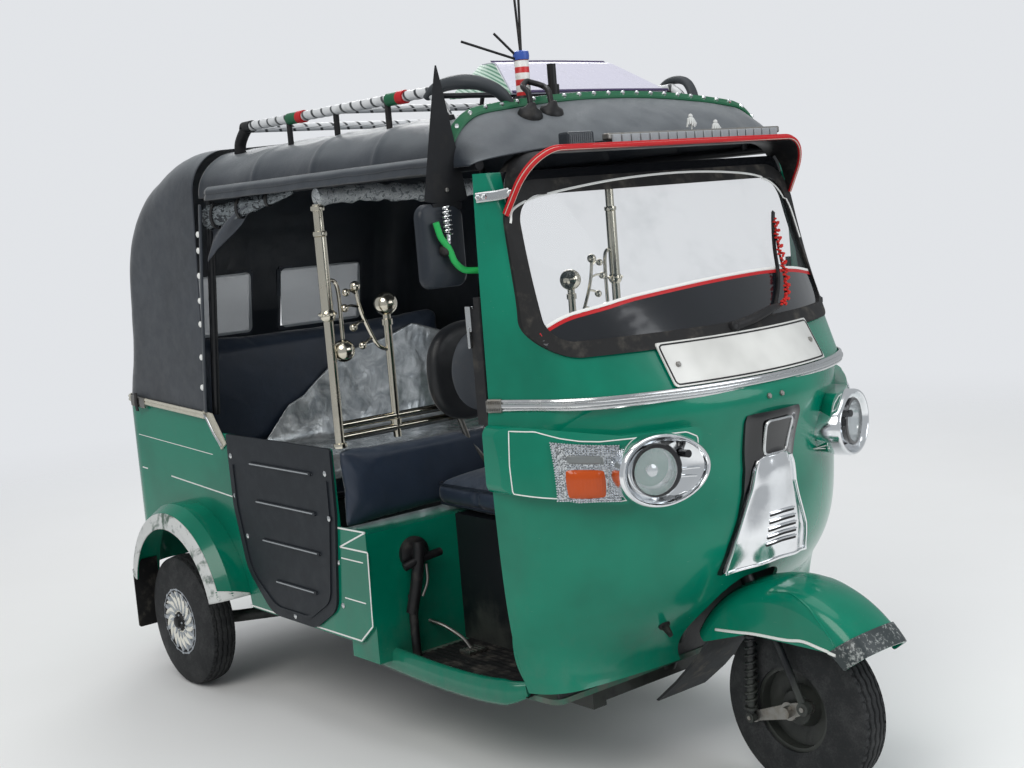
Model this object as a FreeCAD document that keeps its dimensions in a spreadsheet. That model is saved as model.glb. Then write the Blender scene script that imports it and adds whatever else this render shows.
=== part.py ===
import FreeCAD, Part
import Sketcher
import math
import os

# Auto rickshaw with a pressed-steel front cowl, a rexine canopy over a tube frame,
# a single-sided trailing-link front fork and two trailing arms at the rear.
# Frame: X forward, Y to the vehicle's left, Z up, ground at Z = 0.
# Every shape below is drawn from the front axle: its X is zero on that axle and the
# placement of each sub-part moves it forward by front_axle_x.

Vec = FreeCAD.Vector
doc = FreeCAD.newDocument("auto_rickshaw")

# Driving dimensions: alias, value in mm or degrees, what it measures
SIZES = [
    ("front_axle_x", 1092.2, "front axle ahead of the middle of the vehicle"),
    ("wheel_base", 2000, "front axle to rear axle"),
    ("rear_wheel_out", 16, "centre plane of a rear wheel outside the side panel's face"),
    ("tyre_radius", 207, "unloaded radius of the 4.00-8 tyre"),
    ("tyre_width", 98, "width of the tyre"),
    ("rim_radius", 108, "outer radius of the rim's flange"),
    ("hub_radius", 40, "radius of the hub barrel"),
    ("axle_radius", 9, "radius of a stub axle"),
    ("running_gap", 0.3, "clearance where a wheel or shaft turns"),
    ("seat_gap", 0.3, "gap where a soft or separate piece rests"),
    ("steering_rake", 24, "lean of the steering axis from upright"),
    ("steering_trail", 60, "steering axis ahead of the axle at the ground"),
    ("column_radius", 17, "radius of the steering column"),
    ("column_foot", 432, "height of the column's lower end"),
    ("column_top", 985, "height of the column's upper end"),
    ("head_tube_radius", 30, "outer radius of the head tube"),
    ("half_width", 546, "side panel's outer face from the middle"),
    ("door_edge", 408, "cowl's rear edge behind the front axle"),
    ("cowl_wall", 9, "thickness of the cowl's pressing with its returns"),
    ("belt_height", 979, "height of the chrome belt on the cowl"),
    ("glass_thickness", 6, "windscreen glass"),
    ("glass_grip", 8, "how far the glass reaches into its rubber"),
    ("panel_wall", 8, "thickness of a body panel with its returns"),
    ("floor_top", 252, "driver's floor above the ground"),
    ("floor_wall", 14, "thickness of the floor with its ribs"),
    ("cabin_floor_top", 336, "passenger floor above the ground"),
    ("seat_box_front", 977, "front face of the driver's seat box"),
    ("seat_box_back", 1103, "back face of the driver's seat box"),
    ("seat_box_top", 604, "top of the driver's seat box"),
    ("sill_height", 300, "lower edge of the side panels"),
    ("waist_front", 866, "top of the side panel at the hood's foot"),
    ("waist_rear", 894, "top of the tail panel"),
    ("tail_back", 2415, "rear face of the body behind the front axle"),
    ("tail_corner", 125, "corner radius of the tail in plan"),
    ("wheel_arch_radius", 325, "crown radius of a rear fender"),
    ("wheel_arch_height", 265, "centre of the rear fender's arch above the ground"),
    ("wheel_arch_shift", 50, "centre of that arch ahead of the rear axle"),
    ("fender_wall", 4, "thickness of a fender"),
    ("rear_fender_reach", 104, "how far a rear fender stands out from the side panel"),
    ("front_fender_radius", 312, "crown radius of the front fender about the axle"),
    ("front_fender_half", 92, "half width of the front fender"),
    ("roof_half_width", 538, "canopy's lower edge from the middle"),
    ("roof_edge_height", 1518, "canopy's lower edge above the ground"),
    ("roof_corner", 125, "corner radius of the canopy's arch"),
    ("roof_camber", 3200, "radius of the canopy's flat crown"),
    ("roof_crown_height", 1675, "top of the canopy"),
    ("roof_front", 500, "front arch of the canopy behind the front axle"),
    ("roof_seam", 1712, "seam of the canopy and the rear hood"),
    ("rexine_wall", 12, "thickness of canopy cloth with its padding"),
    ("rail_radius", 12, "radius of the roof frame tubes"),
    ("post_radius", 13, "radius of the chrome posts"),
    ("partition_station", 1090, "cross plane of the posts behind the driver"),
    ("chassis_rail_offset", 260, "centre of a chassis rail from the middle"),
    ("chassis_rail_height", 60, "depth of a chassis rail"),
    ("chassis_rail_width", 44, "width of a chassis rail"),
    ("lamp_offset", 330, "centre of a headlamp from the middle"),
    ("lamp_height", 822, "centre of a headlamp above the ground"),
    ("lamp_radius", 64, "radius of the headlamp's glass"),
    ("bezel_half_width", 98, "half width of the chrome bezel"),
    ("bezel_half_height", 86, "half height of the chrome bezel"),
    ("guard_thickness", 8, "thickness of the side guard's pressing"),
    ("guard_front", 1101, "front edge of the guard behind the front axle"),
    ("guard_rear", 1672, "rear edge of the guard at its top"),
    ("guard_top", 824, "top of the guard"),
    ("guard_bottom", 305, "bottom of the guard"),
    ("guard_lap", 28, "how far the guard laps over the entry opening's edge"),
    ("hatch_half_width", 330, "half width of the engine hatch"),
    ("hatch_bottom", 350, "lower edge of the engine hatch"),
    ("hatch_top", 690, "upper edge of the engine hatch"),
    ("hatch_gap", 5, "gap round the engine hatch"),
]

sheet = doc.addObject("Spreadsheet::Sheet", "sizes")
for row, (alias, value, meaning) in enumerate(SIZES, start=1):
    sheet.set("A%d" % row, meaning)
    sheet.set("B%d" % row, str(value))
    sheet.setAlias("B%d" % row, alias)
doc.recompute()


def size(alias):
    """A driving dimension as it stands in the sheet."""
    return float(sheet.get(alias))


class Length:
    """A length that carries the expression which binds it to the sheet."""

    def __init__(self, value, text):
        self.value = value
        self.text = text

    def __add__(self, other):
        other = as_length(other)
        return Length(self.value + other.value, "(%s + %s)" % (self.text, other.text))

    def __sub__(self, other):
        other = as_length(other)
        return Length(self.value - other.value, "(%s - %s)" % (self.text, other.text))

    def __mul__(self, factor):
        return Length(self.value * factor, "(%s * (%r))" % (self.text, factor))

    def __neg__(self):
        return self * -1

    def __radd__(self, other):
        return self + other

    def __rsub__(self, other):
        return as_length(other) - self

    def __rmul__(self, factor):
        return self * factor


def as_length(value):
    """A plain number as a length."""
    return value if isinstance(value, Length) else Length(float(value), "(%r)" % float(value))


def bound(alias):
    """A driving dimension as a length bound to its cell."""
    return Length(size(alias), "sizes." + alias)


def bind(obj, values):
    """Bind an object's properties to lengths."""
    for name, value in values.items():
        obj.setExpression(name, as_length(value).text)
    return obj


def stand(obj, x, y, z):
    """Bind where an object stands."""
    return bind(obj, {".Placement.Base.x": x, ".Placement.Base.y": y, ".Placement.Base.z": z})


subparts = []


def keep(obj, label):
    """Name an object as one of the vehicle's sub-parts."""
    obj.Label = label
    subparts.append(obj)
    return obj


def feature(label, shape):
    """Sub-part from a shape drawn from the front axle."""
    obj = doc.addObject("Part::Feature", label)
    obj.Shape = shape
    obj.Placement = FreeCAD.Placement(Vec(0, 0, 0), FreeCAD.Rotation())
    return finished(obj, label)


def finished(obj, label):
    """Sub-part from an object drawn from the front axle."""
    obj.setExpression(".Placement.Base.x", "sizes.front_axle_x")
    return keep(obj, label)


# Solids of the document that are bound to the sheet


def block(name, low, high):
    """Box between two corners."""
    obj = doc.addObject("Part::Box", name)
    stand(obj, *low)
    names = ("Length", "Width", "Height")
    return bind(obj, {side: as_length(b) - a for side, a, b in zip(names, low, high)})


def eased(base, radius):
    """A box with all its edges rounded."""
    obj = doc.addObject("Part::Fillet", base.Name + "_eased")
    obj.Base = base
    obj.Edges = [(edge, radius, radius) for edge in range(1, 13)]
    return obj


def bar(name, start, axis, length, radius):
    """Round bar from a point along an axis."""
    obj = doc.addObject("Part::Cylinder", name)
    obj.Placement = FreeCAD.Placement(Vec(0, 0, 0), FreeCAD.Rotation(Vec(0, 0, 1), axis))
    stand(obj, *start)
    return bind(obj, {"Height": length, "Radius": radius})


def union(name, shapes):
    """Objects joined into one solid."""
    obj = doc.addObject("Part::MultiFuse", name)
    obj.Shapes = shapes
    obj.Refine = True
    return obj


def group(name, shapes):
    """Objects kept as separate solids of one sub-part."""
    obj = doc.addObject("Part::Compound", name)
    obj.Links = shapes
    return obj


def difference(name, base, tool):
    """One object less another."""
    obj = doc.addObject("Part::Cut", name)
    obj.Base = base
    obj.Tool = tool
    return obj


def reflected(base):
    """An object's mirror image on the other side of the vehicle."""
    obj = doc.addObject("Part::Mirroring", base.Name + "_left")
    obj.Source = base
    obj.Normal = Vec(0, 1, 0)
    obj.Base = Vec(0, 0, 0)
    return obj


def own_plane(body, role):
    """One of a body's own origin planes or axes."""
    for item in body.Origin.OriginFeatures:
        if item.Role == role:
            return item
    raise RuntimeError("no " + role)


def outline(body, name, role, corners, offset=0):
    """Closed sketch of straight runs on a body's own plane; each corner is bound to its two lengths."""
    sketch = body.newObject("Sketcher::SketchObject", name)
    sketch.AttachmentSupport = (own_plane(body, role), [""])
    sketch.MapMode = "FlatFace"
    sketch.setExpression(".AttachmentOffset.Base.z", as_length(offset).text)
    corners = [(as_length(u), as_length(v)) for u, v in corners]
    count = len(corners)
    points = [Vec(u.value, v.value, 0) for u, v in corners]
    sketch.addGeometry([Part.LineSegment(points[i], points[(i + 1) % count]) for i in range(count)], False)
    sketch.addConstraint([Sketcher.Constraint("Coincident", i, 2, (i + 1) % count, 1) for i in range(count)])
    for i, (u, v) in enumerate(corners):
        for kind, length in (("DistanceX", u), ("DistanceY", v)):
            place = sketch.addConstraint(Sketcher.Constraint(kind, -1, 1, i, 1, length.value))
            sketch.setExpression("Constraints[%d]" % place, length.text)
    return sketch


def turned_body(name, sections, angle=360):
    """Body of sections turned about its own Y axis; each section is (across, distance from the axis)."""
    body = doc.addObject("PartDesign::Body", name)
    for number, corners in enumerate(sections):
        sketch = outline(body, "%s_section%d" % (name, number), "YZ_Plane", corners)
        turn = body.newObject("PartDesign::Revolution", "%s_turn%d" % (name, number))
        turn.Profile = sketch
        turn.ReferenceAxis = (sketch, ["H_Axis"])
        turn.Angle = angle
        turn.Midplane = angle < 360
    return body


def padded_body(name, role, corners, start, end):
    """Body of one outline extruded from start to end along its plane's normal."""
    body = doc.addObject("PartDesign::Body", name)
    sketch = outline(body, name + "_outline", role, corners, start)
    pad = body.newObject("PartDesign::Pad", name + "_pad")
    pad.Profile = sketch
    bind(pad, {"Length": as_length(end) - start})
    return body


# Curves and solids used by several sub-parts


def rounded(points):
    """Line and arc geometry of a closed outline; each point is (u, v, corner radius)."""
    count = len(points)
    corners = []
    for i in range(count):
        before = Vec(*points[i - 1][:2], 0)
        here = Vec(*points[i][:2], 0)
        after = Vec(*points[(i + 1) % count][:2], 0)
        radius = points[i][2]
        to_before = (before - here).normalize()
        to_after = (after - here).normalize()
        if radius <= 0:
            corners.append((here, here, None))
            continue
        half = to_before.getAngle(to_after) / 2
        reach = radius / math.tan(half)
        middle = (to_before + to_after).normalize() * (radius / math.sin(half) - radius)
        corners.append((here + to_before * reach, here + to_after * reach, here + middle))
    geometry = []
    for i in range(count):
        start, end, middle = corners[i]
        if middle is not None:
            geometry.append(Part.Arc(start, middle, end))
        next_start = corners[(i + 1) % count][0]
        if (next_start - end).Length > 0.001:
            geometry.append(Part.LineSegment(end, next_start))
    return geometry


def face_of(geometry, plane, offset):
    """Face of an outline laid in plane "XY", "XZ" or "YZ" at an offset along its normal."""
    wire = Part.Wire([g.toShape() for g in geometry])
    face = Part.Face(wire)
    if plane == "XZ":
        face.rotate(Vec(0, 0, 0), Vec(1, 0, 0), 90)
        face.translate(Vec(0, offset, 0))
    elif plane == "YZ":
        face.rotate(Vec(0, 0, 0), Vec(1, 1, 1), 120)
        face.translate(Vec(offset, 0, 0))
    else:
        face.translate(Vec(0, 0, offset))
    return face


NORMALS = {"XY": Vec(0, 0, 1), "XZ": Vec(0, 1, 0), "YZ": Vec(1, 0, 0)}


def prism(points, plane, start, end):
    """Rounded outline extruded along its plane's normal from start to end."""
    face = face_of(rounded(points), plane, start)
    return face.extrude(NORMALS[plane] * (end - start))


def box(x0, x1, y0, y1, z0, z1):
    """Block between two corners."""
    return Part.makeBox(x1 - x0, y1 - y0, z1 - z0, Vec(x0, y0, z0))


def soft_box(x0, x1, y0, y1, z0, z1, radius):
    """Block with every edge rounded."""
    block = box(x0, x1, y0, y1, z0, z1)
    return block.makeFillet(radius, block.Edges)


def rod(start, end, radius):
    """Round bar between two points."""
    axis = end - start
    return Part.makeCylinder(radius, axis.Length, start, axis)


def path(points, bend):
    """Straight runs joined by tangent arcs of the radius bend, shortened where runs are short."""
    edges = []
    here = points[0]
    for i in range(1, len(points) - 1):
        to_before = points[i - 1] - points[i]
        to_after = points[i + 1] - points[i]
        reach_limit = 0.45 * min(to_before.Length, to_after.Length)
        half = to_before.getAngle(to_after) / 2
        reach = min(bend / math.tan(half), reach_limit)
        radius = reach * math.tan(half)
        to_before.normalize()
        to_after.normalize()
        start = points[i] + to_before * reach
        end = points[i] + to_after * reach
        middle = points[i] + (to_before + to_after).normalize() * (radius / math.sin(half) - radius)
        edges.append(Part.LineSegment(here, start).toShape())
        edges.append(Part.Arc(start, middle, end).toShape())
        here = end
    edges.append(Part.LineSegment(here, points[-1]).toShape())
    return Part.Wire(edges)


def tube(points, radius, bend):
    """Round bar bent along a route."""
    spine = path(points, bend)
    ring = Part.Wire(Part.Circle(points[0], points[1] - points[0], radius).toShape())
    return spine.makePipeShell([ring], True, True)


def mirrored(shape):
    """The same shape on the other side of the vehicle."""
    return shape.mirror(Vec(0, 0, 0), Vec(0, 1, 0))


def both_sides(shape):
    """A shape and its mirror image as two solids of one sub-part."""
    return Part.makeCompound([shape, mirrored(shape)])


def fused(shapes):
    """Shapes joined into one, with faces that continue each other merged where that stays sound."""
    whole = shapes[0].fuse(shapes[1:])
    merged = whole.removeSplitter()
    return merged if merged.isValid() else whole


# Steering axis: it leans back and meets the ground ahead of the axle
RAKE = math.radians(size("steering_rake"))
AXIS = Vec(-math.sin(RAKE), 0, math.cos(RAKE))


def on_axis(height):
    """Point of the steering axis at a height."""
    return Vec(size("steering_trail") - math.tan(RAKE) * height, 0, height)


# Plan sections of the cowl, from the chin up to the windscreen's head:
# height, front, front radius, corner radius, half width, toe-in degrees
LOWER_SECTIONS = [
    (288, -288, 2500, 120, 500, 20),
    (400, -228, 1000, 120, 530, 20),
    (520, -108, 700, 120, 545, 14),
    (660, -70, 700, 120, 553, 14),
    (830, -60, 700, 140, 558, 14),
    (979, -50, 800, 240, 548, 22),
]
UPPER_SECTIONS = [
    (979, -50, 800, 240, 548, 22),
    (1095, -124, 900, 120, 547, 24),
    (1300, -248, 1300, 80, 545, 34),
    (1500, -371, 8000, 30, 540, 36),
]


def cowl_section(row, inset, back, height=None):
    """Closed plan section: side line, corner arc, front arc, corner arc, side line, back line."""
    level, front, front_radius, corner, half, toe = row
    level = level if height is None else height
    door = -size("door_edge")
    front -= inset
    front_radius -= inset
    corner = max(corner - inset, 2)
    slope = math.tan(math.radians(toe))
    half -= inset / math.cos(math.radians(toe))
    centre_x = front - front_radius
    reach = front_radius - corner
    edge_offset = half + door * slope - corner / math.cos(math.radians(toe))
    a = 1 + slope * slope
    b = centre_x + edge_offset * slope
    c = centre_x * centre_x + edge_offset * edge_offset - reach * reach
    corner_x = (b + math.sqrt(b * b - a * c)) / a
    corner_y = edge_offset - corner_x * slope
    to_corner = math.atan2(corner_y, corner_x - centre_x)
    side_angle = math.radians(90 - toe)
    turn = (to_corner + side_angle) / 2

    def at(angle):
        return Vec(corner_x + corner * math.cos(angle), corner_y + corner * math.sin(angle), level)

    def flipped(point):
        return Vec(point.x, -point.y, point.z)

    tail = Vec(back, half + (door - back) * slope, level)
    side = at(side_angle)
    middle = at(turn)
    shoulder = at(to_corner)
    nose = Vec(front, 0, level)
    edges = [
        Part.LineSegment(tail, side),
        Part.Arc(side, middle, shoulder),
        Part.Arc(shoulder, nose, flipped(shoulder)),
        Part.Arc(flipped(shoulder), flipped(middle), flipped(side)),
        Part.LineSegment(flipped(side), flipped(tail)),
        Part.LineSegment(flipped(tail), tail),
    ]
    return Part.Wire([e.toShape() for e in edges])


def cowl_solid(rows, inset, back=None):
    """Smooth solid through the sections, each drawn in by the inset."""
    back = -size("door_edge") if back is None else back
    return Part.makeLoft([cowl_section(row, inset, back) for row in rows], True, False)


INNER_BACK = -size("door_edge") - 60
lower_outer = cowl_solid(LOWER_SECTIONS, 0)
upper_outer = cowl_solid(UPPER_SECTIONS, 0)


def front_cowl():
    """Lower cowl: hollow, open behind, below and above, with the wheel's arch cut out."""
    inner = cowl_solid(LOWER_SECTIONS, size("cowl_wall"), INNER_BACK)
    shell = lower_outer.cut(inner)
    arch = prism([(-112, 200, 0), (112, 200, 0), (104, 514, 70), (-104, 514, 70)], "YZ", -420, 0)
    door = -size("door_edge")
    lower = LOWER_SECTIONS[0][0]
    radius = 80
    corner = box(door - 1, door + radius, -600, 600, lower - 1, lower + radius)
    corner = corner.cut(Part.makeCylinder(radius, 1200, Vec(door + radius, -600, lower + radius), Vec(0, 1, 0)))
    return shell.cut(arch).cut(corner)


# Windscreen opening seen from ahead: y, z, corner radius
WINDOW = [(-500, 1092, 75), (500, 1092, 75), (478, 1466, 90), (-478, 1466, 90)]


def window_prism(grow):
    """The windscreen's outline, grown outwards, as a long prism."""
    points = []
    for y, z, radius in WINDOW:
        out = 1 if y > 0 else -1
        up = 1 if z > 1250 else -1
        points.append((y + grow * out, z + grow * up, radius + grow))
    return prism(points, "YZ", -600, 0)


def windscreen_surround():
    """Pressed frame from the belt to the roof, hollow, with the windscreen cut out."""
    inner = cowl_solid(UPPER_SECTIONS, size("cowl_wall"), INNER_BACK)
    return upper_outer.cut(inner).cut(window_prism(0))


surround = windscreen_surround()


def windscreen_glass():
    """Bent glass held in its rubber."""
    outer = cowl_solid(UPPER_SECTIONS, 1, INNER_BACK)
    inner = cowl_solid(UPPER_SECTIONS, 1 + size("glass_thickness"), INNER_BACK)
    return outer.cut(inner).common(window_prism(-14))


glass = windscreen_glass()


def windscreen_seal():
    """Rubber ring that grips the surround outside and the glass inside."""
    ring = window_prism(13).cut(window_prism(-14 - size("glass_grip")))
    ring = ring.common(cowl_solid(UPPER_SECTIONS, -6, INNER_BACK))
    ring = ring.cut(cowl_solid(UPPER_SECTIONS, size("cowl_wall") + 5, INNER_BACK - 20))
    return ring.cut(surround).cut(glass)


def skin_patch(points, rows, low, high):
    """Piece that follows the cowl's surface from offset low to offset high, cut to an outline."""
    column = prism(points, "YZ", -size("door_edge") + 1, 60)
    return column.common(cowl_solid(rows, -high)).cut(cowl_solid(rows, -low))


def belt_strip():
    """Chrome strip round the cowl."""
    row = LOWER_SECTIONS[-1]
    half_height = 14
    level = size("belt_height")
    back = -size("door_edge")
    outer = Part.Face(cowl_section(row, -9, back, level - half_height))
    inner = Part.Face(cowl_section(row, -0.5, back - 10, level - half_height))
    strip = outer.cut(inner).extrude(Vec(0, 0, 2 * half_height))
    return strip.cut(lower_outer).cut(upper_outer)


NOSE_PANEL_OUT = 12
NOSE_PANEL = [(-92, 511, 10), (92, 511, 10), (60, 906, 22), (-60, 906, 22)]
NOSE_SHIELD = [(-84, 517, 12), (84, 517, 12), (42, 800, 30), (-42, 800, 30)]


def nose_shield():
    """Chrome shield on the nose panel with rows of louvre slots."""
    shield = skin_patch(NOSE_SHIELD, LOWER_SECTIONS, NOSE_PANEL_OUT, NOSE_PANEL_OUT + 12)
    slots = []
    for i in range(5):
        level = 552 + 14 * i
        slots.append(box(-120, 0, -34, 34, level, level + 6))
    return shield.cut(Part.makeCompound(slots))


POD_OUT = 30
POD = [(-232, 908, 26), (-222, 762, 30), (-400, 748, 0), (-575, 785, 24), (-575, 942, 24), (-400, 905, 0)]


def lamp_pod():
    """Right-hand lamp pod, flush on the cowl, that wraps round its corner."""
    return skin_patch(POD, LOWER_SECTIONS, 0.3, POD_OUT)


def ellipse_prism(half_width, half_height, x0, x1, y, z):
    """Elliptical cylinder along X."""
    major = max(half_width, half_height)
    minor = min(half_width, half_height)
    curve = Part.Ellipse(Vec(0, 0, 0), major, minor)
    face = Part.Face(Part.Wire(curve.toShape()))
    if half_height > half_width:
        face.rotate(Vec(0, 0, 0), Vec(0, 0, 1), 90)
    face.rotate(Vec(0, 0, 0), Vec(1, 1, 1), 120)
    face.translate(Vec(x0, y, z))
    return face.extrude(Vec(x1 - x0, 0, 0))


pod_surface = cowl_solid(LOWER_SECTIONS, -POD_OUT)


LAMP_TURN = -18
LAMP_FRONT = -70


def turned(shape):
    """A lamp piece turned outwards with the cowl's corner."""
    shape.rotate(Vec(LAMP_FRONT, -size("lamp_offset"), 0), Vec(0, 0, 1), LAMP_TURN)
    return shape


def headlamp_bezel():
    """Oval chrome bezel standing on the pod, bored for the lamp."""
    y = -size("lamp_offset")
    z = size("lamp_height")
    front = LAMP_FRONT
    body = ellipse_prism(size("bezel_half_width"), size("bezel_half_height"), front - 90, front, y, z)
    radius = size("lamp_radius") + size("seat_gap")
    bore = Part.makeCylinder(radius, 300, Vec(front - 200, y - 12, z), Vec(1, 0, 0))
    return turned(body.cut(bore)).cut(pod_surface)


def headlamp_glass():
    """Round lamp with a domed front."""
    y = -size("lamp_offset") - 12
    z = size("lamp_height")
    radius = size("lamp_radius")
    barrel = Part.makeCylinder(radius, 120, Vec(LAMP_FRONT - 110, y, z), Vec(1, 0, 0))
    dome = Part.makeSphere(radius * 2, Vec(LAMP_FRONT - 4 - radius * 2, y, z))
    return turned(barrel.common(dome)).cut(pod_surface)


INDICATOR_FRAME = [(-440, 772, 10), (-540, 790, 10), (-536, 906, 10), (-440, 892, 10)]
INDICATOR = [(-450, 786, 8), (-520, 798, 8), (-520, 842, 8), (-450, 832, 8)]
SIDE_LIGHT = [(-450, 852, 5), (-520, 862, 5), (-520, 886, 5), (-450, 874, 5)]
PLATE = [(-262, 995, 6), (262, 995, 6), (262, 1092, 6), (-262, 1092, 6)]


def grown(points, grow):
    """Outline of four corners drawn outwards a little from its middle."""
    middle_y = sum(point[0] for point in points) / 4
    middle_z = sum(point[1] for point in points) / 4
    wider = []
    for y, z, radius in points:
        wider.append((y + math.copysign(grow, y - middle_y), z + math.copysign(grow, z - middle_z), radius))
    return wider


def visor_outline(grow, x0, x1):
    """Arch of the visor seen from ahead, as a prism along X."""
    return prism([
        (-492 - grow, 1376, 0), (492 + grow, 1376, 0),
        (470 + grow, 1541 + grow, 95 + grow), (-470 - grow, 1541 + grow, 95 + grow)], "YZ", x0, x1)


def visor():
    """Peak round the top of the windscreen, cut off parallel to the glass."""
    shell = visor_outline(0, -405, -270).cut(visor_outline(-5, -406, -269))
    shell = shell.cut(box(-500, -200, -487, 487, 1370, 1380))
    lean = math.tan(math.radians(32))
    edge_x = -280
    edge_z = 1535
    behind = prism([
        (edge_x - lean * (edge_z - 1300), 1300, 0), (edge_x + lean * 65, edge_z + 65, 0),
        (-500, edge_z + 65, 0), (-500, 1300, 0)], "XZ", -600, 600)
    return shell.common(behind).cut(cowl_solid(UPPER_SECTIONS, -6 - size("seat_gap")))


def roof_arch(inset, low, station):
    """Arch section across the vehicle: upright edges, corner arcs and a flat crown, all tangent."""
    half = size("roof_half_width") - inset
    corner = size("roof_corner") - inset
    camber = size("roof_camber") - inset
    centre = size("roof_crown_height") - size("roof_camber")
    corner_y = half - corner
    corner_z = centre + math.sqrt((camber - corner) ** 2 - corner_y ** 2)
    lean = math.atan2(corner_y, corner_z - centre)
    turn = (math.pi / 2 + lean) / 2

    def corner_point(angle, side):
        y = corner_y + corner * math.sin(angle)
        return Vec(station, side * y, corner_z + corner * math.cos(angle))

    crown = Vec(station, 0, centre + camber)
    edges = []
    if low < corner_z:
        edges.append(Part.LineSegment(Vec(station, half, low), Vec(station, half, corner_z)))
    edges.append(Part.Arc(Vec(station, half, corner_z), corner_point(turn, 1), corner_point(lean, 1)))
    edges.append(Part.Arc(corner_point(lean, 1), crown, corner_point(lean, -1)))
    edges.append(Part.Arc(corner_point(lean, -1), corner_point(turn, -1), Vec(station, -half, corner_z)))
    if low < corner_z:
        edges.append(Part.LineSegment(Vec(station, -half, corner_z), Vec(station, -half, low)))
    return [edge.toShape() for edge in edges]


def roof_face(inset, low, station):
    """Face under the arch."""
    edges = roof_arch(inset, low, station)
    half = size("roof_half_width") - inset
    edges.append(Part.LineSegment(Vec(station, -half, low), Vec(station, half, low)).toShape())
    return Part.Face(Part.Wire(edges))


def roof_solid(inset, front, back, drop=0):
    """Solid under the arch from one station to another, drawn in by an inset."""
    face = roof_face(inset, size("roof_edge_height") - drop, front)
    return face.extrude(Vec(back - front, 0, 0))


def roof_shell():
    """Rexine roof from the front arch to the hood's seam."""
    front = -size("roof_front")
    back = -size("roof_seam")
    return roof_solid(0, front, back).cut(roof_solid(size("rexine_wall"), front + 1, back - 1, 1))


def waist_line(station):
    """Height of the hood's lower edge, just over the side panel's sloping top."""
    run = (-1778 - station) / (size("tail_back") - size("tail_corner") - 1778)
    return size("waist_front") + run * (size("waist_rear") - size("waist_front")) + size("seat_gap")


def hood_solid(inset):
    """Rear hood: side profile, cross arch and plan corners taken together."""
    back = size("tail_back")
    gap = size("seat_gap")
    side = [
        (-1792, waist_line(-1792), 0), (-size("roof_seam") + 34, 1514, 0), (-size("roof_seam") - gap, 1514, 0),
        (-size("roof_seam") - gap, 1670 - inset, 0),
        (-1930, 1668 - inset, 150), (-2185 + inset, 1590 - inset, 90),
        (-2292 + inset, 1440 - inset, 90), (-2345 + inset, 1060, 60),
        (-back + 4 + inset, size("waist_rear") + gap, 0), (-back + size("tail_corner"), size("waist_rear") + gap, 0)]
    profile = prism(side, "XZ", -700, 700)
    half = size("half_width") + 8 - inset
    arch = prism([
        (-half, 800, 0), (half, 800, 0), (half, 1560 - inset, 60),
        (half - 96, 1660 - inset, 90), (0, 1679 - inset, 0), (-half + 96, 1660 - inset, 90),
        (-half, 1560 - inset, 60)], "YZ", -2600, -1500)
    corner = size("tail_corner")
    plan = prism([
        (-1400, -half, 0), (-1400, half, 0),
        (-back + inset, half, corner), (-back + inset, -half, corner)], "XY", 800, 1800)
    return profile.common(arch).common(plan)


def rear_canopy():
    """Padded hood behind the seam, open to the cabin, with two rear panes cut out."""
    wall = size("rexine_wall") + 4
    inner = hood_solid(wall)
    open_front = box(-1900, -1500, -size("half_width") + wall, size("half_width") - wall, 700, 1655)
    lower = inner.copy()
    lower.translate(Vec(0, 0, -200))
    hollow = inner.fuse([open_front.common(hood_solid(wall).fuse(box(-1900, -1500, -530, 530, 700, 1540))), lower])
    return hood_solid(0).cut(hollow).cut(rear_panes_prism(0))


def rear_panes_prism(grow):
    """The two rear window openings."""
    panes = []
    for sign in (-1, 1):
        inner_edge = sign * (60 - grow)
        outer_edge = sign * (395 + grow)
        low = 1060 - grow
        high = 1270 + grow
        panes.append(prism([
            (inner_edge, low, 20), (outer_edge, low, 20),
            (outer_edge, high, 20), (inner_edge, high, 20)], "YZ", -2450, -2200))
    return Part.makeCompound(panes)


def rear_panes():
    """Clear panes in the hood's openings."""
    skin = hood_solid(4).cut(hood_solid(8))
    return skin.common(rear_panes_prism(-0.3))


BROW_HEAD = -332
BROW_LOW = 1520


def brow_solid(inset, drop):
    """Space under the brow: the roof's arch, the slope and the plan outline taken together."""
    front = -size("roof_front")
    half = size("roof_half_width") - inset
    crown = size("roof_crown_height") - inset
    arch = roof_face(inset, BROW_LOW - drop, front).extrude(Vec(-front - 320, 0, 0))
    slope = prism([
        (front, BROW_LOW - drop, 0), (front, crown, 0), (front + 18, crown - 1, 0),
        (BROW_HEAD - inset, 1562 - inset, 0), (BROW_HEAD - inset, BROW_LOW - drop, 0)], "XZ", -700, 700)
    plan = prism([
        (front, -half, 0), (-430, -half, 30), (BROW_HEAD - inset, -330, 200), (BROW_HEAD - inset, 330, 200),
        (-430, half, 30), (front, half, 0)], "XY", 1400, 1800)
    return arch.common(slope).common(plan)


def canopy_brow():
    """Slope of rexine from the canopy's front arch down to the visor."""
    return brow_solid(0, 0).cut(brow_solid(9, 5)).cut(visor_outline(size("seat_gap"), -404, -250))


def roof_canopy():
    """Rexine roof with its sloping brow."""
    return fused([roof_shell(), canopy_brow()])


# Side panels and tail


def entry_outline(lap):
    """Outline of the passenger entry, smaller than the guard by the lap: x, z, radius."""
    front = -size("guard_front") - lap
    rear = -size("guard_rear") + lap
    low = size("guard_bottom") + lap
    high = size("guard_top")
    return [
        (front, high, 8), (front - 3, 640, 120), (front - 40, low + 70, 70), (front - 160, low, 60),
        (rear + 175, low, 110), (rear + 52, 420, 130), (rear + 4, 610, 160), (rear, high, 8)]


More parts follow.
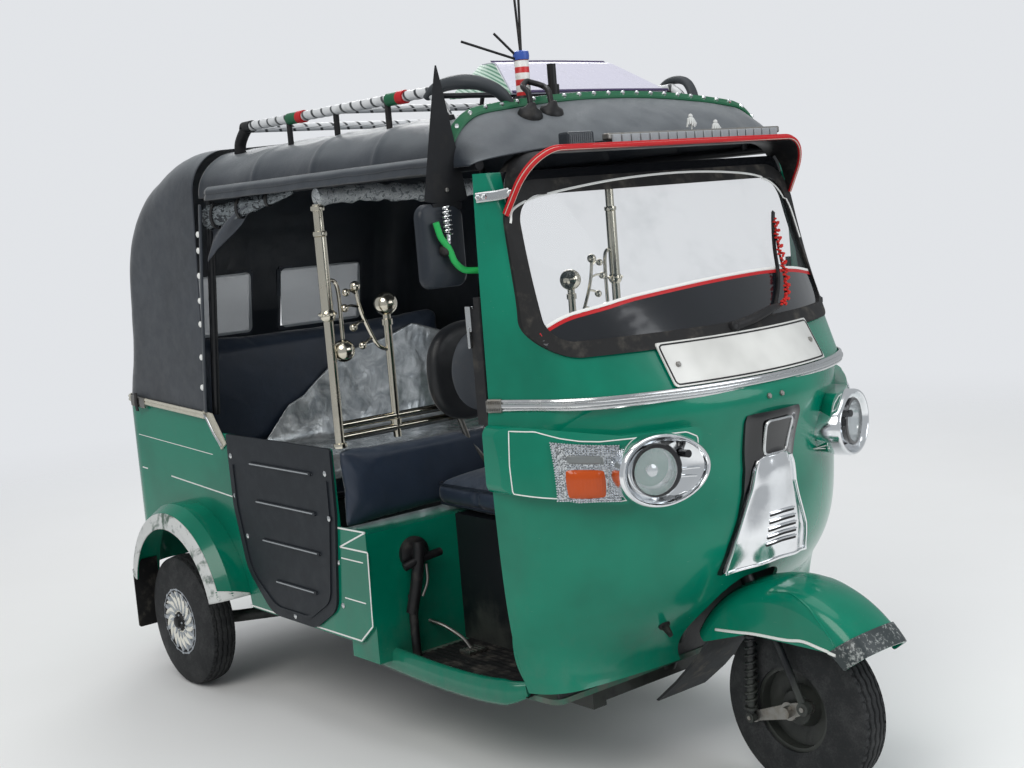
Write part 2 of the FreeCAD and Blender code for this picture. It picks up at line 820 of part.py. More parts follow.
def side_panel():
    """Right-hand body side: front piece, sill and rear quarter, cut for the entry and wheel."""
    outer = -size("half_width")
    sill = size("sill_height")
    rear = -size("tail_back") + size("tail_corner")
    front = -size("seat_box_front")
    foot = size("waist_front")
    outline = [
        (front, size("seat_box_top") + 6, 4), (front, sill + 57, 6), (front - 66, sill, 10),
        (rear, sill, 0), (rear, size("waist_rear"), 0), (-1778, foot, 0), (-1750, foot - 44, 0),
        (-1110, foot - 44, 6), (-1105, size("seat_box_top") + 6, 0)]
    panel = prism(outline, "XZ", outer, outer + size("panel_wall"))
    entry = entry_outline(size("guard_lap"))
    opening = prism(entry, "XZ", outer - 10, outer + 60)
    above = box(-size("guard_rear") + size("guard_lap"), -size("guard_front") - size("guard_lap"),
                outer - 10, outer + 60, size("guard_top") - 12, foot + 40)
    arch = Part.makeCylinder(size("wheel_arch_radius") - 4, 200, arch_centre(outer - 100), Vec(0, 1, 0))
    return panel.cut(opening).cut(above).cut(arch)


def arch_centre(y):
    """Centre of a rear wheel's arch."""
    return Vec(-size("wheel_base") + size("wheel_arch_shift"), y, size("wheel_arch_height"))


def tail_strip(inset, low, high, end):
    """Solid inside the tail's plan outline: corners rounded, cut off ahead."""
    half = size("half_width") - inset
    back = -size("tail_back") + inset
    corner = size("tail_corner") - inset
    return prism([(end, -half, 0), (end, half, 0), (back, half, corner), (back, -half, corner)], "XY", low, high)


def hatch_prism(grow, x0, x1):
    """Outline of the engine hatch along X."""
    half = size("hatch_half_width") + grow
    low = size("hatch_bottom") - grow
    high = size("hatch_top") + grow
    return prism([(-half, low, 30), (half, low, 30), (half, high, 30), (-half, high, 30)], "YZ", x0, x1)


def rear_panel():
    """Tail panel with rounded corners and the engine hatch's opening."""
    wall = size("panel_wall")
    end = -size("tail_back") + size("tail_corner")
    low = size("sill_height") + 20
    high = size("waist_rear")
    skin = tail_strip(0, low, high, end).cut(tail_strip(wall, low - 1, high + 1, end + 1))
    return skin.cut(hatch_prism(size("hatch_gap"), -size("tail_back") - 50, -size("tail_back") + 60))


HINGE_RADIUS = 6
HINGE_OUT = 8


def hatch_hinge():
    """Axis point of the hatch's hinge, just above its upper edge and behind the tail's face."""
    return Vec(-size("tail_back") - HINGE_OUT, 0, size("hatch_top") + size("hatch_gap") + HINGE_RADIUS + 4)


def engine_hatch():
    """Louvred lid with two hinge knuckles and a pull."""
    back = -size("tail_back")
    wall = size("panel_wall")
    lid = hatch_prism(0, back, back + wall)
    slots = []
    for column in (-165, 165):
        for i in range(7):
            level = 420 + 26 * i
            slots.append(box(back - 5, back + wall + 5, column - 110, column + 110, level, level + 10))
    lid = lid.cut(Part.makeCompound(slots))
    axis = hatch_hinge()
    pieces = [lid]
    for y in (-220, 220):
        knuckle = rod(Vec(axis.x, y - 30, axis.z), Vec(axis.x, y + 30, axis.z), HINGE_RADIUS)
        strap = box(axis.x - HINGE_RADIUS, back, y - 30, y + 30, size("hatch_top") - 46, axis.z)
        pieces.append(knuckle)
        pieces.append(strap.cut(box(back, back + 20, -400, 400, 0, 900)))
    pull = box(back - 14, back, -45, 45, size("hatch_bottom") + 24, size("hatch_bottom") + 36)
    lid = fused(pieces + [pull])
    pin_holes = [rod(Vec(axis.x, y - 40, axis.z), Vec(axis.x, y + 40, axis.z), 3) for y in (-220, 220)]
    return lid.cut(Part.makeCompound(pin_holes))


def hatch_hinges():
    """Pins and ears that carry the hatch, welded to the tail panel."""
    axis = hatch_hinge()
    back = -size("tail_back")
    pieces = []
    for y in (-220, 220):
        pin = rod(Vec(axis.x, y - 42, axis.z), Vec(axis.x, y + 42, axis.z), 3 - 0.05)
        ears = []
        for edge in (y - 42, y + 31):
            ear = box(axis.x - HINGE_RADIUS, back + 2, edge, edge + 11, axis.z - HINGE_RADIUS, axis.z + 26)
            ear = ear.cut(hatch_prism(size("hatch_gap"), back - 1, back + 10))
            ears.append(ear)
        pieces += [pin] + ears
    return pieces


def fender_section(grow):
    """Section of a rear fender as (across from the middle, distance from the arch's centre)."""
    wall = bound("fender_wall")
    radius = bound("wheel_arch_radius")
    inner = bound("half_width") + bound("seat_gap")
    lip = bound("half_width") + bound("rear_fender_reach")
    return [
        (-inner + grow, radius - wall - grow), (-inner + grow, radius + grow), (-(lip - 45), radius + grow),
        (-(lip - 8) - grow, radius - 26), (-lip - grow, radius - 70 - grow), (-(lip - wall) + grow, radius - 70 - grow),
        (-(lip - 8 - wall) + grow, radius - 28 - grow), (-(lip - 46) + grow, radius - wall - grow)]


FENDER_SWEEP = 154


def rear_fenders():
    """Rear fenders: an arched section turned about the arch's centre, and its mirror image."""
    right = turned_body("rear_fender_right", [fender_section(0)], FENDER_SWEEP)
    stand(right, -bound("wheel_base") + bound("wheel_arch_shift"), 0, bound("wheel_arch_height"))
    return group("rear_fender_pair", [right, reflected(right)])


def side_guard():
    """Black pressing screwed over the right-hand entry, with raised bars and a rim."""
    outer = -size("half_width") - 0.3
    plate = prism(entry_outline(0), "XZ", outer - size("guard_thickness"), outer)
    bars = []
    for level, front, rear in [(747, -1203, -1537), (637, -1200, -1520), (525, -1197, -1503), (410, -1233, -1448)]:
        face = outer - size("guard_thickness")
        bars.append(box(rear, front, face - 5, face + 1, level - 5, level + 5))
    rim = prism(entry_outline(22), "XZ", outer - size("guard_thickness") - 4, outer - size("guard_thickness"))
    rim = rim.cut(prism(entry_outline(30), "XZ", outer - 40, outer))
    rim = rim.cut(box(-2000, -1000, outer - 40, outer, size("guard_top") - 90, 1000))
    return fused([plate, rim] + bars)


# Wheels


def tyre(name, x, y):
    """Tyre turned about its axle, with rounded shoulders."""
    half = bound("tyre_width") * 0.5
    radius = bound("tyre_radius")
    bead = bound("rim_radius") - 7
    side = [(-half + 14, bead), (-half + 14, bead + 16), (-half, bead + 44), (-half + 6, radius - 12),
            (-half + 26, radius)]
    body = turned_body(name, [side + [(-across, reach) for across, reach in reversed(side)]])
    doc.recompute()
    turn = body.Tip
    outer = [
        "Edge%d" % number for number, edge in enumerate(turn.Shape.Edges, start=1)
        if edge.Curve.TypeId == "Part::GeomCircle" and edge.Curve.Radius > size("rim_radius") + 20]
    shoulder = body.newObject("PartDesign::Fillet", name + "_shoulders")
    shoulder.Base = (turn, outer)
    shoulder.Radius = 9
    return stand(body, x, y, radius)


def rim_section(outward):
    """Pressed rim with its disc and hub; outward is -1 on the right and 1 on the left."""
    half = bound("tyre_width") * 0.5 - 14
    bead = bound("rim_radius") - 7
    flange = bound("rim_radius") + 6
    hub = bound("hub_radius")
    gap = bound("seat_gap")
    bore = bound("axle_radius") + bound("running_gap")
    section = [
        (bore, as_length(-34)), (hub, as_length(-34)), (hub, as_length(-8)), (bead - 16, as_length(6)),
        (bead - 10, -half + 4), (bead - 8, -half - 6), (flange, -half - 6), (flange, -half - gap),
        (bead - gap, -half - gap), (bead - gap, half + gap), (flange, half + gap), (flange, half + 6),
        (bead - 8, half + 6), (bead - 8, as_length(14)), (hub + 12, as_length(4)), (hub, as_length(30)),
        (bore, as_length(30))]
    return [(across * outward, reach) for reach, across in section]


def front_rim(x):
    """Front rim on its hub."""
    return stand(turned_body("front_rim_body", [rim_section(-1)]), x, 0, bound("tyre_radius"))


VANES = 16


def covered_rim(name, x, y, outward):
    """Rear rim under a disc with a cap and a ring of vanes."""
    radius = bound("rim_radius") + 10
    face = bound("tyre_width") * 0.5 - 8
    disc = [
        (face, as_length(0)), (face + 14, as_length(0)), (face + 14, as_length(20)), (face + 4, as_length(29)),
        (face + 4, radius), (face, radius)]
    sleeve = [(as_length(30), bound("hub_radius") - 14), (as_length(30), bound("hub_radius")),
              (face + 1, bound("hub_radius")), (face + 1, bound("hub_radius") - 14)]
    sections = [rim_section(outward), [(a * outward, r) for a, r in sleeve], [(a * outward, r) for a, r in disc]]
    body = turned_body(name, sections)
    vane = [(as_length(-6), as_length(36)), (as_length(6), as_length(36)), (as_length(6), radius - 12),
            (as_length(-6), radius - 12)]
    sketch = outline(body, name + "_vane_section", "XZ_Plane", vane, (face + 3) * -outward)
    pad = body.newObject("PartDesign::Pad", name + "_vane")
    pad.Profile = sketch
    pad.Length = 6
    pad.Reversed = outward > 0
    ring = body.newObject("PartDesign::PolarPattern", name + "_vanes")
    ring.Originals = [pad]
    ring.Axis = (own_plane(body, "Y_Axis"), [""])
    ring.Angle = 360
    ring.Occurrences = VANES
    body.Tip = ring
    return stand(body, x, y, bound("tyre_radius"))


# Front suspension on the steering body


FORK_Y = -70
PIVOT = Vec(56, FORK_Y, 229)
SPRING_FOOT = Vec(-106, FORK_Y, 172)
SPRING_HEAD = Vec(-92, FORK_Y, 403)


def front_fork():
    """Column, short crown over the tyre and one leg down its right side to the link's pivot."""
    foot = on_axis(size("column_foot"))
    column = rod(foot, on_axis(size("column_top")), size("column_radius"))
    crown = rod(foot + Vec(0, 12, 0), foot + Vec(3, FORK_Y + 12, -3), 14)
    leg = tube([foot, foot + Vec(6, FORK_Y, -6), Vec(-22, FORK_Y, 392), PIVOT], 9, 34)
    eye = rod(PIVOT - Vec(0, 9, 0), PIVOT + Vec(0, 9, 0), 16)
    fork = fused([column, crown, leg, eye])
    return fork.cut(rod(PIVOT - Vec(0, 20, 0), PIVOT + Vec(0, 20, 0), 6))


def fender_solid(inset):
    """Solid of revolution between the fender's tip and its rear end."""
    radius = size("front_fender_radius") - inset
    half = size("front_fender_half") - inset
    flank = Vec(0, half, radius - 46)
    low = Vec(0, half, 60)
    shoulder = Vec(0, half - 12, radius - 22)
    brow = Vec(0, half - 34, radius - 8)
    crown = Vec(0, 0, radius)

    def other(point):
        return Vec(0, -point.y, point.z)

    wire = Part.Wire([
        Part.LineSegment(low, flank).toShape(),
        Part.Arc(flank, shoulder, brow).toShape(),
        Part.Arc(brow, crown, other(brow)).toShape(),
        Part.Arc(other(brow), other(shoulder), other(flank)).toShape(),
        Part.LineSegment(other(flank), other(low)).toShape(),
        Part.LineSegment(other(low), low).toShape()])
    face = Part.Face(wire)
    face.rotate(Vec(0, 0, 0), Vec(0, 1, 0), 53)
    body = face.revolve(Vec(0, 0, 0), Vec(0, 1, 0), -112)
    body.translate(Vec(0, 0, size("tyre_radius")))
    return body


def front_fender():
    """Front fender: crowned over the tyre, its flanks cut to a nearly level lower edge."""
    wall = size("fender_wall")
    shell = fender_solid(0).cut(fender_solid(wall))
    below = prism([(-420, 0, 0), (420, 0, 0), (420, 330, 0), (192, 356, 0), (160, 386, 60), (-80, 386, 60),
                   (-215, 344, 0), (-420, 300, 0)], "XZ", -200, 200)
    shell = shell.cut(below)
    hole = rod(on_axis(400), on_axis(620), size("column_radius") + size("seat_gap"))
    return shell.cut(hole)


def fender_tip():
    """Grey lip round the fender's front edge."""
    outer = fender_solid(-3)
    inner = fender_solid(-0.3)
    band = prism([(150, 386, 0), (236, 447, 0), (300, 420, 0), (260, 330, 0), (196, 350, 0)], "XZ", -200, 200)
    below = prism([(0, 0, 0), (420, 0, 0), (420, 330, 0), (192, 356, 0), (160, 386, 60), (0, 386, 0)], "XZ", -200, 200)
    return outer.cut(inner).common(band).cut(below)


def front_mudflap():
    """Rubber flap that trails from the fender's rear end."""
    half = size("front_fender_half") - size("fender_wall") - size("seat_gap")
    side = [(-212, 356, 0), (-206, 356, 0), (-244, 300, 80), (-330, 212, 80), (-402, 150, 0), (-408, 153, 0),
            (-336, 216, 80), (-250, 303, 80)]
    return prism(side, "XZ", -half, half)


def suspension_link():
    """Trailing link with the pivot, the stub axle and the spring's foot."""
    axle = Vec(0, FORK_Y, size("tyre_radius"))
    inner = FORK_Y + 10
    plate = fused([
        rod(PIVOT + Vec(0, 10, 0), PIVOT + Vec(0, 19, 0), 16),
        rod(Vec(axle.x, inner, axle.z), Vec(axle.x, inner + 9, axle.z), 22),
        rod(SPRING_FOOT + Vec(0, 10, 0), SPRING_FOOT + Vec(0, 19, 0), 15),
        prism([(56, 242, 0), (56, 214, 0), (0, 188, 0), (-106, 160, 0), (-106, 184, 0), (0, 226, 0)],
              "XZ", inner, inner + 9)])
    stub = rod(Vec(0, inner, axle.z), Vec(0, 44, axle.z), size("axle_radius"))
    nut = rod(Vec(0, FORK_Y - 6, axle.z), Vec(0, inner, axle.z), 14)
    pin = rod(PIVOT - Vec(0, 12, 0), PIVOT + Vec(0, 12, 0), 6 - 0.05)
    foot_pin = rod(SPRING_FOOT - Vec(0, 10, 0), SPRING_FOOT + Vec(0, 12, 0), 5)
    return fused([plate, stub, nut, pin, foot_pin])


def spring_damper():
    """Coil spring on its damper between the link and the crown."""
    axis = SPRING_HEAD - SPRING_FOOT
    length = axis.Length
    coil_radius = 13
    wire_radius = 2.7
    gap = size("seat_gap")
    turns = 9
    low = 30
    high = length - 34
    helix = Part.makeHelix((high - low) / turns, high - low, coil_radius)
    ring = Part.Wire(Part.Circle(Vec(coil_radius, 0, 0), Vec(0, 1, 0), wire_radius).toShape())
    coil = Part.Wire(helix.Edges).makePipeShell([ring], True, True)
    cup = 6
    foot_top = low - wire_radius - gap
    head_low = high + wire_radius + gap
    damper = Part.makeCylinder(coil_radius - wire_radius - gap, head_low - foot_top + 2, Vec(0, 0, foot_top - 1))
    foot_cup = Part.makeCylinder(16, cup, Vec(0, 0, foot_top - cup))
    head_cup = Part.makeCylinder(16, cup, Vec(0, 0, head_low))
    head_rod = Part.makeCylinder(6, length - head_low, Vec(0, 0, head_low))
    stem = Part.makeCylinder(7, foot_top, Vec(0, 0, 0))
    body = fused([damper, foot_cup, head_cup, head_rod, stem])
    place = FreeCAD.Placement(SPRING_FOOT, FreeCAD.Rotation(Vec(0, 0, 1), axis))
    body.Placement = place
    coil.Placement = place.multiply(FreeCAD.Placement(Vec(0, 0, low), FreeCAD.Rotation()))
    eye = rod(SPRING_FOOT - Vec(0, 8, 0), SPRING_FOOT + Vec(0, 9, 0), 12)
    bore = rod(SPRING_FOOT - Vec(0, 20, 0), SPRING_FOOT + Vec(0, 20, 0), 5 + 0.05)
    return Part.makeCompound([body.fuse(eye).cut(bore), coil])


def handlebar():
    """Bar across the column's head, swept back, with two grips."""
    head = on_axis(size("column_top") - 12)
    back = Vec(-82, 0, 14)
    bar = tube([head + back + Vec(0, -250, 0), head + back + Vec(0, -130, 0), head + Vec(-8, -60, 4),
                head + Vec(-8, 60, 4), head + back + Vec(0, 130, 0), head + back + Vec(0, 250, 0)], 11, 40)
    stem = rod(head - AXIS * 30, head + AXIS * 34, 26)
    grips = []
    for sign in (-1, 1):
        grips.append(rod(head + back + Vec(0, sign * 150, 0), head + back + Vec(0, sign * 264, 0), 16))
    shell = soft_box(head.x - 48, head.x + 28, -70, 70, head.z - 22, head.z + 38, 16)
    body = fused([bar, stem, shell] + grips)
    return body.cut(rod(on_axis(800), on_axis(size("column_top") + 0.05), size("column_radius") + 0.05))


# Chassis, floors and seats


def head_stay(radius):
    """Bent tube from the first cross member up to the head tube."""
    low = size("floor_top") - size("floor_wall") - 25
    return tube([Vec(-450, 0, low), Vec(-360, 0, 420), on_axis(640)], radius, 120)


def chassis_frame():
    """Two rails with cross members, the head tube on its stays and the rear arms' carrier."""
    y = size("chassis_rail_offset")
    half = size("chassis_rail_width") / 2
    top = size("floor_top") - size("floor_wall")
    low = top - size("chassis_rail_height")
    front = -430
    kick = -1760
    pieces = []
    for sign in (-1, 1):
        rail = prism([
            (front, top, 0), (front, low, 0), (kick, low, 120), (kick - 90, low + 52, 120), (-2300, low + 52, 0),
            (-2300, top + 52, 0), (kick - 90, top + 52, 120), (kick, top, 120)],
            "XZ", sign * y - half, sign * y + half)
        pieces.append(rail)
    for station in (-440, -960, -1700):
        pieces.append(box(station - 40, station, -y, y, low + 8, top - 4))
    pieces.append(box(-2260, -2220, -y, y, low + 60, top + 48))
    spine = head_stay(24)
    head = rod(on_axis(575), on_axis(890), size("head_tube_radius"))
    stay = tube([Vec(-378, -560, 930), Vec(-378, 0, 905), Vec(-378, 560, 930)], 15, 60)
    stay = stay.common(cowl_solid(LOWER_SECTIONS, size("cowl_wall") + size("seat_gap"), INNER_BACK))
    gusset = box(-378, -345, -12, 12, 880, 925)
    for station in (-2180, -1900):
        pieces.append(box(station, station + 40, -y - 10, y + 10, top + 50, top + 61))
    frame = fused(pieces + [spine, head, stay, gusset])
    bore = rod(on_axis(500), on_axis(960), size("column_radius") + size("running_gap") / 3)
    return frame.cut(bore)


APRON_BACK = -402


def driver_floor():
    """Footboard from the cowl to the seat box, its right edge turned down."""
    top = size("floor_top")
    low = top - size("floor_wall")
    outline = [
        (APRON_BACK + 12, -430, 30), (-640, -450, 120), (-860, -492, 200), (-1160, -492, 20),
        (-1160, 492, 20), (-860, 492, 200), (-640, 450, 120), (APRON_BACK + 12, 430, 30)]
    return prism(outline, "XY", low, top).cut(head_stay(24 + size("seat_gap")))


def apron():
    """Upright panel behind the cowl, from the floor to the dash tube."""
    low = size("floor_top") + size("seat_gap")
    front = APRON_BACK + 8
    inside = cowl_solid(LOWER_SECTIONS, size("cowl_wall") + size("seat_gap"), INNER_BACK)
    upper = inside.common(box(APRON_BACK, front, -600, 600, 288, 900))
    lower = box(APRON_BACK, front, -420, 420, low, 300)
    return fused([upper, lower]).cut(head_stay(24 + size("seat_gap")))


def inside_half():
    """Half width between the side panels."""
    return bound("half_width") - bound("panel_wall") - bound("seat_gap")


def seat_box():
    """Green box across the vehicle under the driver, hollow and open below."""
    wall = 6
    half = inside_half()
    front = -bound("seat_box_front")
    back = -bound("seat_box_back")
    low = bound("floor_top") + bound("seat_gap")
    top = bound("seat_box_top")
    outer = block("seat_box_outer", (back, -half, low), (front, half, top))
    inner = block("seat_box_room", (back + wall, -half + wall, low - 1), (front - wall, half - wall, top - wall))
    return difference("seat_box_shell", outer, inner)


PEDESTAL_FRONT = -700
PEDESTAL_HALF = 250


def seat_pedestal():
    """Dark riser under the driver's cushion, ahead of the seat box."""
    wall = 6
    low = bound("floor_top") + bound("seat_gap")
    back = -bound("seat_box_front") + bound("seat_gap")
    top = bound("seat_box_top")
    outer = block("pedestal_outer", (back, -PEDESTAL_HALF, low), (PEDESTAL_FRONT, PEDESTAL_HALF, top))
    inner = block("pedestal_room", (back - 1, wall - PEDESTAL_HALF, low - 1),
                  (PEDESTAL_FRONT - wall, PEDESTAL_HALF - wall, top - wall))
    return difference("pedestal_shell", outer, inner)


BENCH_HALF = 500
BENCH_FRONT = -1632
BENCH_BACK = -2060
BENCH_SHELF = 560


def cabin_floor():
    """Passenger floor with its riser under the bench, the shelf and the bulkhead, clear of the wheels."""
    half = inside_half()
    top = bound("cabin_floor_top")
    front = -bound("seat_box_back") - bound("seat_gap")
    floor = block("cabin_floor_plate", (BENCH_FRONT - 8, -half, top - 14), (front, half, top))
    riser = block("bench_riser", (BENCH_FRONT - 8, -BENCH_HALF, top - 14), (BENCH_FRONT, BENCH_HALF, BENCH_SHELF))
    shelf = block("bench_shelf", (BENCH_BACK, -BENCH_HALF, BENCH_SHELF - 8), (BENCH_FRONT, BENCH_HALF, BENCH_SHELF))
    bulkhead = block("bench_bulkhead", (BENCH_BACK, -BENCH_HALF, BENCH_SHELF - 8), (BENCH_BACK + 8, BENCH_HALF, 980))
    arch_x = -bound("wheel_base") + bound("wheel_arch_shift")
    wells = []
    for name, y in (("right", -half - 20), ("left", as_length(BENCH_HALF))):
        wells.append(bar("wheel_well_" + name, (arch_x, y, bound("wheel_arch_height")), Vec(0, 1, 0),
                         half + 20 - BENCH_HALF, bound("wheel_arch_radius") - 4))
    return difference("cabin_floor_cut", union("cabin_floor_joined", [floor, riser, shelf, bulkhead]),
                      union("wheel_wells", wells))


def rear_arm():
    """Right-hand trailing arm with its pivot boss and stub axle."""
    radius = size("tyre_radius")
    rear = -size("wheel_base")
    y = -size("chassis_rail_offset") - size("chassis_rail_width") / 2 - 22
    pivot = Vec(rear + 360, y, 214)
    end = Vec(rear, -(size("half_width") + size("rear_wheel_out")) + 44, radius)
    arm = tube([pivot, pivot + Vec(-150, -20, 0), end + Vec(90, 24, 0), end + Vec(0, 14, 0)], 19, 90)
    boss = rod(pivot - Vec(0, 24, 0), pivot + Vec(0, 21.7, 0), 27)
    carrier = rod(end + Vec(0, 34, 0), end + Vec(0, 0, 0), 34)
    stub = rod(end, end + Vec(0, -80, 0), size("axle_radius"))
    return fused([arm, boss, carrier, stub])


def engine_block():
    """Engine and gearbox as one block between the rails."""
    cradle = bound("floor_top") - bound("floor_wall") + 61 + bound("seat_gap")
    return eased(block("engine_case", (-2210, -200, cradle), (-1830, 200, 540)), 24)


# Roof frame, partition and fittings


def roof_frame():
    """Side rails, cross tubes and the slanted rear posts inside the canopy."""
    r = size("rail_radius")
    y = size("roof_half_width") - size("rexine_wall") - r - size("seat_gap")
    z = size("roof_edge_height") + 2
    front = -412
    pieces = []
    for sign in (-1, 1):
        pieces.append(rod(Vec(front, sign * y, z), Vec(-1720, sign * y, z), r))
        pieces.append(tube([Vec(-1792, sign * y, 872), Vec(-1700, sign * y, z - 60), Vec(-1694, sign * y, z)], r, 60))
    inset = size("rexine_wall") + r + size("seat_gap")
    for station in (-size("roof_front") - 24, -1694):
        spine = Part.Wire(roof_arch(inset, z, station))
        ring = Part.Wire(Part.Circle(Vec(station, size("roof_half_width") - inset, z), Vec(0, 0, 1), r).toShape())
        pieces.append(spine.makePipeShell([ring], True, True))
    station = -size("partition_station")
    pieces.append(rod(Vec(station, -y, z - 32), Vec(station, y, z - 32), r + 3))
    for sign in (-1, 1):
        pieces.append(rod(Vec(station, sign * y, z - 40), Vec(station, sign * y, z + 4), r))
    return fused(pieces)


RAIL_RADIUS = 11


def partition_posts():
    """Chrome side posts, the short inner posts with their balls and the double rail."""
    station = -bound("partition_station")
    radius = bound("post_radius")
    foot = bound("seat_box_top") + 220
    side_y = bound("half_width") - 22
    upright = Vec(0, 0, 1)
    pieces = []
    for side, sign in (("right", -1), ("left", 1)):
        pieces.append(bar("side_post_" + side, (station, side_y * sign, foot), upright, 1469 - foot, radius))
        pieces.append(bar("inner_post_" + side, (station, sign * 338, foot), upright, 1190 - foot, radius - 2))
        ball = doc.addObject("Part::Sphere", "post_ball_" + side)
        ball.Radius = 32
        pieces.append(stand(ball, station, sign * 338, 1190))
    for name, rise in (("lower", 26), ("upper", 58)):
        pieces.append(bar(name + "_rail", (station, -side_y, foot + rise), Vec(0, 1, 0), side_y * 2, RAIL_RADIUS))
    return union("partition_frame", pieces)


def partition_panel():
    """Padded panel behind the driver, from the seat box up to the chrome rail."""
    station = -bound("partition_station")
    half = inside_half()
    low = bound("seat_box_top") + bound("seat_gap")
    return eased(block("partition_pad", (station - 12, -half, low), (station + 26, half, low + 219)), 8)


def driver_seat():
    """Driver's cushion on the pedestal and the rounded backrest on the rails."""
    low = bound("seat_box_top") + bound("seat_gap")
    cushion = block("driver_cushion", (-1060, -255, low), (-690, 255, low + 96))
    back = -bound("partition_station") + RAIL_RADIUS + bound("seat_gap")
    rest = block("driver_backrest", (back, -190, bound("seat_box_top") + 234), (-1010, 190, bound("seat_box_top") + 546))
    return group("driver_seat_pair", [eased(cushion, 28), eased(rest, 26)])


def passenger_bench():
    """Bench cushion and its backrest, leaning on the bulkhead."""
    low = BENCH_SHELF + bound("seat_gap")
    half = BENCH_HALF - 4
    cushion = block("bench_cushion", (-2010, -half, low), (-1600, half, 690))
    rest = block("bench_backrest", (BENCH_BACK + 8 + bound("seat_gap"), -half, 700), (-1960, half, 1090))
    return group("passenger_bench_pair", [eased(cushion, 30), eased(rest, 28)])


def on_roof(shape):
    """A fitting trimmed to stand on the canopy."""
    return shape.cut(roof_solid(-size("seat_gap"), -size("roof_front") + 30, -size("roof_seam")))


def roof_rack():
    """Two wrapped rails over the canopy on curved feet, and the inclined board between them."""
    pieces = []
    for sign in (-1, 1):
        pieces.append(on_roof(tube([
            Vec(-1650, sign * 420, 1630), Vec(-1600, sign * 420, 1712), Vec(-690, sign * 420, 1712),
            Vec(-630, sign * 420, 1630)], 13, 40)))
    board = prism([
        (-1040, 1640, 0), (-700, 1640, 0), (-690, 1706, 0), (-960, 1800, 0), (-1010, 1806, 0),
        (-1040, 1796, 0)], "XZ", -160, 390)
    return Part.makeCompound(pieces + [on_roof(board)])


def antenna():
    """Two magnet bases with masts, and the whips and short rods of the longer one."""
    bases = []
    for y in (-262, -168):
        foot = Vec(-535, y, 1655)
        bases.append(fused([Part.makeCone(30, 22, 27, foot), Part.makeCylinder(16, 53, foot),
                            Part.makeCylinder(11, 103, foot)]))
    head = Vec(-535, -262, 1750)
    tips = [Vec(-528, -282, 2060), Vec(-528, -256, 2060), Vec(-548, -330, 1830), Vec(-560, -420, 1812)]
    whips = [rod(head + Vec(0, 0, 15), tip, 3) for tip in tips]
    bases[0] = fused([bases[0], rod(head, head + Vec(0, 0, 30), 15)] + whips)
    return Part.makeCompound([on_roof(base) for base in bases])


def lamp_bar():
    """Row lamp on two feet on the visor's top."""
    row = eased(block("row_lamp", (-326, -215, 1556), (-302, 392, 1572)), 4)
    pieces = [row]
    for name, y in (("right", -150), ("left", 330)):
        pieces.append(block("row_lamp_foot_" + name, (-320, y - 8, 1541 + bound("seat_gap")), (-308, y + 8, 1562)))
    return union("row_lamp_on_feet", pieces)


def mirror():
    """Right-hand mirror on its arm, beside the pillar."""
    back = soft_box(-498, -472, -648, -520, 1250, 1444, 12)
    arm = tube([Vec(-411, -542, 1290), Vec(-440, -556, 1300), Vec(-474, -570, 1330)], 6, 20)
    return fused([back, arm])


def pennant():
    """Tapered pennant standing on the mirror."""
    points = [Vec(-485, -619, 1436), Vec(-485, -548, 1436), Vec(-485, -562, 1749), Vec(-485, -568, 1749)]
    face = Part.Face(Part.makePolygon(points + [points[0]]))
    return face.extrude(Vec(6, 0, 0))


def tail_lamps():
    """Tail lamps on the tail panel."""
    back = -bound("tail_back")
    lamp = eased(block("tail_lamp_right", (back - 16, -420, 700), (back - bound("seat_gap"), -350, 850)), 5)
    return group("tail_lamp_pair", [lamp, reflected(lamp)])


def rear_bumper():
    """Thin bar across the tail on two brackets."""
    bar = tube([Vec(-2330, -585, 262), Vec(-2420, -540, 262), Vec(-2420, 540, 262), Vec(-2330, 585, 262)], 11, 60)
    brackets = []
    for sign in (-1, 1):
        y = sign * size("chassis_rail_offset")
        brackets.append(box(-2420, -2300, y - 16, y + 16, 250, 274))
    return fused([bar] + brackets)


def rear_mudflap():
    """Right-hand rubber flap behind the rear wheel, trimmed to the fender's inner face."""
    outer = size("half_width") + size("rear_fender_reach") - 12
    inner = size("half_width") + 6
    reach = (size("wheel_arch_radius") - size("fender_wall")) * 0.945
    station = -size("wheel_base") + size("wheel_arch_shift") - reach
    flap = prism([(-inner, 150, 8), (-outer, 150, 8), (-outer, 345, 0), (-outer + 30, 372, 0), (-inner, 372, 0)],
                 "YZ", station, station + 5)
    points = [Vec(0, across.value, reach.value) for across, reach in fender_section(size("seat_gap"))]
    face = Part.Face(Part.makePolygon(points + [points[0]]))
    centre = arch_centre(0)
    face.translate(centre)
    face.rotate(centre, Vec(0, 1, 0), FENDER_SWEEP / 2 + 2)
    return flap.cut(face.revolve(centre, Vec(0, 1, 0), -FENDER_SWEEP - 4))


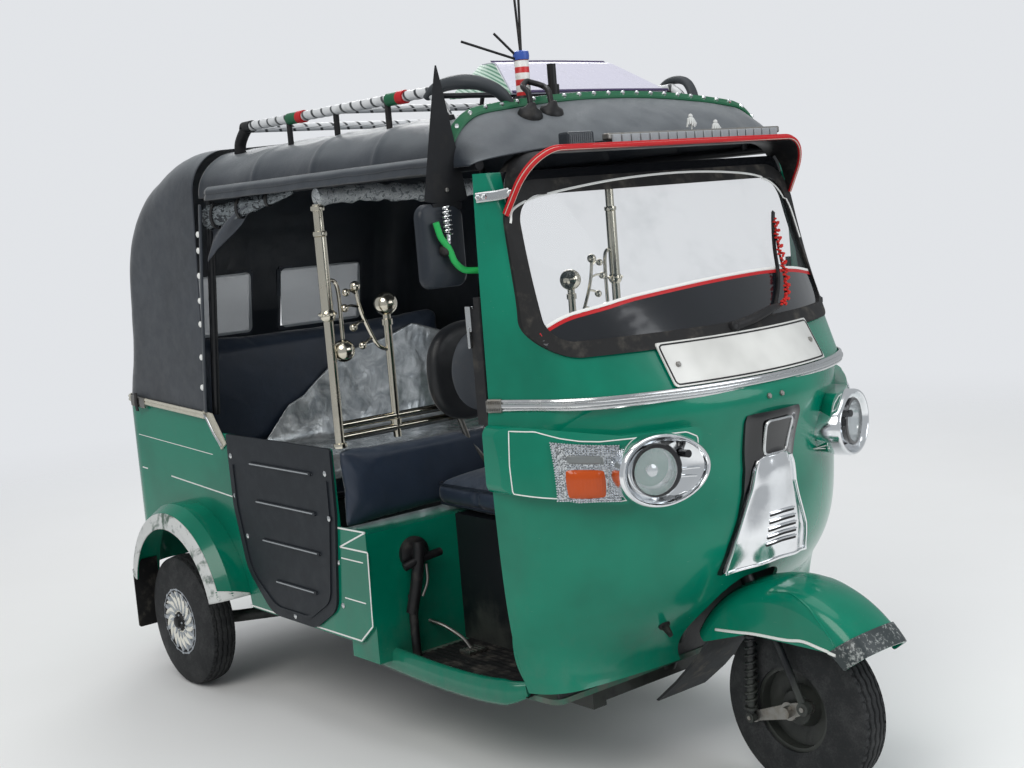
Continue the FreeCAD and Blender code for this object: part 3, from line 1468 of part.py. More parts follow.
def build():
    """Make every sub-part."""
    feature("chassis_frame", chassis_frame())
    feature("driver_floor", driver_floor())
    feature("apron", apron())
    finished(cabin_floor(), "cabin_floor")
    feature("front_cowl", front_cowl())
    feature("windscreen_surround", surround)
    feature("windscreen_glass", glass)
    feature("windscreen_seal", windscreen_seal())
    feature("belt_strip", belt_strip())
    feature("nose_panel", skin_patch(NOSE_PANEL, LOWER_SECTIONS, 0.3, NOSE_PANEL_OUT))
    feature("nose_shield", nose_shield())
    feature("lamp_pods", both_sides(lamp_pod()))
    feature("headlamps", both_sides(headlamp_glass()))
    frame = skin_patch(INDICATOR_FRAME, LOWER_SECTIONS, POD_OUT + 0.3, POD_OUT + 9)
    window = prism(grown(INDICATOR, 0.4), "YZ", -700, 60).fuse(prism(grown(SIDE_LIGHT, 0.4), "YZ", -700, 60))
    feature("lamp_bezels", Part.makeCompound([both_sides(frame.cut(window)), both_sides(headlamp_bezel())]))
    amber = skin_patch(INDICATOR, LOWER_SECTIONS, POD_OUT + 0.3, POD_OUT + 14)
    clear = skin_patch(SIDE_LIGHT, LOWER_SECTIONS, POD_OUT + 0.3, POD_OUT + 12)
    feature("indicators", Part.makeCompound([both_sides(amber), both_sides(clear)]))
    feature("number_plate", skin_patch(PLATE, UPPER_SECTIONS, 6.3, 10))
    feature("visor", visor())
    feature("roof_frame", roof_frame())
    feature("roof_canopy", roof_canopy())
    feature("rear_canopy", rear_canopy())
    feature("rear_panes", rear_panes())
    feature("side_panels", both_sides(side_panel()))
    feature("rear_panel", fused([rear_panel()] + hatch_hinges()))
    feature("engine_hatch", engine_hatch())
    finished(rear_fenders(), "rear_fenders")
    feature("side_guard", side_guard())
    finished(seat_box(), "seat_box")
    finished(seat_pedestal(), "seat_pedestal")
    finished(driver_seat(), "driver_seat")
    finished(partition_panel(), "partition_panel")
    finished(partition_posts(), "partition_posts")
    finished(passenger_bench(), "passenger_bench")
    feature("rear_arms", both_sides(rear_arm()))
    finished(engine_block(), "engine_block")
    feature("front_fork", front_fork())
    feature("front_fender", front_fender())
    feature("fender_tip", fender_tip())
    feature("front_mudflap", front_mudflap())
    feature("suspension_link", suspension_link())
    feature("spring_damper", spring_damper())
    feature("handlebar", handlebar())
    front = bound("front_axle_x")
    rear = front - bound("wheel_base")
    keep(tyre("front_tyre_body", front, 0), "front_tyre")
    keep(front_rim(front), "front_rim")
    offset = bound("half_width") + bound("rear_wheel_out")
    for side, sign in (("right", -1), ("left", 1)):
        keep(tyre("rear_tyre_body_" + side, rear, offset * sign), "rear_tyre_" + side)
        keep(covered_rim("rear_rim_body_" + side, rear, offset * sign, sign), "rear_rim_" + side)
    feature("roof_rack", roof_rack())
    feature("antenna", antenna())
    finished(lamp_bar(), "lamp_bar")
    feature("mirror", fused([mirror(), pennant()]))
    finished(tail_lamps(), "tail_lamps")
    feature("rear_bumper", rear_bumper())
    feature("rear_mudflaps", both_sides(rear_mudflap()))


build()
doc.recompute()

for obj in doc.Objects:
    if "Invalid" in obj.State or "Error" in obj.State:
        raise RuntimeError("not built: " + obj.Label)
for obj in subparts:
    if obj.Shape.isNull() or not obj.Shape.isValid():
        raise RuntimeError("bad shape: " + obj.Label)

os.makedirs("parts", exist_ok=True)
for obj in subparts:
    obj.Shape.exportStep("parts/%s.step" % obj.Label)

box_of_all = Part.makeCompound([obj.Shape for obj in subparts]).BoundBox
print("sub-parts", len(subparts))
print("X %.1f to %.1f" % (box_of_all.XMin, box_of_all.XMax))
print("Y %.1f to %.1f" % (box_of_all.YMin, box_of_all.YMax))
print("Z %.1f to %.1f" % (box_of_all.ZMin, box_of_all.ZMax))
for obj in subparts:
    print("%-22s solids %d volume %.0f cm3" % (obj.Label, len(obj.Shape.Solids), obj.Shape.Volume / 1000))
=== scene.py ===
import math

import bmesh
import bpy
import numpy as np
from mathutils import Matrix, Vector


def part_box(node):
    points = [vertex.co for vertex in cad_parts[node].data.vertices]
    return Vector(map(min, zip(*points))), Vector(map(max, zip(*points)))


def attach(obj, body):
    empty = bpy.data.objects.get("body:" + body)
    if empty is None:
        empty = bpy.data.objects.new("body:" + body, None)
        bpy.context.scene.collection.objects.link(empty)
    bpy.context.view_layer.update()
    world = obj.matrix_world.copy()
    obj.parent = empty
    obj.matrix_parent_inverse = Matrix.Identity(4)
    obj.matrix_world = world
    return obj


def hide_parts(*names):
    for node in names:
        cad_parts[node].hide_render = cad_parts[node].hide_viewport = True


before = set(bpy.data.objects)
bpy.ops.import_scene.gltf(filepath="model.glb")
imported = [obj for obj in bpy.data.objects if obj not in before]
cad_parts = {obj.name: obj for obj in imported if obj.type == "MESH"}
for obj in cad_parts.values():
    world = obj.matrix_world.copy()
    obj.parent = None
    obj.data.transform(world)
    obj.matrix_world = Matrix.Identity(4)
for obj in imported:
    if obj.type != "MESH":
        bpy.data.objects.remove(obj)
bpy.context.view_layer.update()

bl_info = {
    "name": "Auto rickshaw dresser",
    "version": (1, 0, 0),
    "blender": (4, 5, 0),
    "location": "3D View > Sidebar > Rickshaw",
    "description": "Adds cloth, tyres, trim, lamps and finishes to the auto rickshaw's frame",
    "category": "Object",
}

# The drawing's own X is zero at the front axle; millimetres there, metres in the scene
FRONT_AXLE = sum(corner.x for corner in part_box("front_tyre")) / 2
WHEEL_BASE = 2000.0
HUB_HEIGHT = 207.0
REAR_TRACK = 562.0
WHEEL_FACE = 605.0
TYRE_BEAD = 102.0
TREAD_HALF = 36.0
TREAD_SHARE = 0.6
GROOVES = (-24.0, -8.5, 8.5, 24.0)

CAMERA_PLACE = (2104.0, -2518.0, 1421.0)
CAMERA_ANGLES = (140.88, -7.08, -4.67)
CAMERA_LENS = 49.96
SENSOR_WIDTH = 36.0
FLOOR_FADE = (2.6, 7.0)
LAMP_AIM = (0.0, 0.0, 0.8)

# Metres: the height above which the windscreen surround takes a black band of painted shade under the visor, that
# band's half width, and the most that a cushion's cover may puff out
VISOR_SHADE_HEIGHT = 1.44
VISOR_SHADE_HALF = 0.478
MOST_PUFF = 0.014

# Millimetres: walls of the canopy's cloth, of its flaps and of the bench's cover
CANOPY_WALL = 2.0
FLAP_WALL = 1.4
COVER_WALL = 0.8


def srgb(red, green, blue):
    """Colour given as the eye sees it, 0 to 255, turned into the linear value a shader takes."""
    parts = []
    for part in (red, green, blue):
        part /= 255.0
        parts.append(part / 12.92 if part <= 0.04045 else ((part + 0.055) / 1.055) ** 2.4)
    return (*parts, 1.0)


def placed(points):
    """Drawing millimetres to scene metres."""
    return np.asarray(points, float) * 0.001 + np.array([FRONT_AXLE, 0.0, 0.0])


# Surfaces


def around(count):
    """Angles at equal steps of a full turn."""
    return np.linspace(0, 2 * math.pi, count, endpoint=False)


def unit(vectors):
    """Vectors brought to length one."""
    return vectors / np.linalg.norm(vectors, axis=-1, keepdims=True)


def spread(x, y, z):
    """Points from three coordinates, each stretched over the grid that they span together."""
    return np.stack(np.broadcast_arrays(x, y, z), -1)


def grid_faces(rows, columns, wrap_rows=False, wrap_columns=False):
    """Quads of a rows by columns grid, joined round where it wraps."""
    r = np.arange(rows if wrap_rows else rows - 1)
    c = np.arange(columns if wrap_columns else columns - 1)
    r, c = np.meshgrid(r, c, indexing="ij")
    r2 = (r + 1) % rows
    c2 = (c + 1) % columns
    quads = np.stack([r * columns + c, r2 * columns + c, r2 * columns + c2, r * columns + c2], -1)
    return quads.reshape(-1, 4)


def grid_shape(grid, wrap_rows=False, wrap_columns=False, cap_rows=False):
    """Points and faces of a grid of points; cap_rows closes its first and last row with a face."""
    rows, columns, _ = grid.shape
    faces = grid_faces(rows, columns, wrap_rows, wrap_columns).tolist()
    if cap_rows:
        faces.append(list(range(columns)))
        faces.append(list(range(rows * columns - 1, (rows - 1) * columns - 1, -1)))
    return grid.reshape(-1, 3), faces


def joined(shapes):
    """Several shapes as one, the face numbers shifted past the points before them."""
    points = []
    faces = []
    count = 0
    for vertices, polygons in shapes:
        points.append(vertices)
        faces.extend([[i + count for i in polygon] for polygon in polygons])
        count += len(vertices)
    return np.concatenate(points), faces


def piece(name, shape, finish, body="body", smooth=35.0, uv=None):
    """Mesh object from points in drawing millimetres, with its normals turned outwards."""
    vertices, faces = shape
    mesh = bpy.data.meshes.new(name)
    mesh.from_pydata(placed(vertices), [], faces)
    mesh.update()
    if uv is not None:
        layer = mesh.uv_layers.new(name="UVMap")
        index = np.empty(len(mesh.loops), int)
        mesh.loops.foreach_get("vertex_index", index)
        layer.data.foreach_set("uv", np.asarray(uv, float).reshape(-1, 2)[index].ravel())
    obj = bpy.data.objects.new(name, mesh)
    bpy.context.scene.collection.objects.link(obj)
    outward(obj)
    if smooth:
        mesh.shade_smooth()
        mesh.set_sharp_from_angle(angle=math.radians(smooth))
    mesh.materials.append(FINISHES[finish])
    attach(obj, body)
    return obj


def outward(obj):
    """Closes a mesh's seams and poles and turns its normals outwards."""
    work = bmesh.new()
    work.from_mesh(obj.data)
    bmesh.ops.remove_doubles(work, verts=work.verts, dist=1e-6)
    bmesh.ops.recalc_face_normals(work, faces=work.faces)
    work.to_mesh(obj.data)
    work.free()


def thickened(obj, thickness):
    """Gives an open sheet a wall, in millimetres, with a closed rim."""
    solid = obj.modifiers.new("wall", "SOLIDIFY")
    solid.thickness = thickness * 0.001
    solid.offset = -1.0
    solid.use_even_offset = True
    return obj


def softened(obj, width, segments=2):
    """Rounds a piece's hard edges by a small bevel, in millimetres."""
    bevel = obj.modifiers.new("edge", "BEVEL")
    bevel.width = width * 0.001
    bevel.segments = segments
    bevel.limit_method = "ANGLE"
    bevel.angle_limit = math.radians(40)
    return obj


def curve_through(points, count):
    """Smooth line through points: each span is the cubic whose end slopes follow the neighbours."""
    knots = np.asarray(points, float)
    ends = np.vstack([2 * knots[0] - knots[1], knots, 2 * knots[-1] - knots[-2]])
    t = np.linspace(0, len(knots) - 1, count)
    span = np.minimum(t.astype(int), len(knots) - 2)
    s = (t - span)[:, None]
    a, b, c, d = (ends[span + k] for k in range(4))
    return 0.5 * (2 * b + (c - a) * s + (2 * a - 5 * b + 4 * c - d) * s ** 2 + (3 * b - a - 3 * c + d) * s ** 3)


def resampled(line, count):
    """The same polyline with points at equal steps along it."""
    line = np.asarray(line, float)
    steps = np.linalg.norm(np.diff(line, axis=0), axis=1)
    run = np.concatenate([[0], np.cumsum(steps)])
    want = np.linspace(0, run[-1], count)
    return np.stack([np.interp(want, run, line[:, k]) for k in range(line.shape[1])], 1)


def directions(line, closed=False):
    """Unit tangent of a polyline at each point, from its two neighbours."""
    if closed:
        along = np.roll(line, -1, 0) - np.roll(line, 1, 0)
    else:
        along = np.gradient(line, axis=0)
    return unit(along)


def carried(line, profile, up=(0, 0, 1), closed=False, scale=None):
    """Closed profile carried along a line: its first axis lies across, its second along the up side."""
    line = np.asarray(line, float)
    tangent = directions(line, closed)
    up = np.broadcast_to(np.asarray(up, float), line.shape)
    across = unit(np.cross(tangent, up))
    upward = np.cross(across, tangent)
    profile = np.asarray(profile, float)
    factor = np.ones(len(line)) if scale is None else np.asarray(scale, float)
    grid = (line[:, None, :] + across[:, None, :] * profile[None, :, 0, None] * factor[:, None, None]
            + upward[:, None, :] * profile[None, :, 1, None] * factor[:, None, None])
    return grid_shape(grid, closed, True, not closed)


def ring_profile(radius, sides=12, flat=1.0):
    """Circle, or an ellipse flattened along the up side."""
    angle = around(sides)
    return np.stack([radius * np.cos(angle), radius * flat * np.sin(angle)], 1)


def pipe(line, radius, sides=12, up=(0, 0, 1), closed=False, scale=None):
    """Round bar along a line."""
    return carried(line, ring_profile(radius, sides), up, closed, scale)


def turned_shape(profile, centre, axis, sides=48):
    """Profile of (distance from the axis, place along it) turned a full circle round an axis."""
    profile = np.asarray(profile, float)
    axis = unit(np.asarray(axis, float))
    helper = np.array([0.0, 0.0, 1.0]) if abs(axis[2]) < 0.9 else np.array([1.0, 0.0, 0.0])
    first = unit(np.cross(helper, axis))
    second = np.cross(axis, first)
    angle = around(sides)
    spoke = np.cos(angle)[:, None] * first + np.sin(angle)[:, None] * second
    grid = (np.asarray(centre, float) + spoke[:, None, :] * profile[None, :, 0, None]
            + axis * profile[None, :, 1, None])
    return grid_shape(grid, True, bool(profile[0][0] > 1e-6))


def beads(centres, radius, squash=1.0, sides=8):
    """Small balls at many places: one ball's grid copied to every centre."""
    polar = np.linspace(0, math.pi, sides // 2 + 1)
    angle = around(sides)
    p, a = np.meshgrid(polar[1:-1], angle, indexing="ij")
    ball = np.stack([np.sin(p) * np.cos(a), np.sin(p) * np.sin(a), np.cos(p) * squash], -1) * radius
    rows, columns, _ = ball.shape
    points = np.concatenate([ball.reshape(-1, 3), [[0, 0, radius * squash]], [[0, 0, -radius * squash]]])
    faces = grid_faces(rows, columns, False, True).tolist()
    top = rows * columns
    last = (rows - 1) * columns
    faces += [[(k + 1) % columns, top, k] for k in range(columns)]
    faces += [[last + k, top + 1, last + (k + 1) % columns] for k in range(columns)]
    centres = np.asarray(centres, float)
    cloud = (centres[:, None, :] + points[None, :, :]).reshape(-1, 3)
    step = len(points)
    quads = [[i + step * n for i in polygon] for n in range(len(centres)) for polygon in faces]
    return cloud, quads


def block(low, high):
    """Box between two corners."""
    (x0, y0, z0), (x1, y1, z1) = low, high
    points = np.array([[x, y, z] for x in (x0, x1) for y in (y0, y1) for z in (z0, z1)], float)
    faces = [[0, 1, 3, 2], [4, 6, 7, 5], [0, 4, 5, 1], [2, 3, 7, 6], [0, 2, 6, 4], [1, 5, 7, 3]]
    return points, faces


def flipped(shape):
    """The same shape on the other side of the vehicle."""
    vertices, faces = shape
    return vertices * np.array([1.0, -1.0, 1.0]), [polygon[::-1] for polygon in faces]


def both(shape):
    """A shape and its mirror image."""
    return joined([shape, flipped(shape)])


CAD_TRIANGLES = {}


def cad_triangles(names):
    """Corners of CAD parts' triangles, in drawing millimetres, worked out once a part."""
    for name in names:
        if name not in CAD_TRIANGLES:
            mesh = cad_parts[name].data
            mesh.calc_loop_triangles()
            points = np.empty(3 * len(mesh.vertices))
            mesh.vertices.foreach_get("co", points)
            index = np.empty(3 * len(mesh.loop_triangles), int)
            mesh.loop_triangles.foreach_get("vertices", index)
            corners = points.reshape(-1, 3)[index].reshape(-1, 3, 3)
            CAD_TRIANGLES[name] = (corners - [FRONT_AXLE, 0, 0]) * 1000
    return np.concatenate([CAD_TRIANGLES[name] for name in names])


def laid(points, names, toward, lift=0.0):
    """Points slid along one direction until they lie on CAD parts, lift millimetres proud. Seen along that
    direction, each point takes the depth of the outermost triangle that covers it; one that misses them
    all takes the depth of its nearest neighbour that doesn't."""
    points = np.array(points, float)
    toward = unit(np.asarray(toward, float))
    across = unit(np.cross((0.0, 0.0, 1.0), toward))
    turn = np.stack([across, np.cross(toward, across), toward], 1)
    flat = points.reshape(-1, 3) @ turn
    corners = cad_triangles(names) @ turn
    high, low = corners[..., :2].max(1), corners[..., :2].min(1)
    depth = np.full(len(flat), -np.inf)
    for start in range(0, len(flat), 60):
        some = flat[start:start + 60, :2]
        near = ((high > some.min(0)) & (low < some.max(0))).all(1)
        if not near.any():
            continue
        a, b, c = corners[near].transpose(1, 0, 2)
        ab, ac = b - a, c - a
        area = ab[:, 0] * ac[:, 1] - ab[:, 1] * ac[:, 0]
        area[np.abs(area) < 1e-9] = 1e-9
        off = some[:, None] - a[None, :, :2]
        u = (off[..., 0] * ac[:, 1] - off[..., 1] * ac[:, 0]) / area
        v = (off[..., 1] * ab[:, 0] - off[..., 0] * ab[:, 1]) / area
        inside = (u > -1e-6) & (v > -1e-6) & (u + v < 1 + 1e-6)
        depth[start:start + 60] = np.where(inside, a[:, 2] + u * ab[:, 2] + v * ac[:, 2], -np.inf).max(1)
    met = np.isfinite(depth)
    if not met.all():
        gaps = np.linalg.norm(flat[~met, None, :2] - flat[None, met, :2], axis=2)
        depth[~met] = depth[met][gaps.argmin(1)]
    flat[:, 2] = depth + lift
    return (flat @ turn.T).reshape(points.shape)


def patch(corners, rows, columns, bulge=0.0):
    """Grid between four corners in order, each point the mean of its row's and column's places; bulge is
    how far the four sides bow outwards, as a share of their length."""
    p, q, r, s = np.asarray(corners, float)
    u, v = np.meshgrid(np.linspace(0, 1, columns), np.linspace(0, 1, rows))
    u = u[..., None] + bulge * (u[..., None] - 0.5) * np.sin(v[..., None] * math.pi)
    v = v[..., None] + bulge * (v[..., None] - 0.5) * np.sin(u * math.pi)
    return p * (1 - u) * (1 - v) + q * u * (1 - v) + r * u * v + s * (1 - u) * v


def rounded_line(corners, closed=True, steps=7):
    """Outline through corners given as (u, v, radius): straight runs joined by arcs that touch them."""
    corners = np.asarray(corners, float)
    count = len(corners)
    runs = []
    for k in range(count):
        here = corners[k, :2]
        if corners[k, 2] <= 0 or (not closed and k in (0, count - 1)):
            runs.append(here[None])
            continue
        before = unit(corners[k - 1, :2] - here)
        after = unit(corners[(k + 1) % count, :2] - here)
        half = math.acos(np.clip(before @ after, -1, 1)) / 2
        reach = corners[k, 2] / math.tan(half)
        t = np.linspace(0, 1, steps)[:, None]
        middle = here + unit(before + after) * corners[k, 2] / math.sin(half)
        start, end = here + before * reach, here + after * reach
        spoke = (start * (1 - t) + end * t) - middle
        runs.append(middle + unit(spoke) * corners[k, 2])
    line = np.concatenate(runs)
    return np.concatenate([line, line[:1]]) if closed else line


def on_plane(line, axis, place):
    """Flat outline stood in space at a place on one axis."""
    return np.insert(np.asarray(line, float), axis, place, axis=1)


def strip(line, width, height, up, closed=False):
    """Flat band carried along a line: its foot is just under the line and its upper edges are eased."""
    w = width / 2
    profile = [(-w, -0.6), (w, -0.6), (w, height * 0.55), (w * 0.72, height), (-w * 0.72, height), (-w, height * 0.55)]
    line = np.asarray(line, float)
    up = np.broadcast_to(np.asarray(up, float), line.shape)
    return carried(line[:-1], profile, up[:-1], True) if closed else carried(line, profile, up)


def away_from(line, centre, level=True):
    """Unit vectors from a centre out to each point of a line, kept level unless told otherwise."""
    out = np.asarray(line, float) - np.asarray(centre, float)
    if level:
        out[:, 2] = 0
    return unit(out)


def ball_bump(line, radius, spacing):
    """Small balls at equal steps along a line."""
    steps = np.linalg.norm(np.diff(line, axis=0), axis=1).sum()
    return beads(resampled(np.asarray(line, float), max(2, int(steps / spacing))), radius)


def heads(profile, places, axis, sides):
    """One turned head at each of several places."""
    return joined([turned_shape(profile, place, axis, sides) for place in places])


def lathe_z(profile, centre, sides=32):
    """Profile turned about an upright axis."""
    return turned_shape(profile, centre, (0, 0, 1), sides)


def slab(grid, thickness, toward):
    """Closed sheet with a wall: the grid, its copy set back along a direction, and the rim between."""
    toward = unit(np.asarray(toward, float))
    back = grid - toward * thickness
    rows, columns, _ = grid.shape
    faces = grid_faces(rows, columns)
    count = rows * columns
    index = np.arange(count).reshape(rows, columns)
    rim = np.concatenate([index[0], index[1:, -1], index[-1, -2::-1], index[-2:0:-1, 0]])
    after = np.roll(rim, -1)
    sides = np.stack([rim, rim + count, after + count, after], 1)
    return (np.concatenate([grid.reshape(-1, 3), back.reshape(-1, 3)]),
            faces.tolist() + (faces[:, ::-1] + count).tolist() + sides.tolist())


# Shaders


def arithmetic(operation, swapped=False):
    """Method that adds a Math node for one sign."""
    def method(self, other):
        return self.finish.math(operation, *((other, self) if swapped else (self, other)))
    return method


class Link:
    """Shader socket that takes part in arithmetic."""

    def __init__(self, finish, socket):
        self.finish = finish
        self.socket = socket

    __add__, __radd__ = arithmetic("ADD"), arithmetic("ADD", True)
    __sub__, __rsub__ = arithmetic("SUBTRACT"), arithmetic("SUBTRACT", True)
    __mul__, __rmul__ = arithmetic("MULTIPLY"), arithmetic("MULTIPLY", True)
    __truediv__, __rtruediv__ = arithmetic("DIVIDE"), arithmetic("DIVIDE", True)


class Finish:
    """Material being built round one Principled shader."""

    def __init__(self, name, fixed):
        self.material = bpy.data.materials.new(name)
        self.material.use_nodes = True
        self.tree = self.material.node_tree
        self.tree.nodes.clear()
        self.shader = self.node("ShaderNodeBsdfPrincipled", {}, fixed)
        out = self.node("ShaderNodeOutputMaterial", {}, {})
        self.tree.links.new(self.shader.outputs[0], out.inputs[0])
        self.out = out

    def node(self, kind, settings, inputs):
        """Adds a node: its settings first, then a value or a link for each named socket."""
        node = self.tree.nodes.new(kind)
        for key, value in settings.items():
            if key == "stops":
                ramp = node.color_ramp
                while len(ramp.elements) < len(value):
                    ramp.elements.new(0.5)
                for element, (place, colour) in zip(ramp.elements, value):
                    element.position = place
                    element.color = colour
            else:
                setattr(node, key, value)
        for key, value in inputs.items():
            socket = node.inputs[key]
            if isinstance(value, Link):
                self.tree.links.new(value.socket, socket)
            else:
                socket.default_value = value
        return node

    def take(self, node, output=0):
        """One output of a node, ready for arithmetic."""
        return Link(self, node.outputs[output])

    def math(self, operation, *terms):
        """Result of a Math node."""
        return self.take(self.node("ShaderNodeMath", {"operation": operation}, dict(enumerate(terms))))

    def mix(self, factor, first, second, blend="MIX"):
        """Colour between two by a factor."""
        node = self.node("ShaderNodeMix", {"data_type": "RGBA", "blend_type": blend},
                         {0: factor, 6: first, 7: second})
        return self.take(node, 2)

    def scaled(self, vector, scale):
        """Coordinates stretched along each axis."""
        node = self.node("ShaderNodeVectorMath", {"operation": "MULTIPLY"}, {0: vector, 1: scale})
        return self.take(node)

    def here(self):
        """Object coordinates, metres in the vehicle's frame."""
        return self.take(self.node("ShaderNodeTexCoord", {}, {}), "Object")

    def uv(self):
        """The piece's own coordinates along and round it."""
        return self.take(self.node("ShaderNodeUVMap", {"uv_map": "UVMap"}, {}))

    def axes(self, vector):
        """The three parts of a vector."""
        node = self.node("ShaderNodeSeparateXYZ", {}, {0: vector})
        return [self.take(node, k) for k in range(3)]

    def facing(self):
        """Surface normal's parts in the vehicle's frame."""
        return self.axes(self.take(self.node("ShaderNodeTexCoord", {}, {}), "Normal"))

    def noise(self, vector, scale, detail=3.0, roughness=0.55, distortion=0.0):
        """Cloudy value, about 0.5 in the mean."""
        node = self.node("ShaderNodeTexNoise", {}, {
            "Vector": vector, "Scale": scale, "Detail": detail, "Roughness": roughness,
            "Distortion": distortion})
        return self.take(node)

    def cells(self, vector, scale):
        """Distance to the nearest of many scattered points."""
        return self.take(self.node("ShaderNodeTexVoronoi", {}, {"Vector": vector, "Scale": scale}))

    def step(self, value, low, high, first=0.0, last=1.0):
        """Smooth change from first to last as the value passes from low to high."""
        node = self.node("ShaderNodeMapRange", {"interpolation_type": "SMOOTHSTEP"}, {
            "Value": value, "From Min": low, "From Max": high, "To Min": first, "To Max": last})
        return self.take(node)

    def band(self, value, low, high, edge):
        """One between low and high, zero outside, with a soft edge."""
        return self.step(value, low - edge, low + edge) * self.step(value, high - edge, high + edge, 1.0, 0.0)

    def feed(self, **sockets):
        """Links what changes over the surface to the shader's own sockets."""
        names = {"colour": "Base Color", "rough": "Roughness", "metal": "Metallic", "alpha": "Alpha",
                 "coat": "Coat Weight", "glow": "Emission Color", "normal": "Normal"}
        for key, value in sockets.items():
            self.tree.links.new(value.socket, self.shader.inputs[names[key]])

    def bump(self, height, distance, strength=1.0):
        """Normal from a height between zero and one, distance in millimetres."""
        node = self.node("ShaderNodeBump", {}, {
            "Height": height, "Distance": distance * 0.001, "Strength": strength})
        self.feed(normal=self.take(node))


FINISHES = {}


def gloss_paint(name, colour, dirt=0.35, coat=0.3, rough=0.2, visor_shade=None):
    """Weathered gloss paint: faint tone drift, dust that thickens towards the ground, fine scratches, and, when
    visor_shade is given, a near-black band of painted shade under the visor above that height.
    """
    finish = Finish(name, {"Roughness": rough, "Coat Weight": coat, "Coat Roughness": 0.05,
                           "Specular IOR Level": 0.25})
    here = finish.here()
    _, y, z = finish.axes(here)
    drift = finish.noise(here, 3.0, 4.0)
    patches = finish.noise(here, 14.0, 6.0, 0.65)
    streak = finish.noise(finish.scaled(here, (26.0, 26.0, 4.0)), 1.0, 5.0, 0.6)
    darker = tuple(part * 0.72 for part in colour[:3]) + (1.0,)
    base = finish.mix(finish.step(drift, 0.35, 0.7), colour, darker)
    low = finish.step(z, 0.55, 0.12)
    dust = finish.step(patches * 0.6 + streak * 0.4 + low * 0.35, 0.58, 0.86) * dirt
    base = finish.mix(dust, base, srgb(104, 108, 100))
    scratches = finish.step(finish.noise(finish.scaled(here, (40.0, 40.0, 220.0)), 1.0, 3.0, 0.7), 0.70, 0.76)
    base = finish.mix(scratches * 0.12, base, srgb(150, 180, 170))
    if visor_shade:
        # Painted shade: near-black over the windscreen's width above the given height, standing for the visor's
        # shadowed dark underside.
        top = finish.step(z, visor_shade - 0.001, visor_shade + 0.001) * finish.band(y, -VISOR_SHADE_HALF, VISOR_SHADE_HALF, 0.002)
        base = finish.mix(top, base, srgb(20, 22, 26))
    finish.feed(colour=base, rough=finish.step(dust + scratches * 0.5, 0.0, 1.0, rough, 0.62))
    finish.bump(finish.noise(here, 90.0, 2.0) * 0.35 + scratches * 0.3, 0.25, 0.25)
    return finish.material


def coated_cloth(name, colour, lit_faded_colour, grain, rough):
    """Coated cloth: leathery grain, soft creases, lighter in patches where it faces up: painted sunlight on the tops,
    with some fading and dust.
    """
    finish = Finish(name, {"Roughness": rough, "Sheen Weight": 0.25, "Sheen Roughness": 0.4})
    here = finish.here()
    up = finish.facing()[2]
    drift = finish.noise(here, 5.0, 5.0)
    patchy = finish.noise(here, 22.0, 6.0, 0.7)
    base = finish.mix(finish.step(drift, 0.3, 0.75), colour, tuple(c * 0.7 for c in colour[:3]) + (1.0,))
    # Painted light: upward faces turn towards the lighter colour, as sunlit tops, with some fading and dust.
    sky = finish.step(up, 0.25, 0.95) * finish.step(patchy * 0.6 + drift * 0.4, 0.2, 0.7, 0.35, 1.0)
    base = finish.mix(sky * 0.75, base, lit_faded_colour)
    finish.feed(colour=base, rough=finish.step(patchy, 0.3, 0.7, rough - 0.06, rough + 0.12))
    pebble = finish.cells(here, grain)
    crease = finish.noise(finish.scaled(here, (9.0, 16.0, 16.0)), 1.0, 5.0, 0.55, 0.6)
    finish.bump(pebble * 0.16 + crease * 0.84, 3.0, 0.5)
    return finish.material


def metal(name, colour, rough=0.14, pits=0.15, grime=0.2):
    """Plated metal with specks of pitting and a film of grime."""
    finish = Finish(name, {"Metallic": 1.0, "Roughness": rough})
    here = finish.here()
    film = finish.noise(here, 30.0, 5.0, 0.6)
    speck = finish.step(finish.cells(here, 260.0), 0.10, 0.04)
    base = finish.mix(finish.step(film, 0.45, 0.8) * grime, colour, srgb(120, 108, 90))
    base = finish.mix(speck * pits, base, srgb(90, 62, 40))
    finish.feed(colour=base, rough=finish.step(film, 0.35, 0.8, rough, rough + 0.2))
    finish.bump(finish.noise(here, 120.0, 2.0), 0.1, 0.2)
    return finish.material


def moulding(name, colour, rough=0.45, grain=0.35, dust=0.25):
    """Moulded plastic or rubber: fine grain and a little dust in its hollows."""
    finish = Finish(name, {"Roughness": rough, "Specular IOR Level": 0.3})
    here = finish.here()
    cloud = finish.noise(here, 18.0, 6.0, 0.65)
    base = finish.mix(finish.step(cloud, 0.48, 0.82) * dust, colour, srgb(128, 122, 112))
    finish.feed(colour=base, rough=finish.step(cloud, 0.3, 0.8, rough - 0.05, rough + 0.15))
    finish.bump(finish.noise(here, 700.0, 2.0), 0.25, grain)
    return finish.material


def clear_glass(name, colour, alpha, rough=0.03):
    """Thin clear sheet: mostly see-through, with a film of dust that shows more in patches."""
    finish = Finish(name, {"Base Color": colour, "Roughness": rough, "Specular IOR Level": 0.8})
    here = finish.here()
    smear = finish.step(finish.noise(here, 7.0, 5.0, 0.6), 0.45, 0.85)
    finish.feed(alpha=smear * 0.10 + alpha)
    finish.material.surface_render_method = "BLENDED"
    return finish.material


def tyre_rubber(name):
    """Tyre rubber, greyed by road dust on the tread and shoulders."""
    finish = Finish(name, {"Roughness": 0.72, "Specular IOR Level": 0.35})
    here = finish.here()
    cloud = finish.noise(here, 16.0, 7.0, 0.7)
    grit = finish.noise(here, 240.0, 3.0, 0.6)
    mask = finish.step(cloud * 0.7 + grit * 0.3, 0.42, 0.72)
    finish.feed(colour=finish.mix(mask * 0.4, srgb(28, 30, 32), srgb(86, 86, 86)))
    finish.bump(grit, 0.5, 0.4)
    return finish.material


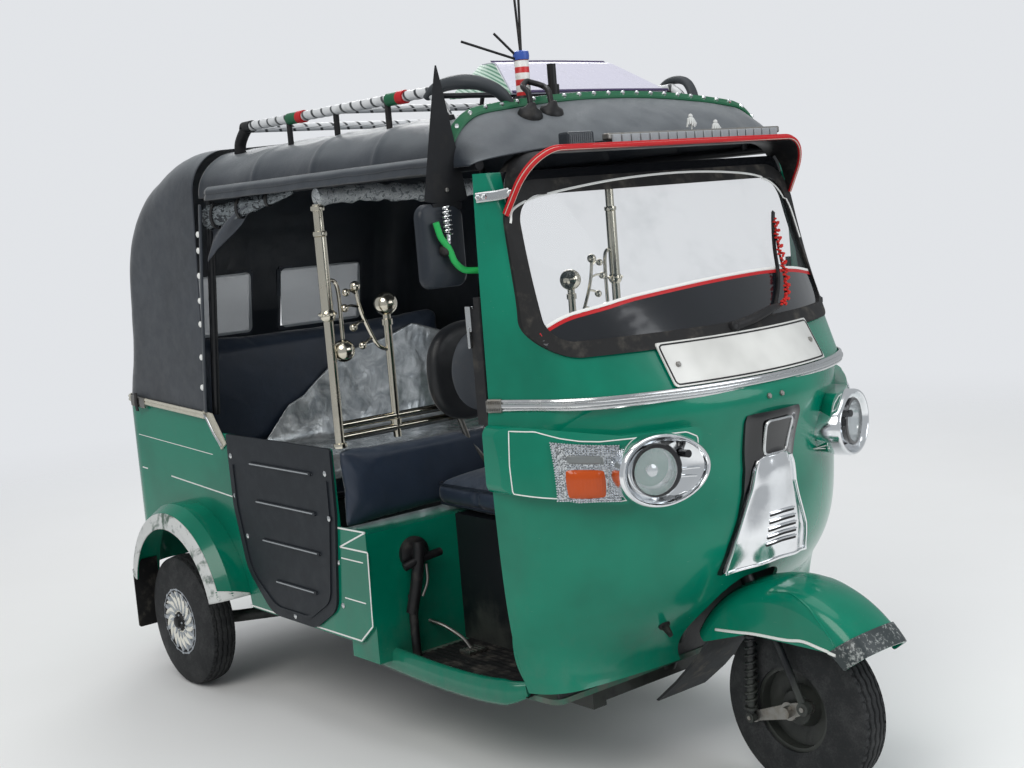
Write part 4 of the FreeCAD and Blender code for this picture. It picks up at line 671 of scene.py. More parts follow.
def lamp_lens(name, colour, alpha, rough=0.06):
    """Moulded lens with fine ribs."""
    finish = Finish(name, {"Base Color": colour, "Roughness": rough, "Alpha": alpha})
    here = finish.here()
    ribs = finish.math("PINGPONG", finish.axes(here)[1] * 160.0, 0.5)
    finish.bump(ribs, 0.8, 0.6)
    finish.material.surface_render_method = "BLENDED"
    return finish.material


def glitter(name):
    """Silver plastic set with small stones: cells of unlike brightness."""
    finish = Finish(name, {"Metallic": 0.6, "Roughness": 0.25})
    here = finish.here()
    node = finish.node("ShaderNodeTexVoronoi", {}, {"Vector": here, "Scale": 380.0})
    shade = finish.axes(finish.take(node, "Color"))[0]
    finish.feed(colour=finish.mix(finish.step(shade, 0.2, 0.9), srgb(112, 116, 118), srgb(214, 218, 220)))
    finish.bump(finish.take(node), 1.2, 0.8)
    return finish.material


def speckled(name):
    """Dark moulding with pale specks and smears."""
    finish = Finish(name, {"Roughness": 0.4})
    here = finish.here()
    speck = finish.noise(here, 120.0, 4.0, 0.7)
    smear = finish.noise(here, 18.0, 5.0, 0.6)
    base = finish.mix(finish.step(speck * 0.6 + smear * 0.4, 0.50, 0.62), srgb(44, 52, 54), srgb(150, 154, 152))
    finish.feed(colour=base)
    finish.bump(speck, 0.4, 0.3)
    return finish.material


def crinkled(name, low, high):
    """Crinkled plastic film over a darker ground: painted highlights along sharp creases and on the fold crests."""
    finish = Finish(name, {"Roughness": 0.2, "Metallic": 0.25})
    here = finish.here()
    fold = finish.noise(finish.scaled(here, (34.0, 60.0, 60.0)), 1.0, 5.0, 0.62, 1.1)
    line = finish.step(finish.math("ABSOLUTE", fold - 0.5), 0.06, 0.0)
    # Painted highlights: the crease lines and the fold crests turn towards the pale colour.
    finish.feed(colour=finish.mix(finish.step(fold, 0.4, 0.66) * 0.5 + line * 0.5, low, high))
    finish.bump(fold, 6.0, 0.9)
    return finish.material


def shiny_cover(name):
    """Silver plastic sheet: crumpled; its colour follows the folds, with painted highlights on the crests and painted
    shade in the hollows.
    """
    finish = Finish(name, {"Metallic": 0.55, "Roughness": 0.24})
    here = finish.here()
    fold = finish.noise(here, 16.0, 5.0, 0.6, 0.8)
    # Painted light and shade: the colour is lighter on the fold crests and darker in the hollows.
    base = finish.mix(finish.step(fold, 0.35, 0.7), srgb(150, 156, 160), srgb(206, 210, 212))
    finish.feed(colour=base)
    finish.bump(fold * 0.7 + finish.noise(here, 60.0, 3.0, 0.5, 0.4) * 0.3, 4.0, 0.6)
    return finish.material


def marbled(name):
    """Pale trim clouded with moss and grey."""
    finish = Finish(name, {"Roughness": 0.4})
    here = finish.here()
    cloud = finish.noise(here, 11.0, 6.0, 0.62, 0.7)
    fine = finish.noise(here, 46.0, 5.0, 0.6, 0.3)
    base = finish.mix(finish.step(cloud * 0.8 + fine * 0.2, 0.50, 0.60), srgb(206, 208, 206), srgb(84, 104, 92))
    base = finish.mix(finish.step(fine, 0.56, 0.70) * 0.8, base, srgb(126, 134, 134))
    finish.feed(colour=base)
    finish.bump(fine, 0.3, 0.3)
    return finish.material


def spiral(name):
    """Tape wound round a rail: pale turns with dark gaps, from the place along it and round it."""
    finish = Finish(name, {"Roughness": 0.34})
    u, v, _ = finish.axes(finish.uv())
    turn = finish.math("FRACT", u * 21.0 + v)
    dark = finish.band(turn, 0.10, 0.30, 0.04)
    cloud = finish.noise(finish.here(), 24.0, 5.0, 0.6)
    base = finish.mix(dark, srgb(206, 208, 210), srgb(44, 48, 52))
    base = finish.mix(finish.step(cloud, 0.5, 0.8) * 0.5, base, srgb(120, 122, 118))
    finish.feed(colour=base)
    finish.bump(turn, 1.2, 0.4)
    return finish.material


def striped(name, first, second, count, lean=0.0):
    """Two colours in level bands, or leaning ones; count is how many bands fill a metre."""
    finish = Finish(name, {"Roughness": 0.36})
    x, y, z = finish.axes(finish.here())
    place = finish.math("FRACT", (z + y * lean + x * lean * 0.5) * count)
    wear = finish.noise(finish.here(), 60.0, 5.0, 0.6)
    base = finish.mix(finish.band(place, 0.02, 0.5, 0.03), second, first)
    base = finish.mix(finish.step(wear, 0.55, 0.8) * 0.35, base, srgb(110, 108, 102))
    finish.feed(colour=base)
    return finish.material


def make_finishes(look):
    """All finishes under plain names: each maker with its colours, 0 to 255, and its values."""
    green = (*look.body_green, 1.0)
    slate = (*look.cloth_slate, 1.0)
    tables = {
        gloss_paint: {
            "green_paint": (green, 0.14), "green_floor": (green, 0.9, 0.2, 0.4),
            "surround_paint": (green, 0.14, 0.3, 0.2, VISOR_SHADE_HEIGHT),
            "black_paint": ((22, 24, 28), 0.25, 0.2, 0.4), "gloss_black": ((14, 15, 18), 0.12, 0.9, 0.12),
            "white_paint": ((226, 226, 222), 0.25, 0.5, 0.25), "window_film": ((20, 24, 30), 0.10, 0.8, 0.14)},
        coated_cloth: {
            "rexine": (slate, (112, 118, 122), 420.0, 0.4), "rexine_old": ((60, 66, 76), (128, 134, 142), 420.0, 0.5),
            "seat_vinyl": ((40, 52, 70), (84, 94, 108), 520.0, 0.36),
            "black_vinyl": ((24, 26, 30), (54, 57, 62), 520.0, 0.36)},
        metal: {
            "chrome": ((208, 210, 211),), "bright_chrome": ((238, 240, 242), 0.07, 0.05, 0.08),
            "old_steel": ((150, 148, 144), 0.36, 0.5, 0.6), "alloy": ((160, 160, 160), 0.42, 0.2, 0.7),
            "pole_gold": ((214, 208, 192), 0.12, 0.1, 0.2), "stones": ((226, 230, 236), 0.12, 0.0, 0.0),
            "mirror_glass": ((196, 204, 210), 0.03, 0.0, 0.1)},
        moulding: {
            "black_plastic": ((24, 24, 26),), "grey_plastic": ((84, 88, 94), 0.42),
            "dark_grey_plastic": ((38, 43, 50), 0.4, 0.25, 0.08), "silver_plastic": ((158, 164, 170), 0.32, 0.2),
            "blue_plastic": ((60, 90, 170), 0.3, 0.1, 0.1), "dull_black": ((16, 18, 22), 0.6, 0.2, 0.08),
            "guard_slate": ((30, 35, 41), 0.5, 0.1, 0.06), "lilac_board": ((206, 204, 218), 0.24, 0.1, 0.15),
            "rubber": ((24, 24, 25), 0.6, 0.5, 0.4), "flap_rubber": ((52, 54, 56), 0.66, 0.5, 0.6),
            "white_wrap": ((196, 198, 200), 0.36, 0.2, 0.3), "green_wrap": ((36, 168, 84), 0.35, 0.2, 0.1),
            "green_tape": ((20, 92, 60), 0.4, 0.2, 0.15), "hump_cloth": ((58, 62, 66), 0.5, 0.3, 0.2),
            "white_line": ((232, 233, 230), 0.4, 0.1, 0.1), "grey_line": ((150, 154, 158), 0.4, 0.1, 0.1),
            "red_trim": ((186, 24, 30), 0.4, 0.1, 0.1), "cream_trim": ((196, 192, 178), 0.3, 0.2, 0.3),
            "purple_trim": ((58, 44, 84), 0.4, 0.1, 0.1), "red_flowers": ((196, 40, 34), 0.6, 0.2, 0.1),
            "white_petals": ((232, 230, 220), 0.34, 0.1, 0.1), "seat_piping": ((34, 40, 50), 0.4, 0.2, 0.2),
            "silver_thread": ((206, 208, 206), 0.3, 0.2, 0.1)},
        lamp_lens: {
            "clear_lens": ((214, 220, 222), 0.26), "amber_lens": ((190, 74, 6), 0.96, 0.12),
            "red_lens": ((150, 34, 20), 0.95, 0.2), "side_lens": ((120, 124, 124), 0.92, 0.08),
            "dark_lens": ((40, 46, 52), 0.9, 0.08), "led_cells": ((168, 174, 178), 0.85, 0.1)},
        clear_glass: {
            # Rear panes: pale and half opaque, a painted reflection on the panes.
            "windscreen_glass": ((120, 134, 136), 0.07), "pane_film": ((206, 212, 216), 0.62, 0.2)},
        crinkled: {
            "crinkled_film": ((120, 126, 130), (230, 234, 236)), "crinkled_dark": ((30, 36, 42), (150, 158, 162))},
        striped: {
            "mast_stripes": ((196, 34, 36), (226, 226, 222), 34.0),
            "hatched_green": ((26, 104, 74), (150, 176, 160), 60.0, 1.0)},
        tyre_rubber: {"tyre_rubber": ()}, glitter: {"glitter": ()}, speckled: {"dark_tip": ()},
        shiny_cover: {"bench_cover": ()}, marbled: {"marbled_trim": ()}, spiral: {"spiral_wrap": ()},
    }
    for maker, table in tables.items():
        for name, values in table.items():
            turned = [srgb(*v) if isinstance(v, tuple) and len(v) == 3 else v for v in values]
            FINISHES[name] = maker(name, *turned)


FRAME_FINISHES = {
    "green_paint": "front_cowl lamp_pods side_panels rear_panel engine_hatch rear_fenders seat_box front_fender",
    "green_floor": "driver_floor", "surround_paint": "windscreen_surround", "white_paint": "number_plate",
    "black_paint": "chassis_frame cabin_floor roof_frame seat_pedestal rear_arms front_fork spring_damper front_rim "
                   "rear_bumper",
    "gloss_black": "nose_panel", "black_vinyl": "apron", "rexine": "roof_canopy rear_canopy",
    "seat_vinyl": "driver_seat partition_panel passenger_bench", "chrome": "belt_strip nose_shield lamp_bezels",
    "black_plastic": "visor handlebar antenna", "grey_plastic": "mirror", "guard_slate": "side_guard",
    "silver_plastic": "rear_rim_right rear_rim_left", "rubber": "windscreen_seal rear_mudflaps",
    "flap_rubber": "front_mudflap", "tyre_rubber": "front_tyre rear_tyre_right rear_tyre_left",
    "old_steel": "suspension_link lamp_bar", "alloy": "engine_block", "pole_gold": "partition_posts",
    "white_wrap": "roof_rack", "dark_tip": "fender_tip", "clear_lens": "headlamps", "amber_lens": "indicators",
    "red_lens": "tail_lamps", "windscreen_glass": "windscreen_glass", "pane_film": "rear_panes",
}
NODE_FINISH = {node: finish for finish, nodes in FRAME_FINISHES.items() for node in nodes.split()}


# Pieces


class LookSettings(bpy.types.PropertyGroup):
    """Sizes and colours of the dressed vehicle."""

    body_green: bpy.props.FloatVectorProperty(
        name="Body green", description="Colour of the painted steel", subtype="COLOR", size=3,
        min=0, max=1, default=srgb(0, 124, 98)[:3])
    cloth_slate: bpy.props.FloatVectorProperty(
        name="Canopy cloth", description="Colour of the canopy's coated cloth", subtype="COLOR", size=3,
        min=0, max=1, default=srgb(38, 45, 54)[:3])
    tread_depth: bpy.props.FloatProperty(
        name="Tread depth", description="Depth of the tyre's grooves", default=0.006, min=0.001, max=0.01,
        unit="LENGTH")
    floor_grey: bpy.props.FloatProperty(
        name="Floor", description="How pale the studio floor is", default=0.86, min=0, max=1, subtype="FACTOR")


class RICKSHAW_OT_finishes(bpy.types.Operator):
    """Make every finish and lay it on the frame's parts"""

    bl_idname = "rickshaw.finishes"
    bl_label = "Finishes"

    def execute(self, context):
        make_finishes(context.scene.rickshaw_look)
        for name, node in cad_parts.items():
            finish = FINISHES[NODE_FINISH[name]]
            if node.material_slots:
                for slot in node.material_slots:
                    slot.material = finish
            else:
                node.data.materials.append(finish)
        return {"FINISHED"}


class RICKSHAW_OT_camera(bpy.types.Operator):
    """Set the camera at the photograph's viewpoint"""

    bl_idname = "rickshaw.camera"
    bl_label = "Camera"

    def execute(self, context):
        yaw, pitch, roll = (math.radians(a) for a in CAMERA_ANGLES)
        ahead = Vector((math.cos(yaw) * math.cos(pitch), math.sin(yaw) * math.cos(pitch), math.sin(pitch)))
        right = Vector((math.sin(yaw), -math.cos(yaw), 0))
        above = right.cross(ahead)
        side = math.cos(roll) * right + math.sin(roll) * above
        top = -math.sin(roll) * right + math.cos(roll) * above
        turn = Matrix((side, top, -ahead)).transposed().to_4x4()
        data = bpy.data.cameras.new("camera")
        data.lens = CAMERA_LENS
        data.sensor_width = SENSOR_WIDTH
        data.clip_end = 400.0
        camera = bpy.data.objects.new("camera", data)
        context.scene.collection.objects.link(camera)
        camera.matrix_world = Matrix.Translation(Vector(placed(CAMERA_PLACE))) @ turn
        context.scene.camera = camera
        return {"FINISHED"}


class RICKSHAW_OT_stage(bpy.types.Operator):
    """Lay the floor and hang the studio lamps"""

    bl_idname = "rickshaw.stage"
    bl_label = "Stage"

    def execute(self, context):
        look = context.scene.rickshaw_look
        view = context.scene.view_settings
        view.view_transform = "Standard"
        radius = np.array([0.001, 2.0, 6.0, 20.0, 90.0])
        angle = around(48)
        grid = spread(radius[:, None] * np.cos(angle), radius[:, None] * np.sin(angle), -0.0005)
        points, faces = grid_shape(grid, False, True)
        mesh = bpy.data.meshes.new("studio_floor")
        mesh.from_pydata(points, [], faces)
        floor = bpy.data.objects.new("studio_floor", mesh)
        context.scene.collection.objects.link(floor)
        ground = Finish("studio_floor", {"Roughness": 0.9, "Specular IOR Level": 0.1})
        here = ground.here()
        grey = look.floor_grey
        tone = ground.mix(ground.noise(here, 1.5, 4.0), (grey, grey, grey, 1),
                          (grey * 0.96, grey * 0.96, grey * 0.95, 1))
        ground.feed(colour=tone)
        x, y, _ = ground.axes(here)
        away = ground.math("SQRT", x * x + y * y)
        clear = ground.take(ground.node("ShaderNodeBsdfTransparent", {}, {}))
        fade = ground.node("ShaderNodeMixShader", {},
                           {0: ground.step(away, *FLOOR_FADE), 1: ground.take(ground.shader), 2: clear})
        ground.tree.links.new(fade.outputs[0], ground.out.inputs[0])
        mesh.materials.append(ground.material)
        if mesh.polygons[0].normal.z < 0:
            mesh.flip_normals()

        world = bpy.data.worlds.new("studio")
        context.scene.world = world
        world.use_nodes = True
        tree = world.node_tree
        tree.nodes.clear()
        rays, pale, soft, seen, blend, out = [tree.nodes.new("ShaderNode" + kind) for kind in (
            "LightPath", "Background", "Background", "Math", "MixShader", "OutputWorld")]
        for sky, colour, strength in ((pale, (0.80, 0.82, 0.85, 1), 0.95), (soft, (0.92, 0.96, 1.0, 1), 0.46)):
            sky.inputs["Color"].default_value = colour
            sky.inputs["Strength"].default_value = strength
        seen.operation = "MAXIMUM"
        for start, end in ((rays.outputs["Is Camera Ray"], seen.inputs[0]),
                           (rays.outputs["Is Transmission Ray"], seen.inputs[1]),
                           (seen.outputs[0], blend.inputs[0]), (soft.outputs[0], blend.inputs[1]),
                           (pale.outputs[0], blend.inputs[2]), (blend.outputs[0], out.inputs[0])):
            tree.links.new(start, end)

        lamps = [
            ("key", (2.2, -4.6, 5.2), 4.0, 165.0, (1.0, 0.98, 0.94)),
            ("fill", (5.2, 1.6, 3.0), 4.0, 90.0, (0.94, 0.97, 1.0)),
            ("rear", (-4.6, 3.4, 5.0), 4.0, 130.0, (1.0, 1.0, 1.0)),
            ("above", (0.0, 0.0, 6.0), 5.0, 90.0, (1.0, 1.0, 1.0)),
        ]
        for name, place, width, power, colour in lamps:
            data = bpy.data.lights.new(name, "AREA")
            data.shape = "DISK"
            data.size = width
            data.energy = power
            data.color = colour
            lamp = bpy.data.objects.new(name, data)
            context.scene.collection.objects.link(lamp)
            lamp.location = place
            aim = Vector(LAMP_AIM) - Vector(place)
            lamp.rotation_euler = aim.to_track_quat("-Z", "Y").to_euler()
        return {"FINISHED"}


def tyre_surface(centre, depth):
    """Tyre skin: a rounded section turned about the axle; four grooves circle the tread and fine cross
    cuts run out to the shoulders. Distance from the axle is a function of place across and angle round."""
    across = np.concatenate([
        np.linspace(-1, -0.62, 16), np.linspace(-TREAD_SHARE, TREAD_SHARE, 73), np.linspace(0.62, 1, 16)])
    angle = around(240)
    t, a = np.meshgrid(across, angle, indexing="ij")
    tread = np.abs(t) < TREAD_SHARE
    side = np.clip((np.abs(t) - TREAD_SHARE) / (1 - TREAD_SHARE), 0, 1)
    tread_y = t / TREAD_SHARE * TREAD_HALF
    crown = HUB_HEIGHT - (tread_y / TREAD_HALF) ** 2 * 5.0
    shoulder_y = TREAD_HALF + 13.0 * np.sin(side * math.pi * 0.62)
    shoulder_r = HUB_HEIGHT - 5.0 - (HUB_HEIGHT - 5.0 - TYRE_BEAD) * side ** 1.35
    y = np.where(tread, tread_y, np.sign(t) * shoulder_y)
    r = np.where(tread, crown, shoulder_r)
    for groove in GROOVES:
        wander = groove + 1.6 * np.sin(a * 36)
        r -= depth * np.clip(1.0 - np.abs(tread_y - wander) / 2.6, 0, 1) ** 0.5 * tread
    cuts = (np.sin(a * 60) > 0.72) & (np.abs(tread_y) > 28) & tread
    r -= depth * 0.6 * cuts
    return spread(centre[0] + r * np.sin(a), centre[1] + y, centre[2] + r * np.cos(a))


class RICKSHAW_OT_tyres(bpy.types.Operator):
    """Make the three tyres with their grooves"""

    bl_idname = "rickshaw.tyres"
    bl_label = "Tyres"

    def execute(self, context):
        depth = context.scene.rickshaw_look.tread_depth * 1000
        places = [
            ("front_tyre", (0.0, 0.0, HUB_HEIGHT), "front_wheel"),
            ("rear_tyre_right", (-WHEEL_BASE, -REAR_TRACK, HUB_HEIGHT), "rear_wheel_right"),
            ("rear_tyre_left", (-WHEEL_BASE, REAR_TRACK, HUB_HEIGHT), "rear_wheel_left"),
        ]
        for node, centre, body in places:
            outer = tyre_surface(np.array(centre), depth)
            middle = (outer[0] + outer[-1]) / 2
            grid = np.concatenate([outer, outer[-1:] * 0.999 + middle[None] * 0.001])
            shape = grid_shape(grid, True, True)
            tyre = piece(node + "_tread", shape, "tyre_rubber", body, smooth=50)
            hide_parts(node)
        return {"FINISHED"}


# Cloth


def ripple(points, size, amount, seed):
    """Smooth uneven field for creases and sag: a sum of sine waves in seeded directions."""
    random = np.random.default_rng(seed)
    waves = random.normal(size=(18, 3)) / size
    phase = random.uniform(0, 2 * math.pi, 18)
    weight = random.uniform(0.4, 1.0, 18)
    return np.sin(points @ waves.T * 2.2 + phase) @ weight / weight.sum() * 2.2 * amount


def normals_away(grid, centre):
    """Unit normal at each point of a grid, turned away from a centre."""
    normal = np.cross(np.gradient(grid, axis=0), np.gradient(grid, axis=1))
    normal /= np.maximum(np.linalg.norm(normal, axis=2, keepdims=True), 1e-9)
    side = ((grid - np.asarray(centre, float)) * normal).sum(-1, keepdims=True)
    return normal * np.where(side < 0, -1.0, 1.0)


ROOF_HALF = 538.0
ROOF_CORNER = 125.0
ROOF_CAMBER = 3200.0
ROOF_CROWN = 1675.0
ROOF_EDGE = 1518.0
ROOF_FRONT = -500.0
ROOF_SEAM = -1712.0
HOOPS = (-505.0, -800.0, -1090.0, -1395.0, -1705.0)


def roof_section(count, low=ROOF_EDGE):
    """Arch of the roof across the vehicle at equal steps: upright edge, corner arc, flat crown."""
    centre = ROOF_CROWN - ROOF_CAMBER
    corner_y = ROOF_HALF - ROOF_CORNER
    corner_z = centre + math.sqrt((ROOF_CAMBER - ROOF_CORNER) ** 2 - corner_y ** 2)
    lean = math.atan2(corner_y, corner_z - centre)
    top = np.linspace(0, lean, 40)
    turn = np.linspace(lean, math.pi / 2, 24)[1:]
    y = np.concatenate([ROOF_CAMBER * np.sin(top), corner_y + ROOF_CORNER * np.sin(turn), [ROOF_HALF]])
    z = np.concatenate([centre + ROOF_CAMBER * np.cos(top), corner_z + ROOF_CORNER * np.cos(turn), [low]])
    side = np.stack([y, z], 1)
    return resampled(np.concatenate([side[::-1] * [-1, 1], side[1:]]), count)


def roof_surface(rows=150, columns=116):
    """Roof cloth: the arch carried back from the front hoop to the seam. It sags between the hoops,
    rises in a thin ridge over each, and is creased by the uneven field and by slanting tucks."""
    arch = roof_section(columns)
    x = np.linspace(ROOF_FRONT, ROOF_SEAM + 1, rows)
    grid = spread(x[:, None], *arch.T)
    normal = normals_away(grid, (-1100, 0, 900))
    gaps = np.abs(x[:, None] - np.array(HOOPS)[None, :]).min(1)
    sag = -9.0 * np.sin(np.clip(gaps / 150.0, 0, 1) * math.pi / 2) ** 1.5
    ridge = 3.0 * np.exp(-(gaps / 11.0) ** 2)
    across = np.abs(np.linspace(-1, 1, columns))[None, :]
    middle = np.clip((1 - across) / 0.25, 0, 1)
    slant = (grid[..., 0] * 0.6 + np.abs(grid[..., 1])) / 26.0
    tucks = np.sin(slant) * np.exp(-((across - 0.74) / 0.10) ** 2)
    height = (sag[:, None] * (0.35 + 0.65 * middle) + ridge[:, None] + ripple(grid, 130.0, 2.4, 4)
              + ripple(grid, 46.0, 1.0, 9) + tucks * 1.6 - 2.0)
    return grid + normal * height[..., None]


BROW_EDGE = np.array([
    (-422, -536, 1520), (-404, -520, 1528), (-382, -479, 1535), (-362, -380, 1545), (-344, -280, 1551),
    (-334, -140, 1557), (-332, 0, 1559), (-334, 140, 1557), (-344, 280, 1551), (-362, 380, 1545),
    (-382, 479, 1535), (-404, 520, 1528), (-422, 536, 1520)], float)


def brow_surface(rows=44, columns=140):
    """Cloth that slopes from the roof's front arch to a lower line round the visor: straight rulings
    between the two lines, bulged upwards and creased."""
    arch = roof_section(columns)
    top = spread(ROOF_FRONT, *arch.T)
    foot = resampled(curve_through(BROW_EDGE, 300), columns)
    s = np.linspace(0, 1, rows)[:, None, None]
    grid = top[None] * (1 - s) + foot[None] * s
    normal = normals_away(grid, (-470, 0, 1400))
    fall = np.sin(np.linspace(0, 1, rows) * math.pi)[:, None]
    edge = np.clip((1 - np.abs(np.linspace(-1, 1, columns))) / 0.12, 0, 1)[None, :]
    height = fall * edge * (9.0 + ripple(grid, 70.0, 2.4, 21)) + ripple(grid, 34.0, 0.6, 22) * fall
    return grid + normal * height[..., None]


PIVOT = np.array([-1786.0, 868.0])
HOOD_PROFILE = np.array([
    (-1712, 1673), (-1800, 1669), (-1875, 1660), (-1950, 1645), (-2019, 1624), (-2085, 1597), (-2140, 1566),
    (-2202, 1517), (-2256, 1450), (-2292, 1370), (-2316, 1250), (-2340, 1130), (-2362, 1040), (-2388, 965),
    (-2408, 894)], float)
HOOD_HALF = 552.0
HOOD_BACK, HOOD_CORNER = 0.5, 0.68
HOOD_BENDS = 118.0
PANE_HEIGHTS = (1060.0, 1270.0)
PANE_EDGES = (60.0, 395.0)


def hood_reach(heights):
    """Place along the vehicle of the hood's side profile at given heights."""
    return np.interp(heights, HOOD_PROFILE[::-1, 1], HOOD_PROFILE[::-1, 0])


def bow_angles(points):
    """Angle about the hood's pivot of points given as (x, z)."""
    offset = np.atleast_2d(points) - PIVOT
    return np.arctan2(offset[:, 1], -offset[:, 0])


def hood_surface(places, across):
    """Hood cloth as a fan of bows about a line at the waist. A bow's angle picks how far out it reaches on
    the side profile; along it, the place from -1 to 1 runs up one side, round a corner of constant
    radius, over a slightly cambered back and down the other side. The cloth puffs between the bows."""
    profile = resampled(curve_through(HOOD_PROFILE, 160), 500)
    angle = bow_angles(profile)
    reach = np.linalg.norm(profile - PIVOT, axis=1)
    order = np.argsort(angle)
    length = np.interp(places, angle[order], reach[order])[:, None]
    u = np.abs(across)[None, :]
    flat_half = HOOD_HALF - HOOD_BENDS
    phi = np.clip((u - HOOD_BACK) / 0.18, 0, 1) * math.pi / 2
    y = np.where(u < HOOD_BACK, u / HOOD_BACK * flat_half, flat_half + HOOD_BENDS * np.sin(phi))
    camber = 14.0 * (1 - np.clip(y / flat_half, 0, 1) ** 2)
    over = length - 14.0 + camber - HOOD_BENDS * (1 - np.cos(phi))
    side = (length - 14.0 - HOOD_BENDS) * (1 - np.clip((u - HOOD_CORNER) / 0.32, 0, 1))
    r = np.where(u < HOOD_CORNER, over, side)
    grid = spread(PIVOT[0] - r * np.cos(places)[:, None], np.sign(across)[None, :] * y,
                  PIVOT[1] + r * np.sin(places)[:, None])
    normal = normals_away(grid, (-1950, 0, 1100))
    bows = np.linspace(places.max(), places.min(), 5)
    gaps = np.abs(places[:, None] - bows[None, :]).min(1) / abs(bows[1] - bows[0]) * 2
    puff = np.sin(np.clip(gaps, 0, 1) * math.pi / 2)[:, None]
    side = np.clip((u - 0.52) / 0.16, 0, 1)
    puff = puff * (1 - side * side * (3 - 2 * side) * 0.94)
    far = np.clip(r / 300.0, 0, 1) * (1 - 0.7 * side)
    height = puff * far * 7.0 + ripple(grid, 150.0, 2.2, 31) * far + ripple(grid, 50.0, 0.7, 32) * far - 2.0
    return grid + normal * height[..., None]


def without(shape, drop):
    """A shape less the faces whose centre answers a test on (x, y, z)."""
    points, faces = shape
    quads = np.array([f for f in faces if len(f) == 4])
    middle = points[quads].mean(1)
    return points, quads[~drop(middle)].tolist()


def cloth_sheet(obj):
    """Reads the area of each face of a sheet before it gets its wall; the areas are not kept."""
    areas = np.empty(len(obj.data.polygons))
    obj.data.polygons.foreach_get("area", areas)


class RICKSHAW_OT_canopy(bpy.types.Operator):
    """Drape the roof, its sloping brow and the rear hood"""

    bl_idname = "rickshaw.canopy"
    bl_label = "Canopy"

    def execute(self, context):
        over = roof_surface()
        roof = piece("roof_cloth", grid_shape(over), "rexine", smooth=180)
        cloth_sheet(roof)
        thickened(roof, CANOPY_WALL)
        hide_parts("roof_canopy")
        slope = brow_surface()
        brow = piece("brow_cloth", grid_shape(slope), "rexine", smooth=180)
        cloth_sheet(brow)
        thickened(brow, CANOPY_WALL)

        front = bow_angles([(-1712, 1673)])[0]
        last = bow_angles([(-2408, 890)])[0]
        rows = np.linspace(front, last, 150)
        low, top = [bow_angles([(hood_reach(z), z)])[0] for z in PANE_HEIGHTS]
        apart = (np.abs(rows - top) > 0.004) & (np.abs(rows - low) > 0.004)
        rows = np.sort(np.concatenate([rows[apart], [top, low]]))[::-1]
        flat_half = HOOD_HALF - HOOD_BENDS
        marks = np.array(PANE_EDGES) / flat_half * 0.5
        half = np.concatenate([np.linspace(0.012, 0.5, 44), np.linspace(0.51, 0.68, 16), np.linspace(0.70, 1, 40)])
        half = np.sort(np.concatenate([half[np.abs(half[:, None] - marks).min(1) > 0.004], marks]))
        across = np.concatenate([-half[::-1], [0.0], half])
        grid = hood_surface(rows, across)

        def in_pane(c):
            """Whether face centres lie in the two window openings."""
            away = np.abs(c[:, 1])
            high = (c[:, 2] > PANE_HEIGHTS[0] + 4) & (c[:, 2] < PANE_HEIGHTS[1] - 2)
            return (c[:, 0] < -2250) & high & (away > PANE_EDGES[0]) & (away < PANE_EDGES[1])

        hood = piece("hood_cloth", without(grid_shape(grid), in_pane), "rexine", smooth=180)
        cloth_sheet(hood)
        thickened(hood, CANOPY_WALL)
        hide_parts("rear_canopy")
        return {"FINISHED"}


# Front


GLASS = ("windscreen_glass",)
COWL = ("front_cowl", "windscreen_surround", "lamp_pods")


def cowl_belt(half=548.0, front=-50.0, wide=800.0, corner=240.0, toe=22.0, door=-408.0):
    """Cowl's outline from above at the belt: straight side, corner arc, wide front arc and back again. The
    corner's centre lies where it touches both the side line and the front arc."""
    slope = math.tan(math.radians(toe))
    centre_x = front - wide
    reach = wide - corner
    offset = half + door * slope - corner / math.cos(math.radians(toe))
    b = centre_x + offset * slope
    corner_x = (b + math.sqrt(b * b - (1 + slope * slope) * (centre_x ** 2 + offset ** 2 - reach ** 2)))
    corner_x /= 1 + slope * slope
    corner_y = offset - corner_x * slope
    lean = math.atan2(corner_y, corner_x - centre_x)
    turn = np.linspace(math.pi / 2 - math.radians(toe), lean, 14)
    nose = np.linspace(lean, 0, 30)[1:]
    side = np.concatenate([
        [[door, half]],
        np.stack([corner_x + corner * np.cos(turn), corner_y + corner * np.sin(turn)], 1),
        np.stack([centre_x + wide * np.cos(nose), wide * np.sin(nose)], 1)])
    return resampled(np.concatenate([side * [1, -1], side[-2::-1]]), 160)


BELT_HEIGHT = 979.0
BELT_PROFILE = [
    (-14, -0.4), (14, -0.4), (14, 4), (11, 6.5), (8.5, 7), (7.6, 5.6), (6.4, 5.6), (4, 9.2), (0, 10),
    (-4, 9.2), (-6.4, 5.6), (-7.6, 5.6), (-8.5, 7), (-11, 6.5), (-14, 4)]


def outward_level(line):
    """Level unit vectors square to a line that runs from the right round the front to the left."""
    tangent = directions(line)
    out = np.stack([tangent[:, 1], -tangent[:, 0], np.zeros(len(line))], 1)
    return unit(out)


class RICKSHAW_OT_belt(bpy.types.Operator):
    """Run the ribbed chrome belt round the cowl and fix its end caps"""

    bl_idname = "rickshaw.belt"
    bl_label = "Belt"

    def execute(self, context):
        line = on_plane(cowl_belt(), 2, BELT_HEIGHT)
        out = outward_level(line)
        belt = piece("belt_trim", carried(line, BELT_PROFILE, out), "chrome")
        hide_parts("belt_strip")
        caps = []
        for end in (line[:5], line[-5:]):
            profile = np.array(BELT_PROFILE) * [1.1, 1.0] + [0, 1.6]
            profile[:2, 1] = -0.4
            caps.append(carried(end, profile, outward_level(end)))
            ribs = resampled(end, 9)
            for rib, normal in zip(ribs, outward_level(ribs)):
                ends = np.array([rib - [0, 0, 13], rib, rib + [0, 0, 13]]) + normal * 10.5
                caps.append(pipe(ends, 1.3, 6, up=normal))
        piece("belt_end_caps", joined(caps), "old_steel")
        return {"FINISHED"}


